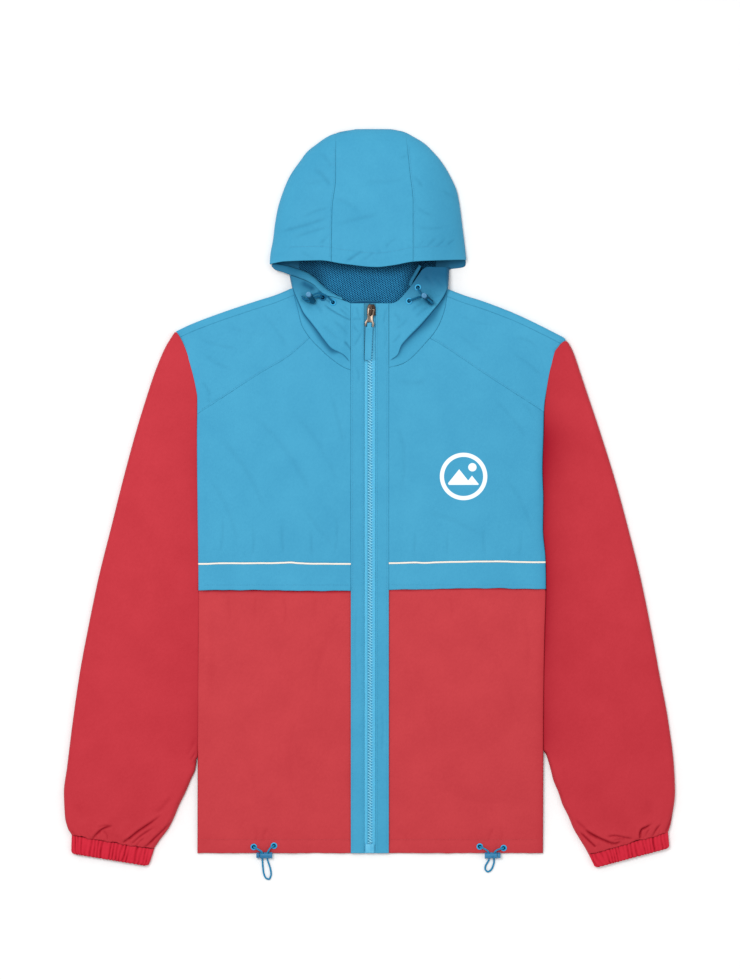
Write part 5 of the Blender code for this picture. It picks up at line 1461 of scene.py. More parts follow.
# ---------------------------------------------------------------- body
@dataclass
class Front:
    """One half of the front: chest panel, yoke, storm flap, piping and lower front."""

    half: Half
    seed: int
    step: float = 2.1
    inside: float = 19.0

    def name(self, what: str) -> str:
        """Return the CAD node's name for this half."""
        return f"{what}_{self.half.side.word}"

    def make(self) -> None:
        """Build the five pieces of this half."""
        self.make_chest()
        self.make_yoke()
        self.make_flap()
        self.make_piping()
        self.make_lower()

    def grid(self, out: np.ndarray, y: np.ndarray, z: np.ndarray) -> np.ndarray:
        """Return a grid of points from distances out, places along and heights."""
        return grid_of(self.half.sign * out, y, z)

    def make_chest(self) -> None:
        """Build the blue chest panel, from the piping up to the neck and yoke seams."""
        half, seed = self.half, self.seed
        low = CUT.piping_y + CUT.piping_width / 2 + CUT.hair
        high = half.yoke_seam[-1][1] - CUT.hair
        t = spread(high - low, self.step)[:, None]
        level = mix(low, high, t)
        edge = half.edge(level) - CUT.hair
        first = CUT.facing_out + CUT.hair
        inner = mix(first, CUT.neck_peak, spread(51, self.step, ends=(True, False)))[None, :]
        outer = mix(CUT.neck_peak, edge, spread(141, self.step, ends=(False, True))[None, 1:])
        out = np.concatenate([np.broadcast_to(inner, (len(t), inner.shape[1])), outer], axis=1)
        top = half.chest_top(out) - CUT.hair
        y = mix(low, top, t)
        x = half.sign * out
        to_in, to_out = out - first, half.edge(y) - out
        to_low, to_top = y - low, top - y
        z = half.front_face(out, y, CUT.lift)
        calm = smooth(to_out / 9)
        z = z + life(x, y, seed, 0.8, 16 * half.sign) * calm
        # The creases give height and painted shade.
        rise, ink = creased(CHEST_FOLDS[half.side], x, y)
        z = z + rise * calm
        z = z + pucker(to_in, y, seed + 1, 0.22, 5, 6) + pucker(to_low, x, seed + 2, 0.55, 16, 8)
        z = z + pucker(to_top, x, seed + 3, 0.3, 5, 5)
        z = z + seam_dip(to_in, 0.4) + seam_dip(to_low, 0.5) + seam_dip(to_top, 0.25)
        z = z + seam_dip(to_out, 0.3) * smooth((y - 60) / 60)
        # Painted shade: seam lines, creases, and the body's shade beside the sleeve.
        seam = np.maximum(in_seam(to_in, to_low, width=0.5, depth=0.1), ink)
        seam = seam + half.beside_arm(out, y)
        y = half.swayed(out, y)
        finish = Finish.BADGED if half.side is Side.RIGHT else Finish.BLUE
        cloth_piece(self.name("chest"), self.grid(out, y, np.maximum(z, CUT.least)),
                    finish, "back_yoke", seam)

    def make_yoke(self) -> None:
        """Build the blue front yoke, between its slanting seam and the shoulder."""
        half, seed = self.half, self.seed
        peak_y = float(half.chest_top(CUT.neck_peak + 1e-6))
        end_out, end_y = half.lap_end()
        low, lap_y = half.yoke_seam[-1][1], half.neck_lap_y()
        s = spread(150, self.step)
        t = spread(100, self.step)
        bottom_out = mix(CUT.neck_peak, half.edge(low) - CUT.hair, s)
        bottom = np.stack([bottom_out, column(half.yoke_seam, bottom_out) + CUT.hair], axis=-1)
        neck_y = mix(peak_y, lap_y, t)
        neck = np.stack([half.neck_out(neck_y) + CUT.hair, neck_y], axis=-1)
        neck[0] = bottom[0]
        top_out = mix(neck[-1][0], end_out, s)
        top = np.stack([top_out, column(half.shoulder, top_out) - CUT.shoulder_lap], axis=-1)
        arm_y = mix(low, end_y, t)
        arm = np.stack([half.edge(arm_y) - CUT.hair, arm_y], axis=-1)
        arm[0], top[0], top[-1] = bottom[-1], neck[-1], arm[-1]
        u, v = s[None, :, None], t[:, None, None]
        plan = (mix(bottom[None], top[None], v) + mix(neck[:, None], arm[:, None], u)
                - mix(mix(bottom[0], bottom[-1], u), mix(top[0], top[-1], u), v))
        out, y = plan[..., 0], plan[..., 1]
        x = half.sign * out
        z = half.yoke_face(out, y)
        to_seam = y - column(half.yoke_seam, out)
        to_neck = np.abs(out - half.neck_out(y))
        to_top = column(half.shoulder, out) - CUT.shoulder_lap - y
        to_arm = half.edge(y) - out
        # The creases give height and painted shade.
        rise, ink = creased(YOKE_FOLDS[half.side], x, y)
        z = z + life(x, y, seed + 2, 0.7, 30 * half.sign) + rise
        z = z + pucker(to_seam, x, seed + 4, 0.3, 6, 6) + pucker(to_top, x, seed + 5, 0.3, 6, 6)
        z = z + seam_dip(to_seam, 0.25) + seam_dip(to_neck, 0.5) + seam_dip(to_top, 0.2)
        z = z + seam_dip(to_arm, 0.4)
        # Painted shade: seam lines and creases.
        seam = np.maximum(in_seam(to_neck, to_arm, width=0.5, depth=0.1), ink)
        cloth_piece(self.name("front_yoke"), self.grid(out, y, z), Finish.BLUE, "back_yoke", seam)

    def make_flap(self) -> None:
        """Build the storm flap, which hangs free over the lower front."""
        half, seed = self.half, self.seed
        top = CUT.piping_y - CUT.piping_width / 2 - CUT.hair
        low = CUT.piping_y - CUT.flap_depth
        y = mix(low, top, spread(top - low, self.step)[:, None])
        s = spread(190, self.step)[None, :]
        out = mix(CUT.facing_out + CUT.hair, half.edge(y) - CUT.hair, s)
        y = np.broadcast_to(y, out.shape)
        z = half.front_face(out, y, CUT.lift)
        x = half.sign * out
        to_low, to_top = y - low, top - y
        wave = CRUMPLES[(seed + 5) % 8](x, y * 0 + 3, 26, 9) * smooth(1 - to_low / 26)
        stand = 1.2 if half.side is Side.LEFT else 0.3
        z = z + (1.3 * wave + stand) * smooth(1 - to_low / 30)
        z = z + life(x, y, seed + 4, 0.35, 80) * smooth((half.edge(y) - out) / 9)
        z = z + pucker(to_top, x, seed + 6, 0.35, 6, 7)
        z = z + pucker(to_low - 2.5, x, seed + 7, 0.2, 3, 5)
        z = z + seam_dip(to_top, 0.7) - 0.55 * (1 - rolled(to_low, 1.6))
        z = z + seam_dip(np.abs(to_low - CUT.flap_stitch), 0.16, 0.8)
        z = z + seam_dip(out - CUT.facing_out, 0.8)
        y = y + 0.8 * CRUMPLES[(seed + 6) % 8](x, y * 0, 17, 9) * smooth(1 - to_low / 12)
        # Painted shade: seam lines, and the body's shade beside the sleeve.
        seam = in_seam(to_top, out - CUT.facing_out, width=0.6, depth=0.14)
        seam = seam + half.beside_arm(out, y)
        y = half.swayed(out, y)
        cloth_piece(self.name("storm_flap"), self.grid(out, y, z), Finish.BLUE,
                    self.name("lower_front"), seam)

    def make_piping(self) -> None:
        """Build the round piping in the seam above the flap."""
        half = self.half
        width = CUT.piping_width
        out_at = mix(CUT.facing_out + CUT.hair, half.edge(CUT.piping_y) + 0.1, spread(192, 2.0))
        middle = CUT.piping_y + 0.28 * CRUMPLES[self.seed % 8](out_at, out_at * 0, 21, 9)
        turn = np.radians(np.linspace(-100, 100, 13))
        out = np.broadcast_to(out_at[:, None], (len(out_at), len(turn)))
        y = middle[:, None] + width / 2 * 1.12 * np.sin(turn)[None, :]
        base = half.front_face(out, CUT.piping_y + out * 0, CUT.lift)
        z = np.maximum(base - 0.45 + np.cos(turn)[None, :], 1.55)
        cloth_piece(self.name("piping"), self.grid(out, half.swayed(out, y), z), Finish.PIPING,
                    self.name("lower_front"), thickness=0.3)

    def make_lower(self) -> None:
        """Build the red lower front, with its hem channel."""
        half, seed = self.half, self.seed
        top = CUT.piping_y - CUT.piping_width / 2 - 0.1
        flap_end = CUT.piping_y - CUT.flap_depth
        t = spread(top - CUT.hem_y, self.step)[:, None]
        y0 = mix(CUT.hem_y, top, t)
        inset = (CUT.lift + 0.3) * smooth((y0 - flap_end + 1) / 3)
        s = spread(195, self.step)[None, :]
        out = mix(self.inside, half.edge(y0) - 0.1 - inset, s)
        y = np.broadcast_to(y0, out.shape)
        x = half.sign * out
        to_hem, to_out = y - CUT.hem_y, half.edge(y) - inset - out
        ripple = 0.6 * np.sin(out / 11 + half.sign) * smooth((40 - to_hem) / 40)
        ripple = ripple * smooth((out - CUT.facing_out - 2) / 12) * rolled(to_out, 2 * CUT.roll)
        z = half.front_face(out, y, 0.0, inset) + ripple
        calm = smooth(to_out / 9) * smooth((out - CUT.facing_out) / 6)
        z = z + life(x, y, seed + 5, 0.85, 10 * half.sign) * calm
        # The creases give height and painted shade.
        rise, ink = creased(LOWER_FOLDS[half.side], x, y)
        z = z + rise * calm
        to_facing = np.maximum(out - CUT.facing_out, 0)
        z = z + pucker(to_facing, y, seed + 2, 0.25, 6, 7) * smooth(out - CUT.facing_out)
        to_channel = np.abs(to_hem - CUT.hem_channel)
        z = z + seam_dip(to_channel, 0.35, 1.2) + pucker(to_channel, x, seed, 0.3, 6, 6)
        z = z + 0.5 * bump_at(to_hem - 8, 6) - 0.9 * (1 - rolled(to_hem, 2.2))
        z = z + seam_dip(to_facing, 0.5)
        edge_wave = CRUMPLES[(seed + 7) % 8](x, y * 0 + 9, 15, 9) * smooth(1 - to_hem / 12)
        y = y + 0.9 * edge_wave
        # Painted shade: the facing's seam, creases and the body's shade beside the sleeve; the
        # cloth also grows darker towards the hem.
        shade = in_seam(out - CUT.facing_out, width=0.8, depth=0.14) + half.beside_arm(out, y)
        shade = shade + 0.05 * smooth((-60 - y) / 240)
        # Painted shadow that the storm flap casts just below its edge, deeper on the left.
        flap_end = flap_end + column(half.sway, out, 2)
        left = half.side is Side.LEFT
        depth = (3.8 if left else 2.4) + 1.6 * CRUMPLES[(seed + 2) % 8](x, y * 0, 19, 9)
        flap_shadow = smooth((y - flap_end + depth) / depth) * smooth((half.edge(y) - out) / 12)
        flap_shadow = flap_shadow * (1.0 if left else 0.85)
        cloth_piece(self.name("lower_front"),
                    self.grid(out, y, np.maximum(z, CUT.least)), Finish.RED, "back_body",
                    np.maximum(np.maximum(shade, flap_shadow), ink))


@dataclass
class Back:
    """The back: a blue yoke that wraps over the shoulders and a red body."""

    step: float = 4.0
    inset: float = 0.3
    wrap: tuple[float, ...] = (22, 45, 68, 90, 112, 135, 158, 180)

    def make(self) -> None:
        """Build both pieces."""
        y = np.linspace(CUT.hem_y, CUT.back_split_y, 64)[:, None]
        s = spread(430, 6.0)[None, :]
        x = mix(self.inset - LEFT.edge(y), RIGHT.edge(y) - self.inset, s)
        y = np.broadcast_to(y, x.shape)
        z = 0.28 * np.maximum(0, life(x, y, 3, 1.0)) * smooth((y - CUT.hem_y) / 12)
        to_seam = CUT.back_split_y - y
        z = z + 0.3 * (1 - smooth(to_seam / 2.0))
        z = z + 0.15 * bump_at(y - CUT.hem_y - CUT.hem_channel, 1.2)
        # Painted shade along the seam to the yoke.
        cloth_piece("back_body", grid_of(x, y, z), Finish.RED, seam=in_seam(to_seam), up=False)
        self.make_yoke()

    def make_yoke(self) -> None:
        """Build the blue yoke, flat underneath and rolled forward over each shoulder."""
        parts = []
        for half in HALVES:
            neck_out = float(half.neck_out(half.neck_lap_y())) + CUT.gap
            inner_outs = np.linspace(0, neck_out, 24)[:-1]
            high = float(column(half.shoulder, neck_out)) - CUT.shoulder_fold + 1.0

            def row_below(depth: float) -> tuple[np.ndarray, np.ndarray]:
                """Return out and y of a row this far below the shoulder."""
                outer = mix(neck_out, half.arm_out(depth), spread(150, self.step))
                along_it = column(half.shoulder, outer) - depth
                return (np.concatenate([inner_outs, outer]),
                        np.concatenate([np.full(inner_outs.shape, high), along_it]))

            outs, laps = row_below(CUT.shoulder_fold)
            end_out = float(outs[-1])
            levels = np.linspace(CUT.back_split_y + self.inset, 170, 40)[:, None]
            out = outs[None, :] * ((half.edge(levels) - self.inset) / end_out)
            rows = [grid_of(out, levels, 0.0)]
            for k in np.linspace(0.2, 1.0, 9):
                tip = float(half.edge(mix(levels[-1, 0], float(laps[-1]), k))) - self.inset
                rows.append(grid_of(outs * min(tip / end_out, 1.0),
                                    mix(levels[-1, 0], laps, k), 0.0)[None])
            turns = [math.radians(a) for a in self.wrap]
            lift = [(CUT.shoulder_fold * (1 - math.sin(a)), CUT.shoulder_fold * (1 - math.cos(a)))
                    for a in turns]
            lift += [(mix(CUT.shoulder_fold, CUT.shoulder_lap - CUT.hair, k),
                      2 * CUT.shoulder_fold - 0.1 * (k >= 1)) for k in (0.25, 0.55, 0.8, 0.93, 1.0)]
            for depth, height in lift:
                outs, y = row_below(depth)
                z = np.full(y.shape, height)
                z[:len(inner_outs)] = 0.0
                rows.append(grid_of(outs, y, z)[None])
            grid = np.concatenate(rows)
            lapped = grid[..., 2] > 0.1
            swell = life(grid[..., 0] * half.sign, grid[..., 1], 6, 0.3, 70)
            grid[..., 2] += np.where(lapped, swell * smooth(grid[..., 2] / 6), 0)
            grid[..., 0] *= half.sign
            parts.append(grid)
        joined = np.concatenate([parts[0][:, ::-1], parts[1][:, 1:]], axis=1)
        high = joined[..., 2] > 6
        last = np.arange(joined.shape[0])[:, None] >= joined.shape[0] - 2
        # Painted shade along the lapped edge over the shoulders.
        cloth_piece("back_yoke", joined, Finish.BLUE, seam=np.where(high & last, 0.12, 0.0),
                    up=False)


# Creases of each panel, as paths in plan.
CHEST_FOLDS: dict[Side, tuple[Fold, ...]] = {
    Side.LEFT: (
        Fold(px((214, 430), (246, 470), (270, 520)), 5.0, -0.4, 0.5, 0.018),
        Fold(px((246, 408), (284, 448), (320, 510)), 5.5, -0.4, 0.5, 0.015),
        Fold(px((286, 404), (316, 440), (344, 494)), 5.0, -0.36, 0.5, 0.015),
        Fold(px((204, 470), (226, 506), (240, 548)), 4.5, -0.36, 0.5, 0.018),
        Fold(px((300, 500), (318, 528), (340, 552)), 4.0, -0.32, 0.5, 0.015),
        Fold(px((222, 505), (223, 530), (221, 556)), 2.6, -0.4, 0.5, 0.03, 0.5, 0.2),
        Fold(px((252, 520), (254, 540), (252, 558)), 2.2, -0.36, 0.5, 0.03, 0.5, 0.2),
        Fold(px((283, 512), (282, 535), (284, 558)), 2.4, -0.4, 0.5, 0.03, 0.5, 0.2),
        Fold(px((312, 524), (311, 542), (313, 558)), 2.2, -0.36, 0.5, 0.03, 0.5, 0.2),
        Fold(px((335, 508), (337, 530), (335, 556)), 2.4, -0.4, 0.5, 0.024, 0.5, 0.2),
        Fold(px((203, 430), (202, 480), (204, 540)), 2.6, 0.48, 0.0, 0.0),
        Fold(px((330, 392), (338, 420), (346, 452)), 3.6, -0.4, 0.5, 0.018)),
    Side.RIGHT: (
        Fold(px((396, 380), (412, 384), (430, 380)), 3.6, -0.4, 0.5, 0.024),
        Fold(px((490, 396), (508, 414), (530, 444)), 4.4, -0.44, 0.5, 0.021),
        Fold(px((504, 386), (522, 402), (538, 424)), 3.6, -0.4, 0.5, 0.021),
        Fold(px((398, 420), (404, 460), (400, 500)), 4.0, -0.36, 0.5, 0.015),
        Fold(px((420, 510), (452, 520), (490, 540)), 5.0, -0.32, 0.5, 0.012),
        Fold(px((500, 470), (520, 500), (536, 545)), 4.6, -0.4, 0.5, 0.018),
        Fold(px((414, 526), (415, 542), (413, 558)), 2.3, -0.36, 0.5, 0.03, 0.5, 0.2),
        Fold(px((446, 530), (447, 544), (446, 558)), 2.2, -0.32, 0.5, 0.024, 0.5, 0.2),
        Fold(px((484, 520), (483, 540), (485, 558)), 2.4, -0.36, 0.5, 0.03, 0.5, 0.2),
        Fold(px((520, 528), (521, 542), (519, 558)), 2.2, -0.32, 0.5, 0.024, 0.5, 0.2),
        Fold(px((541, 440), (540, 480), (541, 520)), 2.4, -0.56, 0.5, 0.048)),
}
YOKE_FOLDS: dict[Side, tuple[Fold, ...]] = {
    Side.LEFT: (
        Fold(px((196, 338), (216, 345), (244, 350)), 3.6, -0.48, 0.5, 0.024),
        Fold(px((200, 352), (222, 366), (236, 372)), 3.4, -0.4, 0.5, 0.021),
        Fold(px((201, 380), (208, 390), (212, 400)), 2.4, -0.56, 0.5, 0.048),
        Fold(px((204, 396), (212, 402), (222, 398)), 2.2, -0.48, 0.5, 0.048),
        Fold(px((262, 312), (276, 330), (290, 352)), 4.0, -0.36, 0.5, 0.015),
        Fold(px((222, 325), (250, 334), (280, 334)), 4.6, -0.32, 0.5, 0.015)),
    Side.RIGHT: (
        Fold(px((456, 312), (474, 322), (500, 326)), 4.4, -0.36, 0.5, 0.015),
        Fold(px((510, 352), (528, 364), (545, 380)), 3.6, -0.48, 0.5, 0.024),
        Fold(px((540, 350), (530, 342), (512, 336)), 3.4, -0.4, 0.5, 0.018),
        Fold(px((456, 330), (470, 344), (488, 354)), 4.0, -0.36, 0.5, 0.015)),
}
LOWER_FOLDS: dict[Side, tuple[Fold, ...]] = {
    Side.LEFT: (
        Fold(px((206, 596), (208, 650), (205, 712)), 4.0, 0.72, 0.0, 0.0),
        Fold(px((228, 597), (230, 612), (228, 630)), 2.4, -0.48, 0.5, 0.036, 0.1, 0.5),
        Fold(px((256, 597), (255, 610), (257, 624)), 2.2, -0.4, 0.5, 0.03, 0.1, 0.5),
        Fold(px((284, 597), (286, 614), (284, 632)), 2.4, -0.48, 0.5, 0.036, 0.1, 0.5),
        Fold(px((316, 597), (315, 611), (317, 626)), 2.2, -0.4, 0.5, 0.03, 0.1, 0.5),
        Fold(px((340, 620), (320, 660), (312, 720)), 6.0, -0.4, 0.5, 0.015),
        Fold(px((216, 720), (250, 770), (262, 820)), 6.5, -0.4, 0.5, 0.015),
        Fold(px((300, 700), (290, 760), (296, 812)), 6.0, -0.4, 0.5, 0.015),
        Fold(px((268, 826), (264, 834), (262, 842)), 2.4, -0.64, 0.5, 0.06, 0.3, 0.1),
        Fold(px((254, 824), (257, 834), (257, 842)), 2.2, -0.48, -0.5, 0.06, 0.3, 0.1)),
    Side.RIGHT: (
        Fold(px((400, 640), (430, 700), (436, 770)), 6.5, -0.4, 0.5, 0.015),
        Fold(px((470, 620), (500, 664), (520, 730)), 6.0, -0.4, 0.5, 0.015),
        Fold(px((520, 600), (528, 640), (526, 690)), 4.0, -0.4, 0.5, 0.018),
        Fold(px((450, 597), (452, 610), (450, 624)), 2.2, -0.36, 0.5, 0.024, 0.1, 0.5),
        Fold(px((494, 826), (490, 834), (487, 842)), 2.4, -0.64, 0.5, 0.06, 0.3, 0.1),
        Fold(px((500, 824), (502, 834), (501, 842)), 2.2, -0.48, -0.5, 0.06, 0.3, 0.1),
        Fold(px((430, 780), (470, 800), (520, 800)), 6.0, -0.36, 0.5, 0.012)),
}


# ---------------------------------------------------------------- sleeves
@dataclass
class Sleeve:
    """One sleeve: its upper and under halves and its gathered cuff."""

    half: Half
    seed: int
    length: float = 640.0
    cuff_height: float = 7.0
    cuff_length: float = 24.0
    gathers: int = 21
    crest: Rows = ((0, 6.5), (0.03, 8.2), (0.08, 9.0), (0.3, 8.4), (0.8, 8.6), (0.93, 9.8),
                   (1, 8.6))

    def inner_out(self, y: Numbers) -> np.ndarray:
        """Return how far out the inner edge is: the armhole, the body, then its own fold."""
        own = reading(self.half.sleeve_inner, 0, 1)(y)
        limit = self.half.sleeve_inner[-1][1]
        return np.where(np.asarray(y) > limit, self.half.edge(y) - 0.55, own + 0.3)

    def ends(self, share: Numbers) -> tuple[np.ndarray, np.ndarray]:
        """Return the outer and inner ends in plan of sections at shares of the length."""
        half = self.half
        outer_y = mix(half.sleeve_top_y, half.sleeve_outer[0][1], share)
        inner_y = mix(half.sleeve_top_y, half.sleeve_inner[0][1], share)
        outer = np.stack([reading(half.sleeve_outer, 0, 1)(outer_y), outer_y], axis=-1)
        inner = np.stack([self.inner_out(inner_y), inner_y], axis=-1)
        return outer, inner

    def make(self) -> None:
        """Build the three pieces of the sleeve."""
        self.make_upper()
        self.make_under()
        self.make_cuff()

    def make_upper(self) -> None:
        """Build the upper half, puffed, with the creases above the cuff."""
        half, seed, word = self.half, self.seed, self.half.side.word
        top, low = half.sleeve_top_y, half.sleeve_inner[0][1]
        first = 1.0 / (top - low)
        share = np.concatenate([mix(first, 0.9, spread(570, 3.1, ends=(True, False)))[:-1],
                                np.linspace(0.9, 1.0, 58)])
        outer, inner = self.ends(share)
        width = np.linalg.norm(outer - inner, axis=1)[:, None]
        to_cuff = (1 - share)[:, None] * self.length
        roll = np.minimum(CUT.roll, 0.3 * width)
        bend = 1 - np.cos(np.radians([0, 12, 24, 36, 48, 60, 75, 90]))
        middle = np.linspace(0, 1, 82)[None, 1:-1]
        place = np.concatenate([roll * bend, mix(roll, width - roll, middle),
                                (width - roll * bend)[:, ::-1]], axis=1)
        plan = mix(outer[:, None], inner[:, None], (place / width)[..., None])
        scallop = 1.2 + 2.4 * CRUMPLES[seed](place, place * 0 + 5, 8, 9)
        down = (outer[-1] + inner[-1] - outer[-2] - inner[-2]) / 2
        down = down / np.linalg.norm(down)
        plan = plan + (scallop * np.exp(-to_cuff / 5))[..., None] * down
        out, y = plan[..., 0], plan[..., 1]
        x = half.sign * out
        seam_y = inner[:, 1][:, None]
        seam = half.front_face(half.edge(seam_y), seam_y, CUT.lift)
        base_in = mix(half.side_base(seam_y), seam, smooth((seam_y - 95) / 50))
        contact = smooth((seam_y + 335) / 40)
        inner_roll = mix(roll, np.minimum(roll, half.side_roll), contact)
        # The creases give height and painted shade.
        rise, ink = creased(half.sleeve_folds, x, y)
        height = column(self.crest, share)[:, None] + rise
        turn = -9 * half.sign
        height = height + life(x, y, seed, 0.8, turn) * smooth(place / 12)
        near = smooth((seam_y - 110) / 60) * smooth(1 - (width - place) / 45)
        height = mix(height, np.maximum(seam, CUT.base + 1), near)
        across = place / width
        drift = 1.7 * CRUMPLES[seed](across * 300, across, 40, 9)
        wave = np.cos(across * math.pi * 2 * self.gathers + drift)
        gather = 0.4 * wave * np.exp(-to_cuff / (9 + 5 * CRUMPLES[2](across * 260, across, 17, 9)))
        height = height + gather * smooth(place / 8) * smooth((width - place) / 8)
        height = height - 0.5 * np.exp(-to_cuff / 1.4)
        z = mix(CUT.base, height, rolled(place, roll))
        z = mix(np.minimum(base_in, z), z, rolled(width - place, inner_roll))
        to_arm = width - place
        at_arm = smooth((seam_y - 60) / 60)
        z = z + pucker(to_arm, y, seed + 1, 0.3, 7, 7) * at_arm + seam_dip(to_arm, 0.4) * at_arm
        # Painted shadow that the body casts on the sleeve beside the armhole, with a faint wide
        # tail, and painted shade in creases and the armhole seam; the sleeve also grows darker
        # towards the cuff.
        reach = column(half.sleeve_shadow, seam_y, 2)
        beside = contact * column(half.sleeve_shadow, seam_y) * np.exp(-to_arm / reach)
        z = z - 0.8 * beside * smooth(to_arm / 2)
        tail = contact * half.shadow_tail * np.exp(-((to_arm / 42) ** 2))
        shade = beside + tail + 0.11 * share[:, None] + 0.01
        shade = np.maximum(shade + in_seam(to_arm, width=0.8, depth=0.1) * at_arm, ink)
        cloth_piece(f"sleeve_top_{word}", grid_of(x, y, np.maximum(z, CUT.least)), Finish.SLEEVE,
                    f"sleeve_under_{word}", shade)

    def make_under(self) -> None:
        """Build the under half, flat on the floor."""
        half, word = self.half, self.half.side.word
        share = mix(0.002, 1.0, np.linspace(0, 1, 100))
        outer, inner = self.ends(share)
        s = spread(120, 5.0)[None, :, None]
        plan = mix(outer[:, None] - (0.3, 0), inner[:, None], s)
        x, y = half.sign * plan[..., 0], plan[..., 1]
        rim = np.minimum(s[..., 0], 1 - s[..., 0]) * 120
        z = 0.3 * np.maximum(0, life(x, y, 5, 1.0)) * smooth(rim / 10)
        z = z + 1.1 * (1 - rolled(rim, 1.5))
        cloth_piece(f"sleeve_under_{word}", grid_of(x, y, z), Finish.SLEEVE, up=False)

    def make_cuff(self) -> None:
        """Build the elastic cuff as a flattened tube with uneven gathers."""
        half, word, seed = self.half, self.half.side.word, self.seed
        top_out, top_in, low_out, low_in = (np.array(p, float) for p in half.cuff)
        rows, count, radius = np.linspace(0, 1, 21), 260, self.cuff_height / 2
        arc = math.pi * radius
        down = low_out - top_out + low_in - top_in
        down = down / np.linalg.norm(down)
        grid, dark = [], []
        for v in rows:
            outer, inner = mix(top_out, low_out, v), mix(top_in, low_in, v)
            width = float(np.linalg.norm(outer - inner))
            flat = width - 2 * radius
            run = np.linspace(0, 1, count, endpoint=False) * 2 * (flat + arc)
            on_top = run < flat
            bend_in = (run >= flat) & (run < flat + arc)
            under = (run >= flat + arc) & (run < 2 * flat + arc)
            parts = [on_top, bend_in, under]
            turn = np.where(bend_in, run - flat, run - 2 * flat - arc) / radius
            place = np.select(parts, [radius + run, width - radius + radius * np.sin(turn),
                                      width - radius - (run - flat - arc)],
                              radius - radius * np.sin(turn))
            height = np.select(parts, [2 * radius + 0 * run, radius + radius * np.cos(turn),
                                       0 * run], radius - radius * np.cos(turn))
            phase = self.gathers * 2 * math.pi * (place / width)
            drift = CRUMPLES[seed](place + 31, place * 0 + v * 12, 17, 30) * 6.5
            drift = drift + 1.8 * CRUMPLES[seed + 2](place, place * 0 + v * 20, 6, 22)
            ridge = np.abs(np.sin((phase + drift) / 2)) ** 0.7
            deep = np.clip(0.75 + 1.9 * CRUMPLES[seed + 1](place, place * 0 + v * 8, 8, 40),
                           0.12, 1.7)
            above = height > radius
            lift = (ridge - 0.8) * 2.0 * deep * np.where(above, 1.0, 0.25)
            # Painted shade in the gathers' troughs on top, and a little on the underside.
            dark.append(np.where(above, 0.75 * (1 - ridge) ** 1.7 * deep, 0.1))
            belly = 0.5 * math.sin(math.pi * v)
            edge = 1 - float(rolled(min(v, 1 - v) * self.cuff_length, 2.4))
            z = np.maximum(height + (lift + belly - 1.4 * edge) * smooth(height / radius), 0.72)
            corner = 4.0 * (1 - math.sqrt(1 - max(0.0, (v - 0.82) / 0.18) ** 2 * 0.999))
            place = mix(corner, width - corner, place / width)
            sway = 0.5 * (ridge - 0.5) * smooth((v - 0.5) * 2) - 0.3 * v * (1 - ridge)
            plan = mix(outer[None], inner[None], (place / width)[:, None])
            plan = plan + down[None] * sway[:, None] * 0.8
            grid.append(grid_of(half.sign * plan[:, 0], plan[:, 1], z))
        grid = np.array(grid)
        closed = np.concatenate([grid, grid[:, :1]], axis=1)
        u, v = run_along(closed, 1)[:, :-1], run_along(grid, 0)
        to_top = rows[:, None] * self.cuff_length
        to_low = self.cuff_length - to_top
        # Painted shade along the cuff's top edge, where the sleeve overlaps it, and along its lower
        # edge.
        shade = 0.15 * np.exp(-to_top / 1.4) + 0.1 * np.exp(-to_low) + np.array(dark)
        obj = new_mesh(piece_name(f"cuff_{word}"), grid.reshape(-1, 3),
                       grid_faces(*grid.shape[:2], around=True),
                       np.stack([u, v], axis=-1).reshape(-1, 2), np.clip(shade, 0, 1))
        middle = Vector(grid.reshape(-1, 3).mean(axis=0)) * MM
        with editing(obj.data) as bm:
            face = max(bm.faces, key=lambda f: f.calc_center_median().z)
            if face.normal.dot(face.calc_center_median() - middle) < 0:
                bmesh.ops.reverse_faces(bm, faces=bm.faces)
        thicken(obj, 0.7)
        dress(obj, Finish.CUFF, f"cuff_{word}")


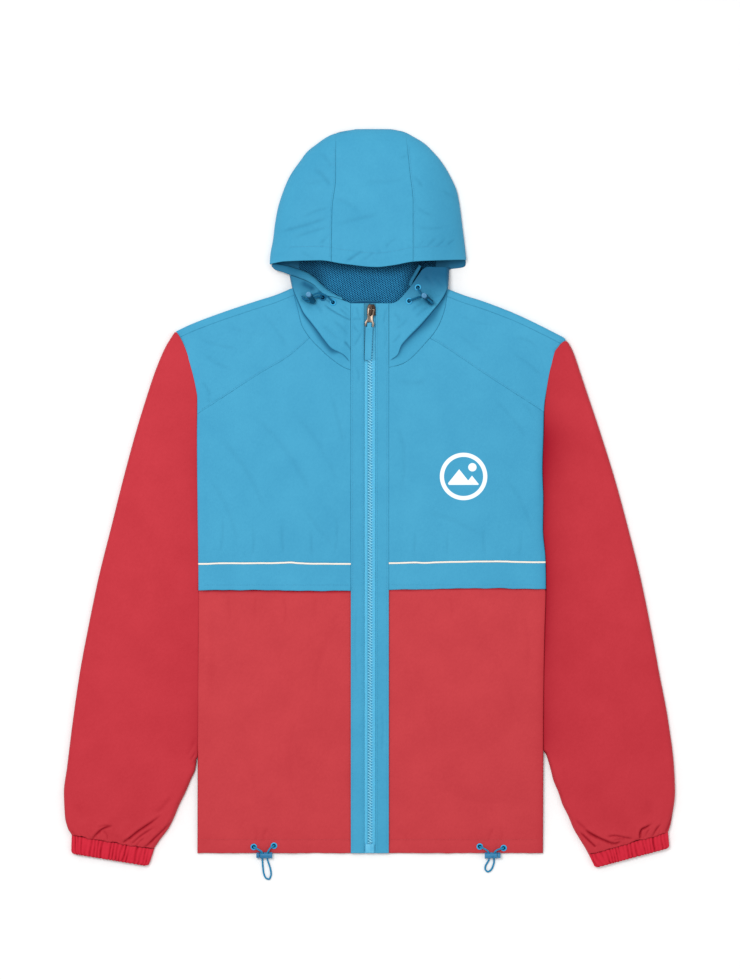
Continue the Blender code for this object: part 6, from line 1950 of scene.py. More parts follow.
# ---------------------------------------------------------------- collar and hood
@dataclass
class Collar:
    """One half of the stand collar, folded over itself, and the band in the hood's mouth."""

    half: Half
    seed: int
    step: float = 1.6
    length: float = 150.0
    dent_depth: float = 5.6
    dent_radius: float = 13.0

    def neck_line(self, share: np.ndarray) -> np.ndarray:
        """Return places of the neck seam from the zip facing to the side."""
        half = self.half
        rows = [(CUT.facing_out + 0.1, float(column(half.neck_seam, CUT.facing_out)))]
        rows += [(float(half.neck_out(y)), y)
                 for y in np.linspace(float(half.chest_top(31)), half.neck_seam[-1][1], 24)]
        return along(tuple(rows), share)

    def make(self) -> None:
        """Build the collar half and its band."""
        self.make_collar()
        self.make_band()

    def make_collar(self) -> None:
        """Build the collar: up from the seam, over its fold, and on to the hood's mouth."""
        half, word, seed = self.half, self.half.side.word, self.seed
        u = spread(self.length, self.step)[None, :]
        to_facing = u * self.length
        low = self.neck_line(u[0])[None]
        low_out, low_y = low[..., 0], low[..., 1]
        ground = np.where(low_out > CUT.neck_peak, half.yoke_face(low_out, low_y),
                          half.front_face(low_out, low_y, CUT.lift))
        mid, high = along(half.overhang, u), along(half.opening, u)
        over, crown, edge = (column(half.collar_height, u, k) for k in (1, 2, 3))
        dent_out, dent_y = half.lock_dent
        reach = column(half.collar_shadow, u)
        below = np.array([0.005, 0.04, 0.12, 0.24, 0.36, 0.48, 0.6, 0.7, 0.79, 0.87, 0.93, 0.975])
        grids, shades = [], []
        for folded, rows in ((False, below), (True, spread(75, self.step, FINE[:4]))):
            t = rows[:, None]
            plan = mix(mid, high, t[..., None]) if folded else mix(low, mid, t[..., None])
            out, y = plan[..., 0], plan[..., 1]
            x = half.sign * out
            if folded:
                z = np.where(t < 0.5, mix(over, crown, smooth(t * 2)),
                             mix(crown, edge, smooth(t * 2 - 1)))
                z = mix(np.minimum(over, ground + 2.6), z, rolled(t, 0.04))
                away = np.hypot(out - dent_out, y - dent_y) / self.dent_radius
                z = z - self.dent_depth * np.exp(-away * away)
                calm = smooth(t * 5) * smooth((1 - t) * 8)
                # The creases give height and painted shade.
                rise, ink = creased(half.collar_folds, x, y)
                z = z + (life(x, y, seed + 2, 1.0, 35 * half.sign) + rise) * calm
                z = z - 0.35 * (1 - rolled(1 - t, 0.03))
                # Painted shade along the fold's edge.
                shade = 0.22 * np.exp(-t * 75 / (0.11 * reach))
            else:
                z = ground + 1.4 * smooth(t) * smooth(u * 8) - 0.4 * np.exp(-t * 40)
                z = z + 1.5 * bump_at(t - 0.9, 0.25) * smooth(u * 6)
                ink, gap = 0.0, np.linalg.norm(mid - low, axis=-1)
                # Painted shadow that the fold casts below it, and a little painted shade along the
                # neck seam.
                shade = 0.22 * np.exp(-t * gap / 0.6) + 0.8 * bump_at((1 - t) * gap, reach)
            z = mix(CUT.base, z, rolled(1 - u, 0.07))
            flush = half.front_height(CUT.facing_out, y) + CUT.lift
            z = mix(flush, z, smooth(to_facing / 18)) + seam_dip(to_facing, 0.15)
            grids.append(grid_of(x, y, np.maximum(z, CUT.least)))
            shade = shade * smooth(to_facing / 7) + 0 * out
            shade = np.maximum(shade, in_seam(to_facing + 0 * out, width=0.5, depth=0.03))
            # Painted shadow that the hood casts over the collar's upper part.
            hood_shadow = (0.62 if half.sign < 0 else 0.84) * smooth((y - 232) / 50)
            shades.append(mix(np.maximum(shade, ink), 1.0, hood_shadow))
        cloth_piece(f"collar_{word}", np.concatenate(grids), Finish.BLUE, f"chest_{word}",
                    np.concatenate(shades))

    def make_band(self) -> None:
        """Build the plain band that faces the hood's mouth."""
        half, word = self.half, self.half.side.word
        u = spread(110 if half.sign < 0 else 34, self.step)[None, :]
        t = np.linspace(0, 1, 12)[:, None]
        fold, edge = along(half.band_fold, u) - (0, 0.7, 0), along(half.band_edge, u)
        plan = mix(fold, edge, t[..., None])
        x, y = half.sign * plan[..., 0], plan[..., 1]
        z = mix(edge[..., 2], fold[..., 2], np.sqrt(1 - t * t * 0.999))
        z = z + 0.5 * CRUMPLES[4](u * 110, t * 12, 12, 16) * smooth(t * 5)
        z = z - 0.8 * np.exp(-t * 18)
        # Painted shade under the brim: the left band darkens outwards, the right band is dark all
        # along.
        dark = (np.abs(x) - 60) / 40 if half.sign < 0 else np.full(x.shape, 0.9)
        cloth_piece(f"hood_band_{word}", grid_of(x, y, z), Finish.BLUE, "hood_lining",
                    0.16 + 0.5 * smooth(dark), thickness=0.6)


@dataclass
class Hood:
    """The hood: a crown panel between two sides, its back, brim facing and mesh lining."""

    step: float = 1.8
    seed: int = 2
    top: float = 461.3
    front: float = 293.0
    seam_gap: float = 0.0006
    seam_top: float = 452.0
    lining: tuple[float, float] = (-88.0, 82.0)
    lining_under: float = 2.3
    back_seam: float = 45.0

    def make(self) -> None:
        """Build all pieces of the hood."""
        for side in (0, -1, 1):
            self.make_panel(side)
        self.make_back()
        self.make_facing()
        self.make_lining()

    def surface(self, x: Numbers, y: Numbers) -> np.ndarray:
        """Return the hood's finished height, with its swells and creases."""
        z = HOOD.face(x, y)
        rim = np.minimum(HOOD.out(RIGHT, y) - x, x + HOOD.out(LEFT, y))
        calm = smooth(rim / 22)
        z = z + life(x, y, self.seed, 1.0, 0) * calm + folds_at(HOOD_FOLDS, x, y) * calm
        fade = smooth((self.seam_top - y) / 20)
        for half in HALVES:
            beside = np.abs(x - half.sign * half.hood_seam_out(y))
            ripple = 1.7 * pucker(beside, y, self.seed + half.sign, 0.55, 6, 5)
            z = z + (seam_dip(beside, 0.4, 0.9) + ripple) * fade
        back = y - HOOD.brim_y(x)
        to_stitch = np.abs(back - CUT.brim_stitch)
        z = z + (seam_dip(to_stitch, 0.55, 1.0)
                 + pucker(to_stitch, x, self.seed + 4, 0.4, 7, 7)) * calm
        return z + (0.6 * bump_at(back - 12, 5) + 0.2 * bump_at(back - 4, 4)) * calm

    def make_panel(self, side: int) -> None:
        """Build the crown panel (0) or a side panel (-1 or +1)."""
        rows = np.concatenate([np.linspace(self.top, 447, 14)[:-1],
                               mix(447.0, self.front, spread(154, self.step, ends=(False, True)))])
        if side:
            half = LEFT if side < 0 else RIGHT
            rows = rows[HOOD.out(half, rows) > half.hood_seam_out(rows) + 0.3]
        s, y = spread(95, self.step)[None, :], rows[:, None]
        if side:
            seam = HOOD.seam_angle(half, y) + side * self.seam_gap
            angle = mix(seam, side * math.pi / 2, 1 - (1 - s) ** 1.25)
        else:
            ends = [HOOD.seam_angle(half, y) - half.sign * self.seam_gap for half in HALVES]
            angle = mix(*ends, s)
        x = HOOD.across(angle, y)
        y = y + (HOOD.brim_y(x) - self.front) * smooth((330 - y) / 37)
        lip = y - HOOD.brim_y(x)
        z = self.surface(x, y) - 1.0 * (1 - rolled(lip + 0.2, 1.7))
        # Painted shade: creases and crown seams, a little towards both sides of the hood, and more
        # on its right side.
        shade = creased(HOOD_FOLDS, x, y)[1] + 0.03 * smooth((np.abs(x) - 40) / 30)
        shade = shade + 0.1 * smooth((x - 58) / 34) * smooth((446 - y) / 60)
        for half in HALVES:
            beside = x - half.sign * half.hood_seam_out(y)
            fade = smooth((self.seam_top - y) / 20)
            shade = np.maximum(shade, in_seam(beside, width=0.6, depth=0.16) * fade)
        grid = grid_of(x, y, np.maximum(z, CUT.least))
        if side:
            turned, steps = np.repeat(grid[:, -1:], 5, axis=1), np.linspace(0, 1, 5)[None, :]
            turned[..., 2] = mix(turned[..., 2], 0.8, mix(0.12, 1, steps))
            turned[..., 0] -= side * mix(0.1, 0.9, steps)
            grid = np.concatenate([grid, turned], axis=1)
            shade = np.concatenate([shade, np.repeat(shade[:, -1:], 5, axis=1)], axis=1)
        else:
            turned = np.repeat(grid[:1], 6, axis=0)
            turned[..., 2] = mix(CUT.least, turned[..., 2], np.linspace(0, 0.92, 6)[:, None])
            grid = np.concatenate([turned, grid])
            shade = np.concatenate([np.repeat(shade[:1], 6, axis=0), shade])
        word = {0: "crown", -1: "side_left", 1: "side_right"}[side]
        cloth_piece(f"hood_{word}", grid, Finish.BLUE, "hood_lining", shade)

    def make_back(self) -> None:
        """Build the hood's back, flat on the floor."""
        y = np.concatenate([np.linspace(260.8, 284, 6), np.linspace(286, 296, 12),
                            np.linspace(300, 461.2, 37)])[:, None]
        s = np.linspace(0, 1, 44)[None, :]
        x = mix(-column(HOOD.back, y, 1), column(HOOD.back, y, 2), s)
        y = np.broadcast_to(y, x.shape)
        rim = np.minimum(s, 1 - s) * 200
        z = 0.3 * np.maximum(0, life(x, y, 7, 1.0)) * smooth(rim / 10) + 0 * x
        to_seams = (x + self.back_seam, x - self.back_seam)
        z = z + 0.4 * bump_at(to_seams[0], 0.9) + 0.4 * bump_at(to_seams[1], 0.9)
        # Painted shade: along the back's seams, and a dark strip under the brim's edge.
        cloth_piece("hood_back", grid_of(x, y, z), Finish.BLUE,
                    seam=np.maximum(in_seam(*to_seams), 0.74 * smooth((302 - y) / 4)), up=False)

    def make_facing(self) -> None:
        """Build the turned-in hem under the brim."""
        s, t = spread(210, self.step)[None, :], spread(CUT.brim_hem, 1.6)[:, None]
        x = mix(-106.0, 103.0, s)
        y = HOOD.brim_y(x) + 0.4 + (CUT.brim_hem - 0.4) * t
        steep = np.abs(x) / 106
        z = HOOD.face(x, y) - 1.3 - 0.7 * smooth(t * 3) * (1 + 0.5 * steep**4)
        z = z + 0.35 * CRUMPLES[6](x, y, 13, 9) * smooth(t * 3)
        x = x * (1 - 0.008 * steep) + 0 * y
        # Painted shade along the facing's inner edge, under the hood.
        shade = smooth((t - 0.9) / 0.1) * 0.4 + 0 * x
        cloth_piece("brim_facing", grid_of(x, y, z), Finish.BLUE, "hood_crown", shade, up=False)

    def make_lining(self) -> None:
        """Build the mesh pouch, along the hood's back and up under its crown."""
        left, right = self.lining
        xs = mix(left, right, spread(right - left, 3.2))
        end = 431 - 46 * (xs / 90) ** 2
        rise = (HOOD.face(xs, end) - self.lining_under - CUT.base) / 2
        on_floor = 56
        rows = [grid_of(xs, mix(237.0, end, k), CUT.base) for k in np.linspace(0, 1, on_floor)]
        for a in np.radians(np.linspace(10, 180, 18)):
            rows.append(grid_of(xs, end + 9 * math.sin(a), CUT.base + rise * (1 - math.cos(a))))
        last = HOOD.brim_y(xs) + CUT.brim_hem + 1.0
        for k in np.linspace(0.02, 1, 40):
            y = mix(end, last, k)
            rows.append(grid_of(xs, y, HOOD.face(xs, y) - self.lining_under))
        grid = np.array(rows)
        x, y = grid[..., 0], grid[..., 1]
        loose = smooth(np.minimum(x - left, right - x) / 12)
        swell = 2.6 * np.maximum(0, life(x, y, 5, 1.2, 60)) * loose
        grid[:on_floor, :, 2] += swell[:on_floor]
        # Painted shade: darker towards both sides of the mouth and towards the brim.
        dim = 0.7 * smooth((x - 34) / 26) + 0.55 * smooth((-46 - x) / 26)
        dim = np.maximum(dim, 0.4 * smooth((y - 276) / 16))
        cloth_piece("hood_lining", grid, Finish.MESH, "hood_back", dim, up=False, thickness=0.4)


HOOD_FOLDS: tuple[Fold, ...] = (
    Fold(px((274, 234), (292, 230), (314, 224), (334, 217)), 3.6, -0.72, 0.5, 0.081, 0.3, 0.3),
    Fold(px((290, 240), (312, 233), (334, 227)), 3.2, -0.56, 0.5, 0.063, 0.3, 0.3),
    Fold(px((300, 220), (318, 212), (333, 208)), 3.0, -0.48, 0.4, 0.054, 0.3, 0.3),
    Fold(px((312, 168), (322, 176), (333, 190)), 4.2, -0.64, 0.4, 0.072, 0.4, 0.2),
    Fold(px((316, 150), (326, 160), (334, 170)), 3.4, -0.48, 0.0, 0.054, 0.4, 0.2),
    Fold(px((300, 186), (316, 184), (332, 178)), 5.0, -0.4, 0.0, 0.045, 0.4, 0.2),
    Fold(px((336, 200), (350, 206), (362, 216)), 4.0, -0.4, 0.4, 0.045, 0.2, 0.4),
    Fold(px((338, 226), (356, 221), (384, 215)), 4.4, -0.48, 0.4, 0.054, 0.2, 0.4),
    Fold(px((352, 190), (372, 184), (396, 182), (409, 178)), 5.0, -0.36, 0.0, 0.042, 0.4, 0.2),
    Fold(px((396, 160), (405, 158), (411, 152)), 3.0, -0.48, 0.0, 0.054, 0.4, 0.2),
    Fold(px((412, 176), (418, 182), (424, 192)), 3.0, -0.56, 0.4, 0.063, 0.2, 0.4),
    Fold(px((413, 206), (424, 214), (438, 218)), 4.0, -0.48, 0.4, 0.054, 0.2, 0.4),
    Fold(px((440, 190), (450, 196), (460, 204)), 4.0, -0.56, 0.4, 0.063, 0.4, 0.4),
    Fold(px((414, 228), (432, 230), (452, 226)), 4.0, -0.4, 0.0, 0.045, 0.2, 0.4),
    Fold(px((426, 248), (432, 243), (437, 237)), 2.2, -0.64, 0.4, 0.072, 0.2, 0.4),
    Fold(px((436, 248), (442, 243), (446, 238)), 2.0, -0.56, 0.4, 0.063, 0.2, 0.4),
    Fold(px((446, 247), (452, 242), (457, 238)), 2.0, -0.64, 0.4, 0.072, 0.2, 0.4),
    Fold(px((416, 250), (421, 245), (424, 240)), 2.0, -0.48, 0.0, 0.054, 0.2, 0.4),
    Fold(px((344, 265), (350, 261), (357, 256), (364, 252)), 2.6, -1.04, 0.5, 0.117, 0.2, 0.3),
    Fold(px((362, 262), (370, 257), (376, 253)), 2.4, -0.56, 0.0, 0.063, 0.3, 0.3),
    Fold(px((300, 252), (308, 257), (316, 262)), 3.0, -0.4, 0.0, 0.045, 0.3, 0.3),
    Fold(px((320, 246), (327, 239), (333, 234)), 2.6, -0.56, 0.4, 0.063, 0.2, 0.4),
    Fold(px((384, 250), (391, 243), (399, 238)), 2.6, -0.4, 0.0, 0.045, 0.2, 0.4),
)


# ---------------------------------------------------------------- bench for hard pieces
class Bench:
    """Primitives and edit-mode steps for hard pieces, in mm."""

    @staticmethod
    def added(name: str, scale: Sequence[float] = (1, 1, 1)) -> bpy.types.Object:
        """Name the primitive that was just added, and apply its scale and place."""
        obj = bpy.context.object
        obj.name, obj.scale = name, scale
        bpy.ops.object.transform_apply(location=True, rotation=True, scale=True)
        return obj

    @staticmethod
    def box(name: str, middle: Point, size: Point, bevel: float = 0.0,
            segments: int = 2) -> bpy.types.Object:
        """Add a box and soften its edges."""
        deselect()
        bpy.ops.mesh.primitive_cube_add(size=1, location=Vector(middle) * MM)
        obj = Bench.added(name, Vector(size) * MM)
        if bevel:
            Bench.bevel(obj, bevel, segments)
        return obj

    @staticmethod
    def rod(name: str, middle: float, radius: float, depth: float, sides: int = 32,
            bevel: float = 0.0) -> bpy.types.Object:
        """Add an upright rod whose middle is at a height, and soften its rims."""
        deselect()
        bpy.ops.mesh.primitive_cylinder_add(vertices=sides, radius=radius * MM, depth=depth * MM,
                                            location=(0, 0, middle * MM))
        obj = Bench.added(name)
        if bevel:
            Bench.bevel(obj, bevel, 2, lambda e: abs(e.verts[0].co.z - e.verts[1].co.z) < 1e-7)
        return obj

    @staticmethod
    def pick(obj: bpy.types.Object, kind: str, which: Callable) -> None:
        """Open an object for editing with what a rule picks of its "EDGE"s or "FACE"s."""
        select(obj)
        bpy.ops.object.mode_set(mode="EDIT")
        bpy.ops.mesh.select_mode(type=kind)
        bpy.ops.mesh.select_all(action="DESELECT")
        bm = bmesh.from_edit_mesh(obj.data)
        for item in bm.edges if kind == "EDGE" else bm.faces:
            item.select_set(bool(which(item)))
        bmesh.update_edit_mesh(obj.data)

    @staticmethod
    def close() -> None:
        """End the editing."""
        bpy.ops.object.mode_set(mode="OBJECT")

    @staticmethod
    def bevel(obj: bpy.types.Object, width: float, segments: int = 2,
              which: Callable[[bmesh.types.BMEdge], bool] = lambda edge: True) -> None:
        """Bevel the edges that a rule picks, or all of them."""
        Bench.pick(obj, "EDGE", which)
        bpy.ops.mesh.bevel(offset=width * MM, segments=segments, affect="EDGES")
        Bench.close()

    @staticmethod
    def inset(obj: bpy.types.Object, which: Callable, width: float, move: Point) -> None:
        """Inset the faces that a rule picks, and move what is inside, in mm."""
        Bench.pick(obj, "FACE", which)
        bpy.ops.mesh.inset(thickness=width * MM)
        bpy.ops.transform.translate(value=Vector(move) * MM)
        Bench.close()

    @staticmethod
    def plate(name: str, outline: Sequence[tuple[float, float]], low: float,
              high: float, bevel: float = 0.0) -> bpy.types.Object:
        """Raise a plate from an outline in plan, by extruding it."""
        mesh = bpy.data.meshes.new(name)
        mesh.from_pydata([(x * MM, y * MM, low * MM) for x, y in outline], [],
                         [tuple(range(len(outline)))])
        obj = placed(name, mesh)
        Bench.pick(obj, "FACE", lambda face: True)
        raised = {"value": (0, 0, (high - low) * MM)}
        bpy.ops.mesh.extrude_region_move(TRANSFORM_OT_translate=raised)
        Bench.close()
        settle(obj)
        if bevel:
            Bench.bevel(obj, bevel, 2,
                        lambda e: len(e.link_faces) == 2 and e.calc_face_angle(0) > 0.6)
        return obj

    @staticmethod
    def cut(obj: bpy.types.Object, tool: bpy.types.Object, how: str = "DIFFERENCE") -> None:
        """Cut a tool out of an object, or join it on, and take the tool away."""
        modifier = obj.modifiers.new("cut", "BOOLEAN")
        modifier.operation, modifier.object, modifier.solver = how, tool, "EXACT"
        apply_all(obj)
        bpy.data.objects.remove(tool, do_unlink=True)

    @staticmethod
    def smooth(obj: bpy.types.Object, angle: float = 35.0) -> bpy.types.Object:
        """Shade smooth except at sharp edges."""
        select(obj)
        bpy.ops.object.shade_smooth_by_angle(angle=math.radians(angle))
        obj.select_set(False)
        return obj

    @staticmethod
    def repeat(name: str, model: bpy.types.Object,
               places: Sequence[Matrix]) -> bpy.types.Object:
        """Join copies of a small model, each at its own place, and take the model away."""
        verts = np.array([v.co for v in model.data.vertices])
        faces = [tuple(p.vertices) for p in model.data.polygons]
        flat = np.concatenate([verts, np.ones((len(verts), 1))], axis=1)
        all_verts, all_faces = [], []
        for k, place in enumerate(places):
            all_verts.append((flat @ np.array(place).T)[:, :3])
            all_faces += [tuple(k * len(verts) + i for i in face) for face in faces]
        mesh = bpy.data.meshes.new(name)
        mesh.from_pydata(np.concatenate(all_verts).tolist(), [], all_faces)
        mesh.shade_smooth()
        bpy.data.objects.remove(model, do_unlink=True)
        return placed(name, mesh)


def frame_at(place: Sequence[float], up: Sequence[float], ahead: Sequence[float]) -> Matrix:
    """Return a matrix that puts +Z along one way and +X near another.

    Args:
        place: Where the origin goes, in mm.
        up: The way of +Z.
        ahead: The way that +X comes near.

    Returns:
        The matrix, in metres.
    """
    z = Vector(up).normalized()
    x = Vector(ahead)
    x = (x - z * x.dot(z)).normalized()
    turn = Matrix((x, z.cross(x), z)).transposed().to_4x4()
    return Matrix.Translation(Vector(place) * MM) @ turn


def mirrored(outline: list[tuple[float, float]]) -> list[tuple[float, float]]:
    """Return an outline's points on the other side of its axis."""
    return [(-x, y) for x, y in outline]


# ---------------------------------------------------------------- zip
@dataclass
class Zip:
    """The zip: facings, tapes, teeth, end box, inner guard, slider, pull tab and puller."""

    pitch: float = 3.48
    pivot: Point = (1.9, 235.5, 17.3)
    tilt: float = math.radians(5.2)
    skew: float = math.radians(-7.5)
    bend: float = math.radians(5.2)
    tooth: Point = (3.9, 1.2528, 1.7)
    tooth_turn: float = math.radians(-14)
    tooth_out: float = 0.55
    chain_middle: float = 0.45
    chain_height: float = 0.95
    slider_base: float = 12.95
    slider_thick: float = 2.8
    strap_under: float = 18.6
    strap_top: float = 19.8
    jaws: float = 19.0
    guard: tuple[float, ...] = (-22.5, 11.5, 226.0, 245.2)
    seed: int = 4

    def make(self) -> None:
        """Build every piece of the zip."""
        for half in HALVES:
            self.make_facing(half)
            self.make_tape(half)
        self.make_teeth()
        self.make_box()
        self.make_guard()
        self.make_slider()
        self.make_pull()

    def strip(self, half: Half, low: float, high: float, rise: Numbers, step: float) -> tuple:
        """Return out, y and z of a strip along one side of the zip."""
        y = mix(CUT.hem_y, CUT.zip_top_y, spread(686, 2.2))[:, None]
        out = mix(low, high, spread(high - low, step, (0.35, 0.8, 1.4, 2.2)))[None, :]
        z = half.front_height(out, y) + rise
        return np.broadcast_arrays(out, y, z)

    def make_facing(self, half: Half) -> None:
        """Build the strip beside the teeth, folded at its inner edge."""
        out, y, z = self.strip(half, CUT.facing_in, CUT.facing_out, CUT.lift, 1.2)
        x = half.sign * out
        to_in, to_out = out - CUT.facing_in, CUT.facing_out - out
        z = z - 0.75 * (1 - rolled(to_in, 1.3)) + seam_dip(to_out, 0.35, 0.8)
        z = z + seam_dip(np.abs(to_in - 2.6), 0.22, 0.7)
        z = z + 0.5 * pucker(to_out, y, self.seed, 0.35, 6, 7)
        z = z + pucker(to_in, y, self.seed + 2, 0.28, 4, 8)
        z = z + life(x, y, self.seed + 1, 0.25, 5)
        # The creases give height and painted shade.
        rise, ink = creased(FACING_FOLDS, x, y)
        ends = np.minimum(y - CUT.hem_y, CUT.zip_top_y - y)
        z = z + rise - 0.7 * (1 - rolled(ends, 1.6))
        wobble = 0.22 * CRUMPLES[3](y, y * 0, 24, 9) * smooth(1 - to_in / 5)
        # Painted shade: the outer seam and creases.
        shade = np.maximum(in_seam(to_out, width=0.5, depth=0.1), ink)
        word = half.side.word
        cloth_piece(f"zip_facing_{word}", grid_of(x + wobble, y, z), Finish.BLUE,
                    f"zip_tape_{word}", shade)

    def make_tape(self, half: Half) -> None:
        """Build the woven tape under the facing."""
        out, y, z = self.strip(half, 0.35, 11.0, CUT.lift - 1.55, 1.2)
        x = half.sign * out
        z = z + 0.12 * CRUMPLES[1](x, y, 5, 18)
        word = half.side.word
        # Painted shade: under the facing's edge, between the teeth, beside and under the puller,
        # and below the guard at the top.
        shade = np.maximum(smooth((out - 6.5) / 0.8) * 0.3,
                           smooth(((2.9 if half.sign < 0 else 2.2) - out) / 0.5) * 0.7)
        beside = 0.4 * smooth(4.9 - half.sign * 1.8 - out) + (0.34 if half.sign > 0 else 0.59)
        shade = np.maximum(shade, beside * smooth((y - 170) / 3))
        shade = np.maximum(shade, 0.95 * smooth((y - 239.5) / 2.5))
        cloth_piece(f"zip_tape_{word}", grid_of(x, y, z), Finish.TAPE, f"lower_front_{word}", shade)

    def make_teeth(self) -> None:
        """Build the closed chain: one moulded tooth, copied down both sides."""
        low, high = CUT.hem_y + 12.0, self.pivot[1] - 9.6
        tooth = Bench.box("tooth", (self.tooth_out, 0, 0), self.tooth, 0.24, 1)
        tooth.data.transform(Matrix.Rotation(self.tooth_turn, 4, "Z"))
        Bench.inset(tooth, lambda f: f.normal.x < -0.9, 0.12, (-0.35, 0, 0))
        places = []
        for k in range(int((high - low) / self.pitch)):
            for sign, turn in ((-1, Matrix.Rotation(math.pi, 4, "Z")), (1, Matrix.Identity(4))):
                y = low + (k + 0.5 + 0.25 * sign) * self.pitch
                z = float(column(CUT.centre_height, y)) + self.chain_height
                place = Vector((sign * self.tooth_out + self.chain_middle, y, z)) * MM
                places.append(Matrix.Translation(place) @ turn)
        chain = Bench.repeat("zip_teeth_chain", tooth, places)
        dress(Bench.smooth(chain, 30), Finish.TEETH, "zip_teeth")

    def make_box(self) -> None:
        """Build the end box and pin at the hem."""
        z = float(column(CUT.centre_height, CUT.hem_y + 5))
        box = Bench.box("zip_box_part", (0, CUT.hem_y + 6.0, z + 1.5), (10.6, 11.2, 1.9), 0.6, 3)
        slot = Bench.box("slot", (1.6, CUT.hem_y + 7.5, z + 2.7), (0.7, 9.0, 1.2))
        Bench.cut(box, slot)
        dress(Bench.smooth(box, 40), Finish.BOX, "zip_box")

    def make_guard(self) -> None:
        """Build the inner guard that shows above the zip's top."""
        left, right, low, high = self.guard
        across = spread(right - left, 1.2, FINE[:2])[None, :]
        x = mix(left, right, across)
        top = high + 2.2 * np.sin(math.pi * np.clip(across, 0.002, 0.998)) ** 0.4
        y = mix(low, top, spread(22, 1.0, FINE[:2])[:, None])
        z = LEFT.front_height(np.abs(x), y) - 1.5 + 0.3 * CRUMPLES[2](x, y, 9, 14)
        z = z - 0.5 * (1 - rolled(top - y, 1.4))
        # Painted shade: the guard lies in the collar's shadow, lighter along its top rim and darker
        # towards its right end.
        shade = 0.98 - 0.36 * smooth(y - top + 1.5) + 0.12 * smooth(across * 3 - 2)
        cloth_piece("zip_guard", grid_of(x, y, z), Finish.BLUE, "collar_left", shade,
                    thickness=0.6)

    def make_slider(self) -> None:
        """Build the slider: a rounded shield, two wings and the strap over the pull tab."""
        x, y, _ = self.pivot
        low, top = self.slider_base, self.slider_base + self.slider_thick
        edge = [(5.3, -7.5), (5.3, 0.6), (4.7, 3.6), (3.4, 6.5)]
        outline = mirrored(edge[:1]) + edge + mirrored(edge[:0:-1])
        body = Bench.plate("slider_part", [(x + a, y + b) for a, b in outline], low, top, 0.5)
        for sign in (-1, 1):
            groove = Bench.box("groove", (x + sign * 5.3, y - 2.0, low + 1.35), (1.4, 13.0, 0.9))
            Bench.cut(body, groove)
        strap = Bench.box("strap", (x, y - 0.5, (top + self.strap_top) / 2 - 0.2),
                          (1.7, 12.0, self.strap_top - top + 0.4), 0.5)
        window = Bench.box("window", (x, y - 0.5, (top + self.strap_under) / 2),
                           (4.0, 9.0, self.strap_under - top))
        Bench.cut(strap, window)
        Bench.cut(body, strap, "UNION")
        dress(Bench.smooth(body, 30), Finish.METAL_DARK, "slider")

    def hang(self, obj: bpy.types.Object, bend: float = 0.0) -> bpy.types.Object:
        """Put a piece modelled about the pivot on it, tilted, skewed and bent at the jaws."""
        turn = Matrix.Rotation(self.skew, 4, "Z") @ Matrix.Rotation(self.tilt, 4, "X")
        jaws = Matrix.Translation((0, -self.jaws * MM, 0))
        turn = turn @ jaws @ Matrix.Rotation(bend, 4, "Z") @ jaws.inverted()
        return settle(obj, Matrix.Translation(Vector(self.pivot) * MM) @ turn)

    def make_pull(self) -> None:
        """Build the metal tab on its crossbar and the cloth puller in its jaws."""
        outer = [(4.2, 0.9), (3.9, -6.2), (3.3, -9.6), (3.7, -13.2), (5.7, -16.5), (5.7, -21.4),
                 (3.9, -21.4), (3.5, -16.9), (2.4, -15.7)]
        inner = [(2.3, 0.9), (1.9, -6.4), (0.9, -8.2)]
        outline = mirrored(outer) + outer[::-1] + inner + mirrored(inner)[::-1]
        tab = Bench.plate("pull_tab_part", outline, -0.6, 0.6, 0.25)
        bar = Bench.rod("bar", 0, 0.7, 5.2, 20)
        bar.data.transform(Matrix.Rotation(math.pi / 2, 4, "Y"))
        Bench.cut(tab, bar, "UNION")
        dress(Bench.smooth(self.hang(tab), 30), Finish.METAL, "pull_tab", body=PULL)
        edge = [(2.6, -16.8), (2.6, -21.9), (4.3, -22.5), (4.3, -61.6), (3.8, -62.9), (3.0, -63.4)]
        puller = Bench.plate("puller_part", mirrored(edge) + edge[::-1], -0.9, 0.9, 0.35)
        ridge = Bench.plate("ridge", [(-3.1, -24.2), (3.1, -24.2), (3.1, -61.4), (-3.1, -61.4)],
                            0.7, 1.4, 0.2)
        Bench.cut(puller, ridge)
        dress(Bench.smooth(self.hang(puller, self.bend), 30), Finish.PULLER, "puller", body=PULL)


FACING_FOLDS: tuple[Fold, ...] = (
    Fold(px((352, 322), (356, 330), (361, 334)), 1.8, -0.51, 0.5, 0.09),
    Fold(px((353, 348), (358, 340), (363, 330)), 2.0, -0.51, -0.5, 0.09),
    Fold(px((354, 366), (358, 372), (359, 384)), 1.8, -0.42, 0.5, 0.054),
    Fold(px((383, 322), (386, 334), (384, 352)), 1.8, -0.42, 0.5, 0.054),
    Fold(px((388, 306), (385, 314), (384, 326)), 1.6, -0.51, 0.5, 0.09),
    Fold(px((356, 306), (358, 313), (360, 319)), 1.6, -0.42, 0.5, 0.068),
    Fold(px((353, 319.5), (358, 320), (363.5, 318)), 1.2, -0.42, 0.0, 0.135, 0.1, 0.1),
    Fold(px((381, 700), (383, 730), (381, 760)), 2.0, -0.34, 0.5, 0.036),
    Fold(px((357, 600), (355, 640), (357, 690)), 2.0, -0.34, 0.5, 0.036),
)


# ---------------------------------------------------------------- drawcords
@dataclass(frozen=True)
class Lock:
    """Place of a cord lock: middle of its holes, way to its button, way the cord comes in."""

    name: str
    middle: Point
    axis: Point
    hole_axis: Point


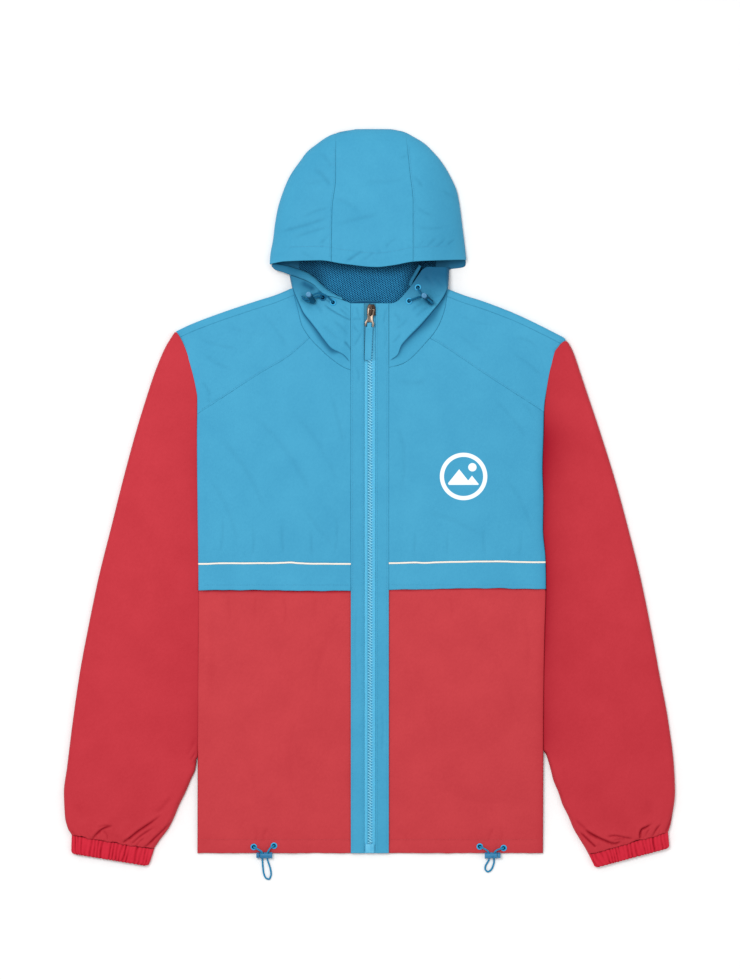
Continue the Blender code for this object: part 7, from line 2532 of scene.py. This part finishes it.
@dataclass
class Hardware:
    """Eyelets and cord locks."""

    lock_radius: float = 3.6
    hem_scale: float = 1.18
    groove: float = 0.9
    barrel: float = 15.5
    button: float = 4.0
    hole_step: float = 3.2
    hole: float = 1.6
    eyelet_radius: float = 4.1
    eyelet_hole: float = 2.3
    locks: tuple[Lock, ...] = (
        Lock("hem_left", (-130.4, -445.6, 4.3), (-1, 0, 0), (0, 0.87, 0.5)),
        Lock("hem_right", (152.0, -445.6, 4.3), (1, 0, 0), (0, 0.87, 0.5)),
        Lock("hood_left", (-73.1, 249.3, 22.4), (-0.305, 0.452, 0.839), (0.83, 0.56, 0)),
        Lock("hood_right", (71.9, 248.2, 22.4), (-0.462, 0.426, 0.777), (-0.57, 0.526, -0.629)))

    def make(self) -> None:
        """Build all trim."""
        for lock in self.locks:
            self.make_lock(lock)
        for name in EYELETS:
            self.make_eyelet(name)

    def make_eyelet(self, name: str) -> None:
        """Build a rolled ring that sits where its node does."""
        node = frame["nodes"][f"eyelet_{name}"]
        points = np.array([node.matrix_world @ v.co for v in node.data.vertices]) / MM
        spreadout = points - points.mean(axis=0)
        _, _, ways = np.linalg.svd(spreadout, full_matrices=False)
        normal = ways[2] * np.sign(ways[2][2])
        foot = points.mean(axis=0) + normal * float((spreadout @ normal).min())
        deselect()
        wide = (self.eyelet_radius - self.eyelet_hole) / 2
        bpy.ops.mesh.primitive_torus_add(
            major_radius=(self.eyelet_radius + self.eyelet_hole) / 2 * MM, minor_radius=wide * MM,
            major_segments=40, minor_segments=14)
        ring = Bench.added(f"eyelet_{name}_part", (1, 1, 1.15 / (2 * wide)))
        aim = frame_at(foot + normal * 0.5, normal, (1, 0, 0))
        barrel = Bench.rod("barrel", -0.5, self.eyelet_hole + 0.25, 1.2)
        bore = Bench.rod("bore", -0.5, self.eyelet_hole - 0.05, 3.0)
        Bench.cut(barrel, bore)
        Bench.cut(ring, barrel, "UNION")
        settle(ring, aim)
        # The upper left hood eyelet lies in shadow and gets the darker copy: painted shade.
        finish = Finish.EYELET_SHADED if name == "hood_left_upper" else Finish.EYELET
        dress(Bench.smooth(ring, 50), finish, f"eyelet_{name}")
        # A near-black disc in the ring stands for the shadowed hole: painted shade.
        hole = Bench.rod(f"eyelet_{name}_hole", -0.2, self.eyelet_hole - 0.08, 0.5, 28)
        dress(Bench.smooth(settle(hole, aim), 50), Finish.HOLE)

    def make_lock(self, lock: Lock) -> None:
        """Build a barrel lock with its two cord holes, grooves and spring button."""
        low, high = -self.barrel * 0.55, self.barrel * 0.45
        at_hem = lock.name.startswith("hem")
        r = self.lock_radius * (self.hem_scale if at_hem else 1.0)
        aim = frame_at(lock.middle, lock.axis, lock.hole_axis)
        grooves = ((low + 1.9, low + 2.6), (high - 2.2, high - 1.5))
        body = Bench.rod(f"lock_{lock.name}_part", (low + high) / 2, r, self.barrel, 40, 0.7)
        Bench.pick(body, "EDGE", lambda edge: True)
        for z in (z for groove in grooves for z in groove):
            bpy.ops.mesh.select_all(action="SELECT")
            bpy.ops.mesh.bisect(plane_co=(0, 0, z * MM), plane_no=(0, 0, 1))
        Bench.close()
        for low_z, high_z in grooves:
            Bench.pick(body, "FACE", lambda f, a=low_z, b=high_z: a * MM < f.calc_center_median().z
                       < b * MM and abs(f.normal.z) < 0.3)
            bpy.ops.transform.resize(value=(self.groove, self.groove, 1))
            Bench.close()
        for step in (-self.hole_step, self.hole_step):
            bore = Bench.rod("bore", 0, self.hole, 4 * r, 24)
            bore.data.transform(Matrix.Translation((0, 0, step * MM))
                                @ Matrix.Rotation(math.pi / 2, 4, "Y"))
            Bench.cut(body, bore)
        # The hood's locks get the darker copy of the plastic: painted shade.
        dress(Bench.smooth(settle(body, aim), 30), Finish.LOCK if at_hem else Finish.LOCK_SHADED,
              f"lock_{lock.name}")
        button = Bench.rod(f"lock_button_{lock.name}_part", high + CUT.gap + self.button / 2,
                           r * 0.86, self.button, 40, 0.6)
        Bench.inset(button, lambda f: f.normal.z > 0.99, 0.7, (0, 0, -0.35))
        # The hood locks' buttons get the lighter copy: painted highlight.
        dress(Bench.smooth(settle(button, aim), 30), Finish.LOCK if at_hem else Finish.BUTTON,
              f"lock_button_{lock.name}")


@dataclass(frozen=True)
class Drawcord:
    """A round drawcord: its route from one eyelet, through its lock, back to the other."""

    name: str
    route: Rows
    length: float
    radius: float = 1.1
    sides: int = 14

    def points(self, step: float = 0.8) -> np.ndarray:
        """Return close points on a smooth line through the route."""
        array = np.array(self.route, float)
        run = lengths(array)
        return Smooth(run, array, snug=False)(np.linspace(0, run[-1], int(run[-1] / step)))

    def make(self) -> None:
        path = self.points()
        verts, uvs = [], []
        ahead = np.gradient(path, axis=0)
        ahead /= np.linalg.norm(ahead, axis=1, keepdims=True)
        across = np.cross(ahead[0], (0.3, 0.2, 1.0))
        for place, way, at in zip(path, ahead, lengths(path)):
            across = across - way * across.dot(way)
            across /= np.linalg.norm(across)
            up = np.cross(way, across)
            for k in range(self.sides + 1):
                turn = 2 * math.pi * k / self.sides
                verts.append(place + self.radius * (across * math.cos(turn) + up * math.sin(turn)))
                uvs.append((2 * k / self.sides / MM, at))
        faces = grid_faces(len(path), self.sides + 1)[:, ::-1]
        obj = new_mesh(f"{self.name}_braid", np.array(verts), faces, np.array(uvs))
        with editing(obj.data) as bm:
            bmesh.ops.remove_doubles(bm, verts=bm.verts, dist=1e-7)
            bmesh.ops.holes_fill(bm, edges=[e for e in bm.edges if e.is_boundary])
            bmesh.ops.recalc_face_normals(bm, faces=bm.faces)
        # The hood's cords get the darker copy of the braid: painted shade.
        dress(obj, Finish.CORD if "hem" in self.name else Finish.CORD_SHADED, self.name)
        tuple(path[0] * MM)
        [tuple(p * MM) for p in path]


CORDS = (
    Drawcord("cord_hem_left", (
        (-144.92, -434.9, 3.24), (-144.89, -435.06, 5.63), (-144.41, -435.36, 7.21),
        (-142.4, -436.3, 8.0), (-138.4, -438.5, 8.3), (-135.2, -440.8, 7.6),
        (-134.2, -443.51, 6.19), (-134.2, -447.5, 3.9), (-134.2, -451.49, 1.61),
        (-134.0, -455.0, 1.5), (-133.4, -462.5, 1.5), (-132.2, -469.5, 1.5),
        (-129.4, -474.6, 1.5), (-125.8, -475.6, 1.5), (-123.7, -471.5, 1.5),
        (-124.2, -463.0, 1.5), (-126.6, -455.2, 1.5), (-127.8, -451.49, 1.61),
        (-127.8, -447.5, 3.9), (-127.8, -443.51, 6.19), (-127.0, -440.6, 7.9),
        (-125.2, -437.4, 8.6), (-122.0, -434.6, 8.2), (-120.18, -433.86, 7.31),
        (-119.64, -433.57, 5.75), (-119.53, -433.39, 3.36)), 0.1085),
    Drawcord("cord_hem_right", (
        (167.04, -436.3, 3.08), (167.14, -436.46, 5.47), (166.71, -436.6, 7.08),
        (164.6, -436.8, 8.2), (160.4, -438.0, 8.5), (156.6, -440.4, 7.9),
        (155.2, -443.51, 6.19), (155.2, -447.5, 3.9), (155.2, -451.49, 1.61),
        (155.2, -454.6, 1.5), (154.0, -459.0, 1.5), (151.4, -464.2, 1.5),
        (147.4, -466.4, 1.5), (144.4, -463.6, 1.5), (144.6, -459.2, 1.5),
        (147.2, -454.6, 1.5), (148.8, -451.49, 1.61), (148.8, -447.5, 3.9),
        (148.8, -443.51, 6.19), (147.6, -440.4, 7.8), (144.4, -437.8, 8.5),
        (139.8, -435.6, 8.2), (137.69, -434.79, 7.58), (137.27, -434.54, 5.98),
        (137.35, -434.43, 3.58)), 0.0935),
    Drawcord("cord_hood_left", (
        (-45.9, 244.38, 13.09), (-45.9, 244.41, 15.49), (-46.22, 244.81, 17.09),
        (-49.0, 248.0, 20.4), (-54.5, 252.2, 23.4), (-60.5, 254.8, 24.8),
        (-66.0, 255.0, 25.2), (-70.26, 253.32, 25.08), (-74.08, 250.75, 25.08),
        (-77.89, 248.17, 25.08), (-81.2, 248.2, 24.8), (-83.9, 250.7, 23.6),
        (-84.2, 251.4, 21.3), (-82.2, 248.6, 19.8), (-79.2, 246.2, 19.6),
        (-75.94, 245.28, 19.72), (-72.12, 247.85, 19.72), (-68.31, 250.43, 19.72),
        (-65.2, 251.6, 20.0), (-61.4, 251.4, 19.9), (-59.07, 250.62, 16.32),
        (-58.6, 250.53, 14.72), (-58.59, 250.71, 12.32)), 0.0895),
    Drawcord("cord_hood_right", (
        (60.13, 262.91, 14.24), (59.92, 263.05, 16.62), (59.91, 262.66, 18.25),
        (60.6, 259.6, 20.4), (62.4, 256.2, 20.9), (64.8, 253.9, 20.8), (67.79, 251.99, 21.99),
        (70.42, 249.56, 24.89), (73.05, 247.14, 27.79), (75.0, 245.7, 29.0),
        (77.5, 243.7, 28.4), (78.5, 242.6, 26.0), (76.01, 244.41, 22.81),
        (73.38, 246.84, 19.91), (70.75, 249.26, 17.01), (67.3, 251.7, 16.2),
        (62.0, 251.0, 17.8), (55.5, 249.0, 19.2), (51.5, 247.2, 18.9), (49.13, 246.36, 18.3),
        (48.88, 246.07, 16.67), (49.2, 245.88, 14.3)), 0.0795),
)


# ---------------------------------------------------------------- sewing
@dataclass
class Sewing:
    """Rows of lockstitches laid on the finished cloth."""

    length: float = 2.3
    pitch: float = 2.9
    width: float = 0.34

    def model(self) -> bpy.types.Object:
        """Return one stitch: a slim bead that lies along X."""
        deselect()
        bpy.ops.mesh.primitive_uv_sphere_add(segments=6, ring_count=4, radius=0.5 * MM)
        bead = bpy.context.object
        bead.data.transform(Matrix.Rotation(math.pi / 2, 4, "Y"))
        bead.data.transform(Matrix.Diagonal((self.length, self.width, self.width, 1)))
        return bead

    def row(self, surface: Surface, route: np.ndarray) -> list[Matrix]:
        """Return the places of the stitches along a route in plan.

        Args:
            surface: The cloth under the stitches.
            route: Points of x and y in mm.

        Returns:
            A matrix for each stitch.
        """
        run = lengths(route)
        if run[-1] < 2 * self.pitch:
            return []
        places = []
        at = np.arange(self.pitch / 2, run[-1] - self.pitch / 2, self.pitch)
        xs, ys = (np.interp(at, run, route[:, k]) for k in (0, 1))
        ends = [np.interp(at + self.pitch / 2, run, route[:, k]) for k in (0, 1)]
        for x, y, x2, y2 in zip(xs, ys, *ends):
            spot, normal = surface.drop(x, y)
            tip, _ = surface.drop(x2, y2)
            ahead = tip - spot
            if np.linalg.norm(ahead) > 1.6 * self.pitch:
                ahead = np.array([x2 - x, y2 - y, 0])
            places.append(frame_at(spot + normal * 0.04, normal, ahead))
        return places

    def make(self, name: str, finish: Finish, rows: Sequence[tuple[Surface, np.ndarray]]) -> None:
        """Build one piece of all rows in one thread."""
        places = [m for surface, route in rows for m in self.row(surface, route)]
        dress(Bench.repeat(name, self.model(), places), finish)


def sew() -> None:
    """Lay every visible row of stitches."""
    blue: list[tuple[Surface, np.ndarray]] = []
    red: list[tuple[Surface, np.ndarray]] = []

    def on(*nodes: str) -> Surface:
        """Return the finished face of some cloth pieces."""
        return Surface(*(bpy.data.objects[piece_name(node)] for node in nodes))

    for half in HALVES:
        word, sign = half.side.word, half.sign
        facing = on(f"zip_facing_{word}")
        y = np.linspace(CUT.hem_y + 3, CUT.zip_top_y - 3, 200)
        for out in (CUT.facing_in + 2.6, CUT.facing_out - 2.4):
            blue.append((facing, np.stack([0 * y + sign * out, y], axis=-1)))
        first, seam_y = CUT.facing_out, half.yoke_seam[-1][1]
        low = CUT.piping_y - CUT.flap_depth + CUT.flap_stitch
        high = CUT.piping_y + CUT.piping_width / 2 + 2.0
        flap_out = np.linspace(first + 3, float(half.edge(CUT.piping_y)) - 5, 60)
        yoke_out = np.linspace(CUT.neck_peak + 3, float(half.edge(seam_y)) - 4, 60)
        hem = CUT.hem_y + CUT.hem_channel
        hem_out = np.linspace(first + 2, float(half.edge(hem)) - 4, 60)
        yoke_y = column(half.yoke_seam, yoke_out) + 2.2
        for rows, node, out, y in ((blue, "storm_flap", flap_out, low),
                                   (blue, "chest", flap_out, high),
                                   (blue, "front_yoke", yoke_out, yoke_y),
                                   (red, "lower_front", hem_out, hem)):
            rows.append((on(f"{node}_{word}"), np.stack([sign * out, 0 * out + y], axis=-1)))
    hood = on("hood_crown", "hood_side_left", "hood_side_right")
    x = np.linspace(-100, 98, 90)
    blue.append((hood, np.stack([x, HOOD.brim_y(x) + CUT.brim_stitch], axis=-1)))
    y = np.linspace(300, 440, 60)
    for half in HALVES:
        blue.append((hood, np.stack([half.sign * (half.hood_seam_out(y) + 2.0), y], axis=-1)))
    sewing = Sewing()
    sewing.make("stitching_blue", Finish.THREAD_BLUE, blue)
    sewing.make("stitching_red", Finish.THREAD_RED, red)


# ---------------------------------------------------------------- studio
@dataclass
class Studio:
    """Camera straight above, a pale floor and soft light."""

    middle: tuple[float, float] = (0.25, 10.6)
    view_width: float = 925.0
    lens: float = 200.0
    key: float = 37.0
    fill: float = 8.0
    sky: float = 0.7

    def place_camera(self) -> None:
        """Put a long lens above the jacket."""
        data = bpy.data.cameras.new("camera")
        data.sensor_fit, data.sensor_width, data.lens = "HORIZONTAL", 36.0, self.lens
        distance = self.view_width * MM * self.lens / 36.0
        data.clip_start, data.clip_end = 0.1, 50.0
        camera = placed("camera", data)
        camera.location = (self.middle[0] * MM, self.middle[1] * MM, distance)
        bpy.context.scene.camera = camera

    def lamp(self, name: str, place: Point, size: float, power: float) -> None:
        """Hang a soft lamp that looks at the origin, in metres."""
        data = bpy.data.lights.new(name, "AREA")
        data.shape, data.size, data.energy = "DISK", size, power
        lamp = placed(name, data)
        lamp.location = place
        lamp.rotation_euler = (-Vector(place)).to_track_quat("-Z", "Y").to_euler()

    def make_floor(self) -> None:
        """Lay the floor."""
        deselect()
        bpy.ops.mesh.primitive_plane_add(size=8.0, location=(0, 0, 0))
        floor = bpy.context.object
        floor.name = "floor"
        sheet = Shading("floor_paper")
        grain = sheet.noise(sheet.place(), 90, 3.0)
        # Painted light: the floor glows slightly, more towards the lower right, to even out the
        # lamps' fall-off.
        along_x, along_y, _ = sheet.parts(sheet.place())
        far = along_x * 0.7 - along_y
        sheet.done(Base_Color=sheet.blend(grain, (0.86, 0.86, 0.86), (0.9, 0.9, 0.9)),
                   Roughness=0.85, Specular_IOR_Level=0.1, Emission_Strength=0.09,
                   Emission_Color=sheet.blend(far.ramp(-0.35, 0.95), (0, 0, 0), (1, 1, 1)))
        floor.data.materials.append(sheet.material)

    def light(self) -> None:
        """Light the scene softly from the upper left."""
        world = bpy.data.worlds.new("studio")
        world.use_nodes = True
        back = world.node_tree.nodes["Background"]
        back.inputs["Color"].default_value = (1, 1, 1, 1)
        back.inputs["Strength"].default_value = self.sky
        bpy.context.scene.world = world
        bpy.context.scene.view_settings.view_transform = "Standard"
        self.lamp("key", (-0.85, 0.7, 2.55), 1.1, self.key)
        self.lamp("fill", (1.8, 0.6, 2.4), 1.8, self.fill)


def main() -> None:
    """Build the scene: camera and cords first, then cloth, zip, trim, sewing and light."""
    logging.basicConfig(level=logging.INFO, format="%(message)s")
    studio = Studio()
    studio.place_camera()
    studio.make_floor()
    hardware = Hardware()
    hardware.make()
    for cord in CORDS:
        cord.make()
    Back().make()
    for half, seed in ((LEFT, 0), (RIGHT, 3)):
        Front(half, seed).make()
        Sleeve(half, seed + 1).make()
        Collar(half, seed + 2).make()
    Hood().make()
    Zip().make()
    sew()
    studio.light()


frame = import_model()

if __name__ == "__main__":
    main()
    bpy.context.view_layer.update()
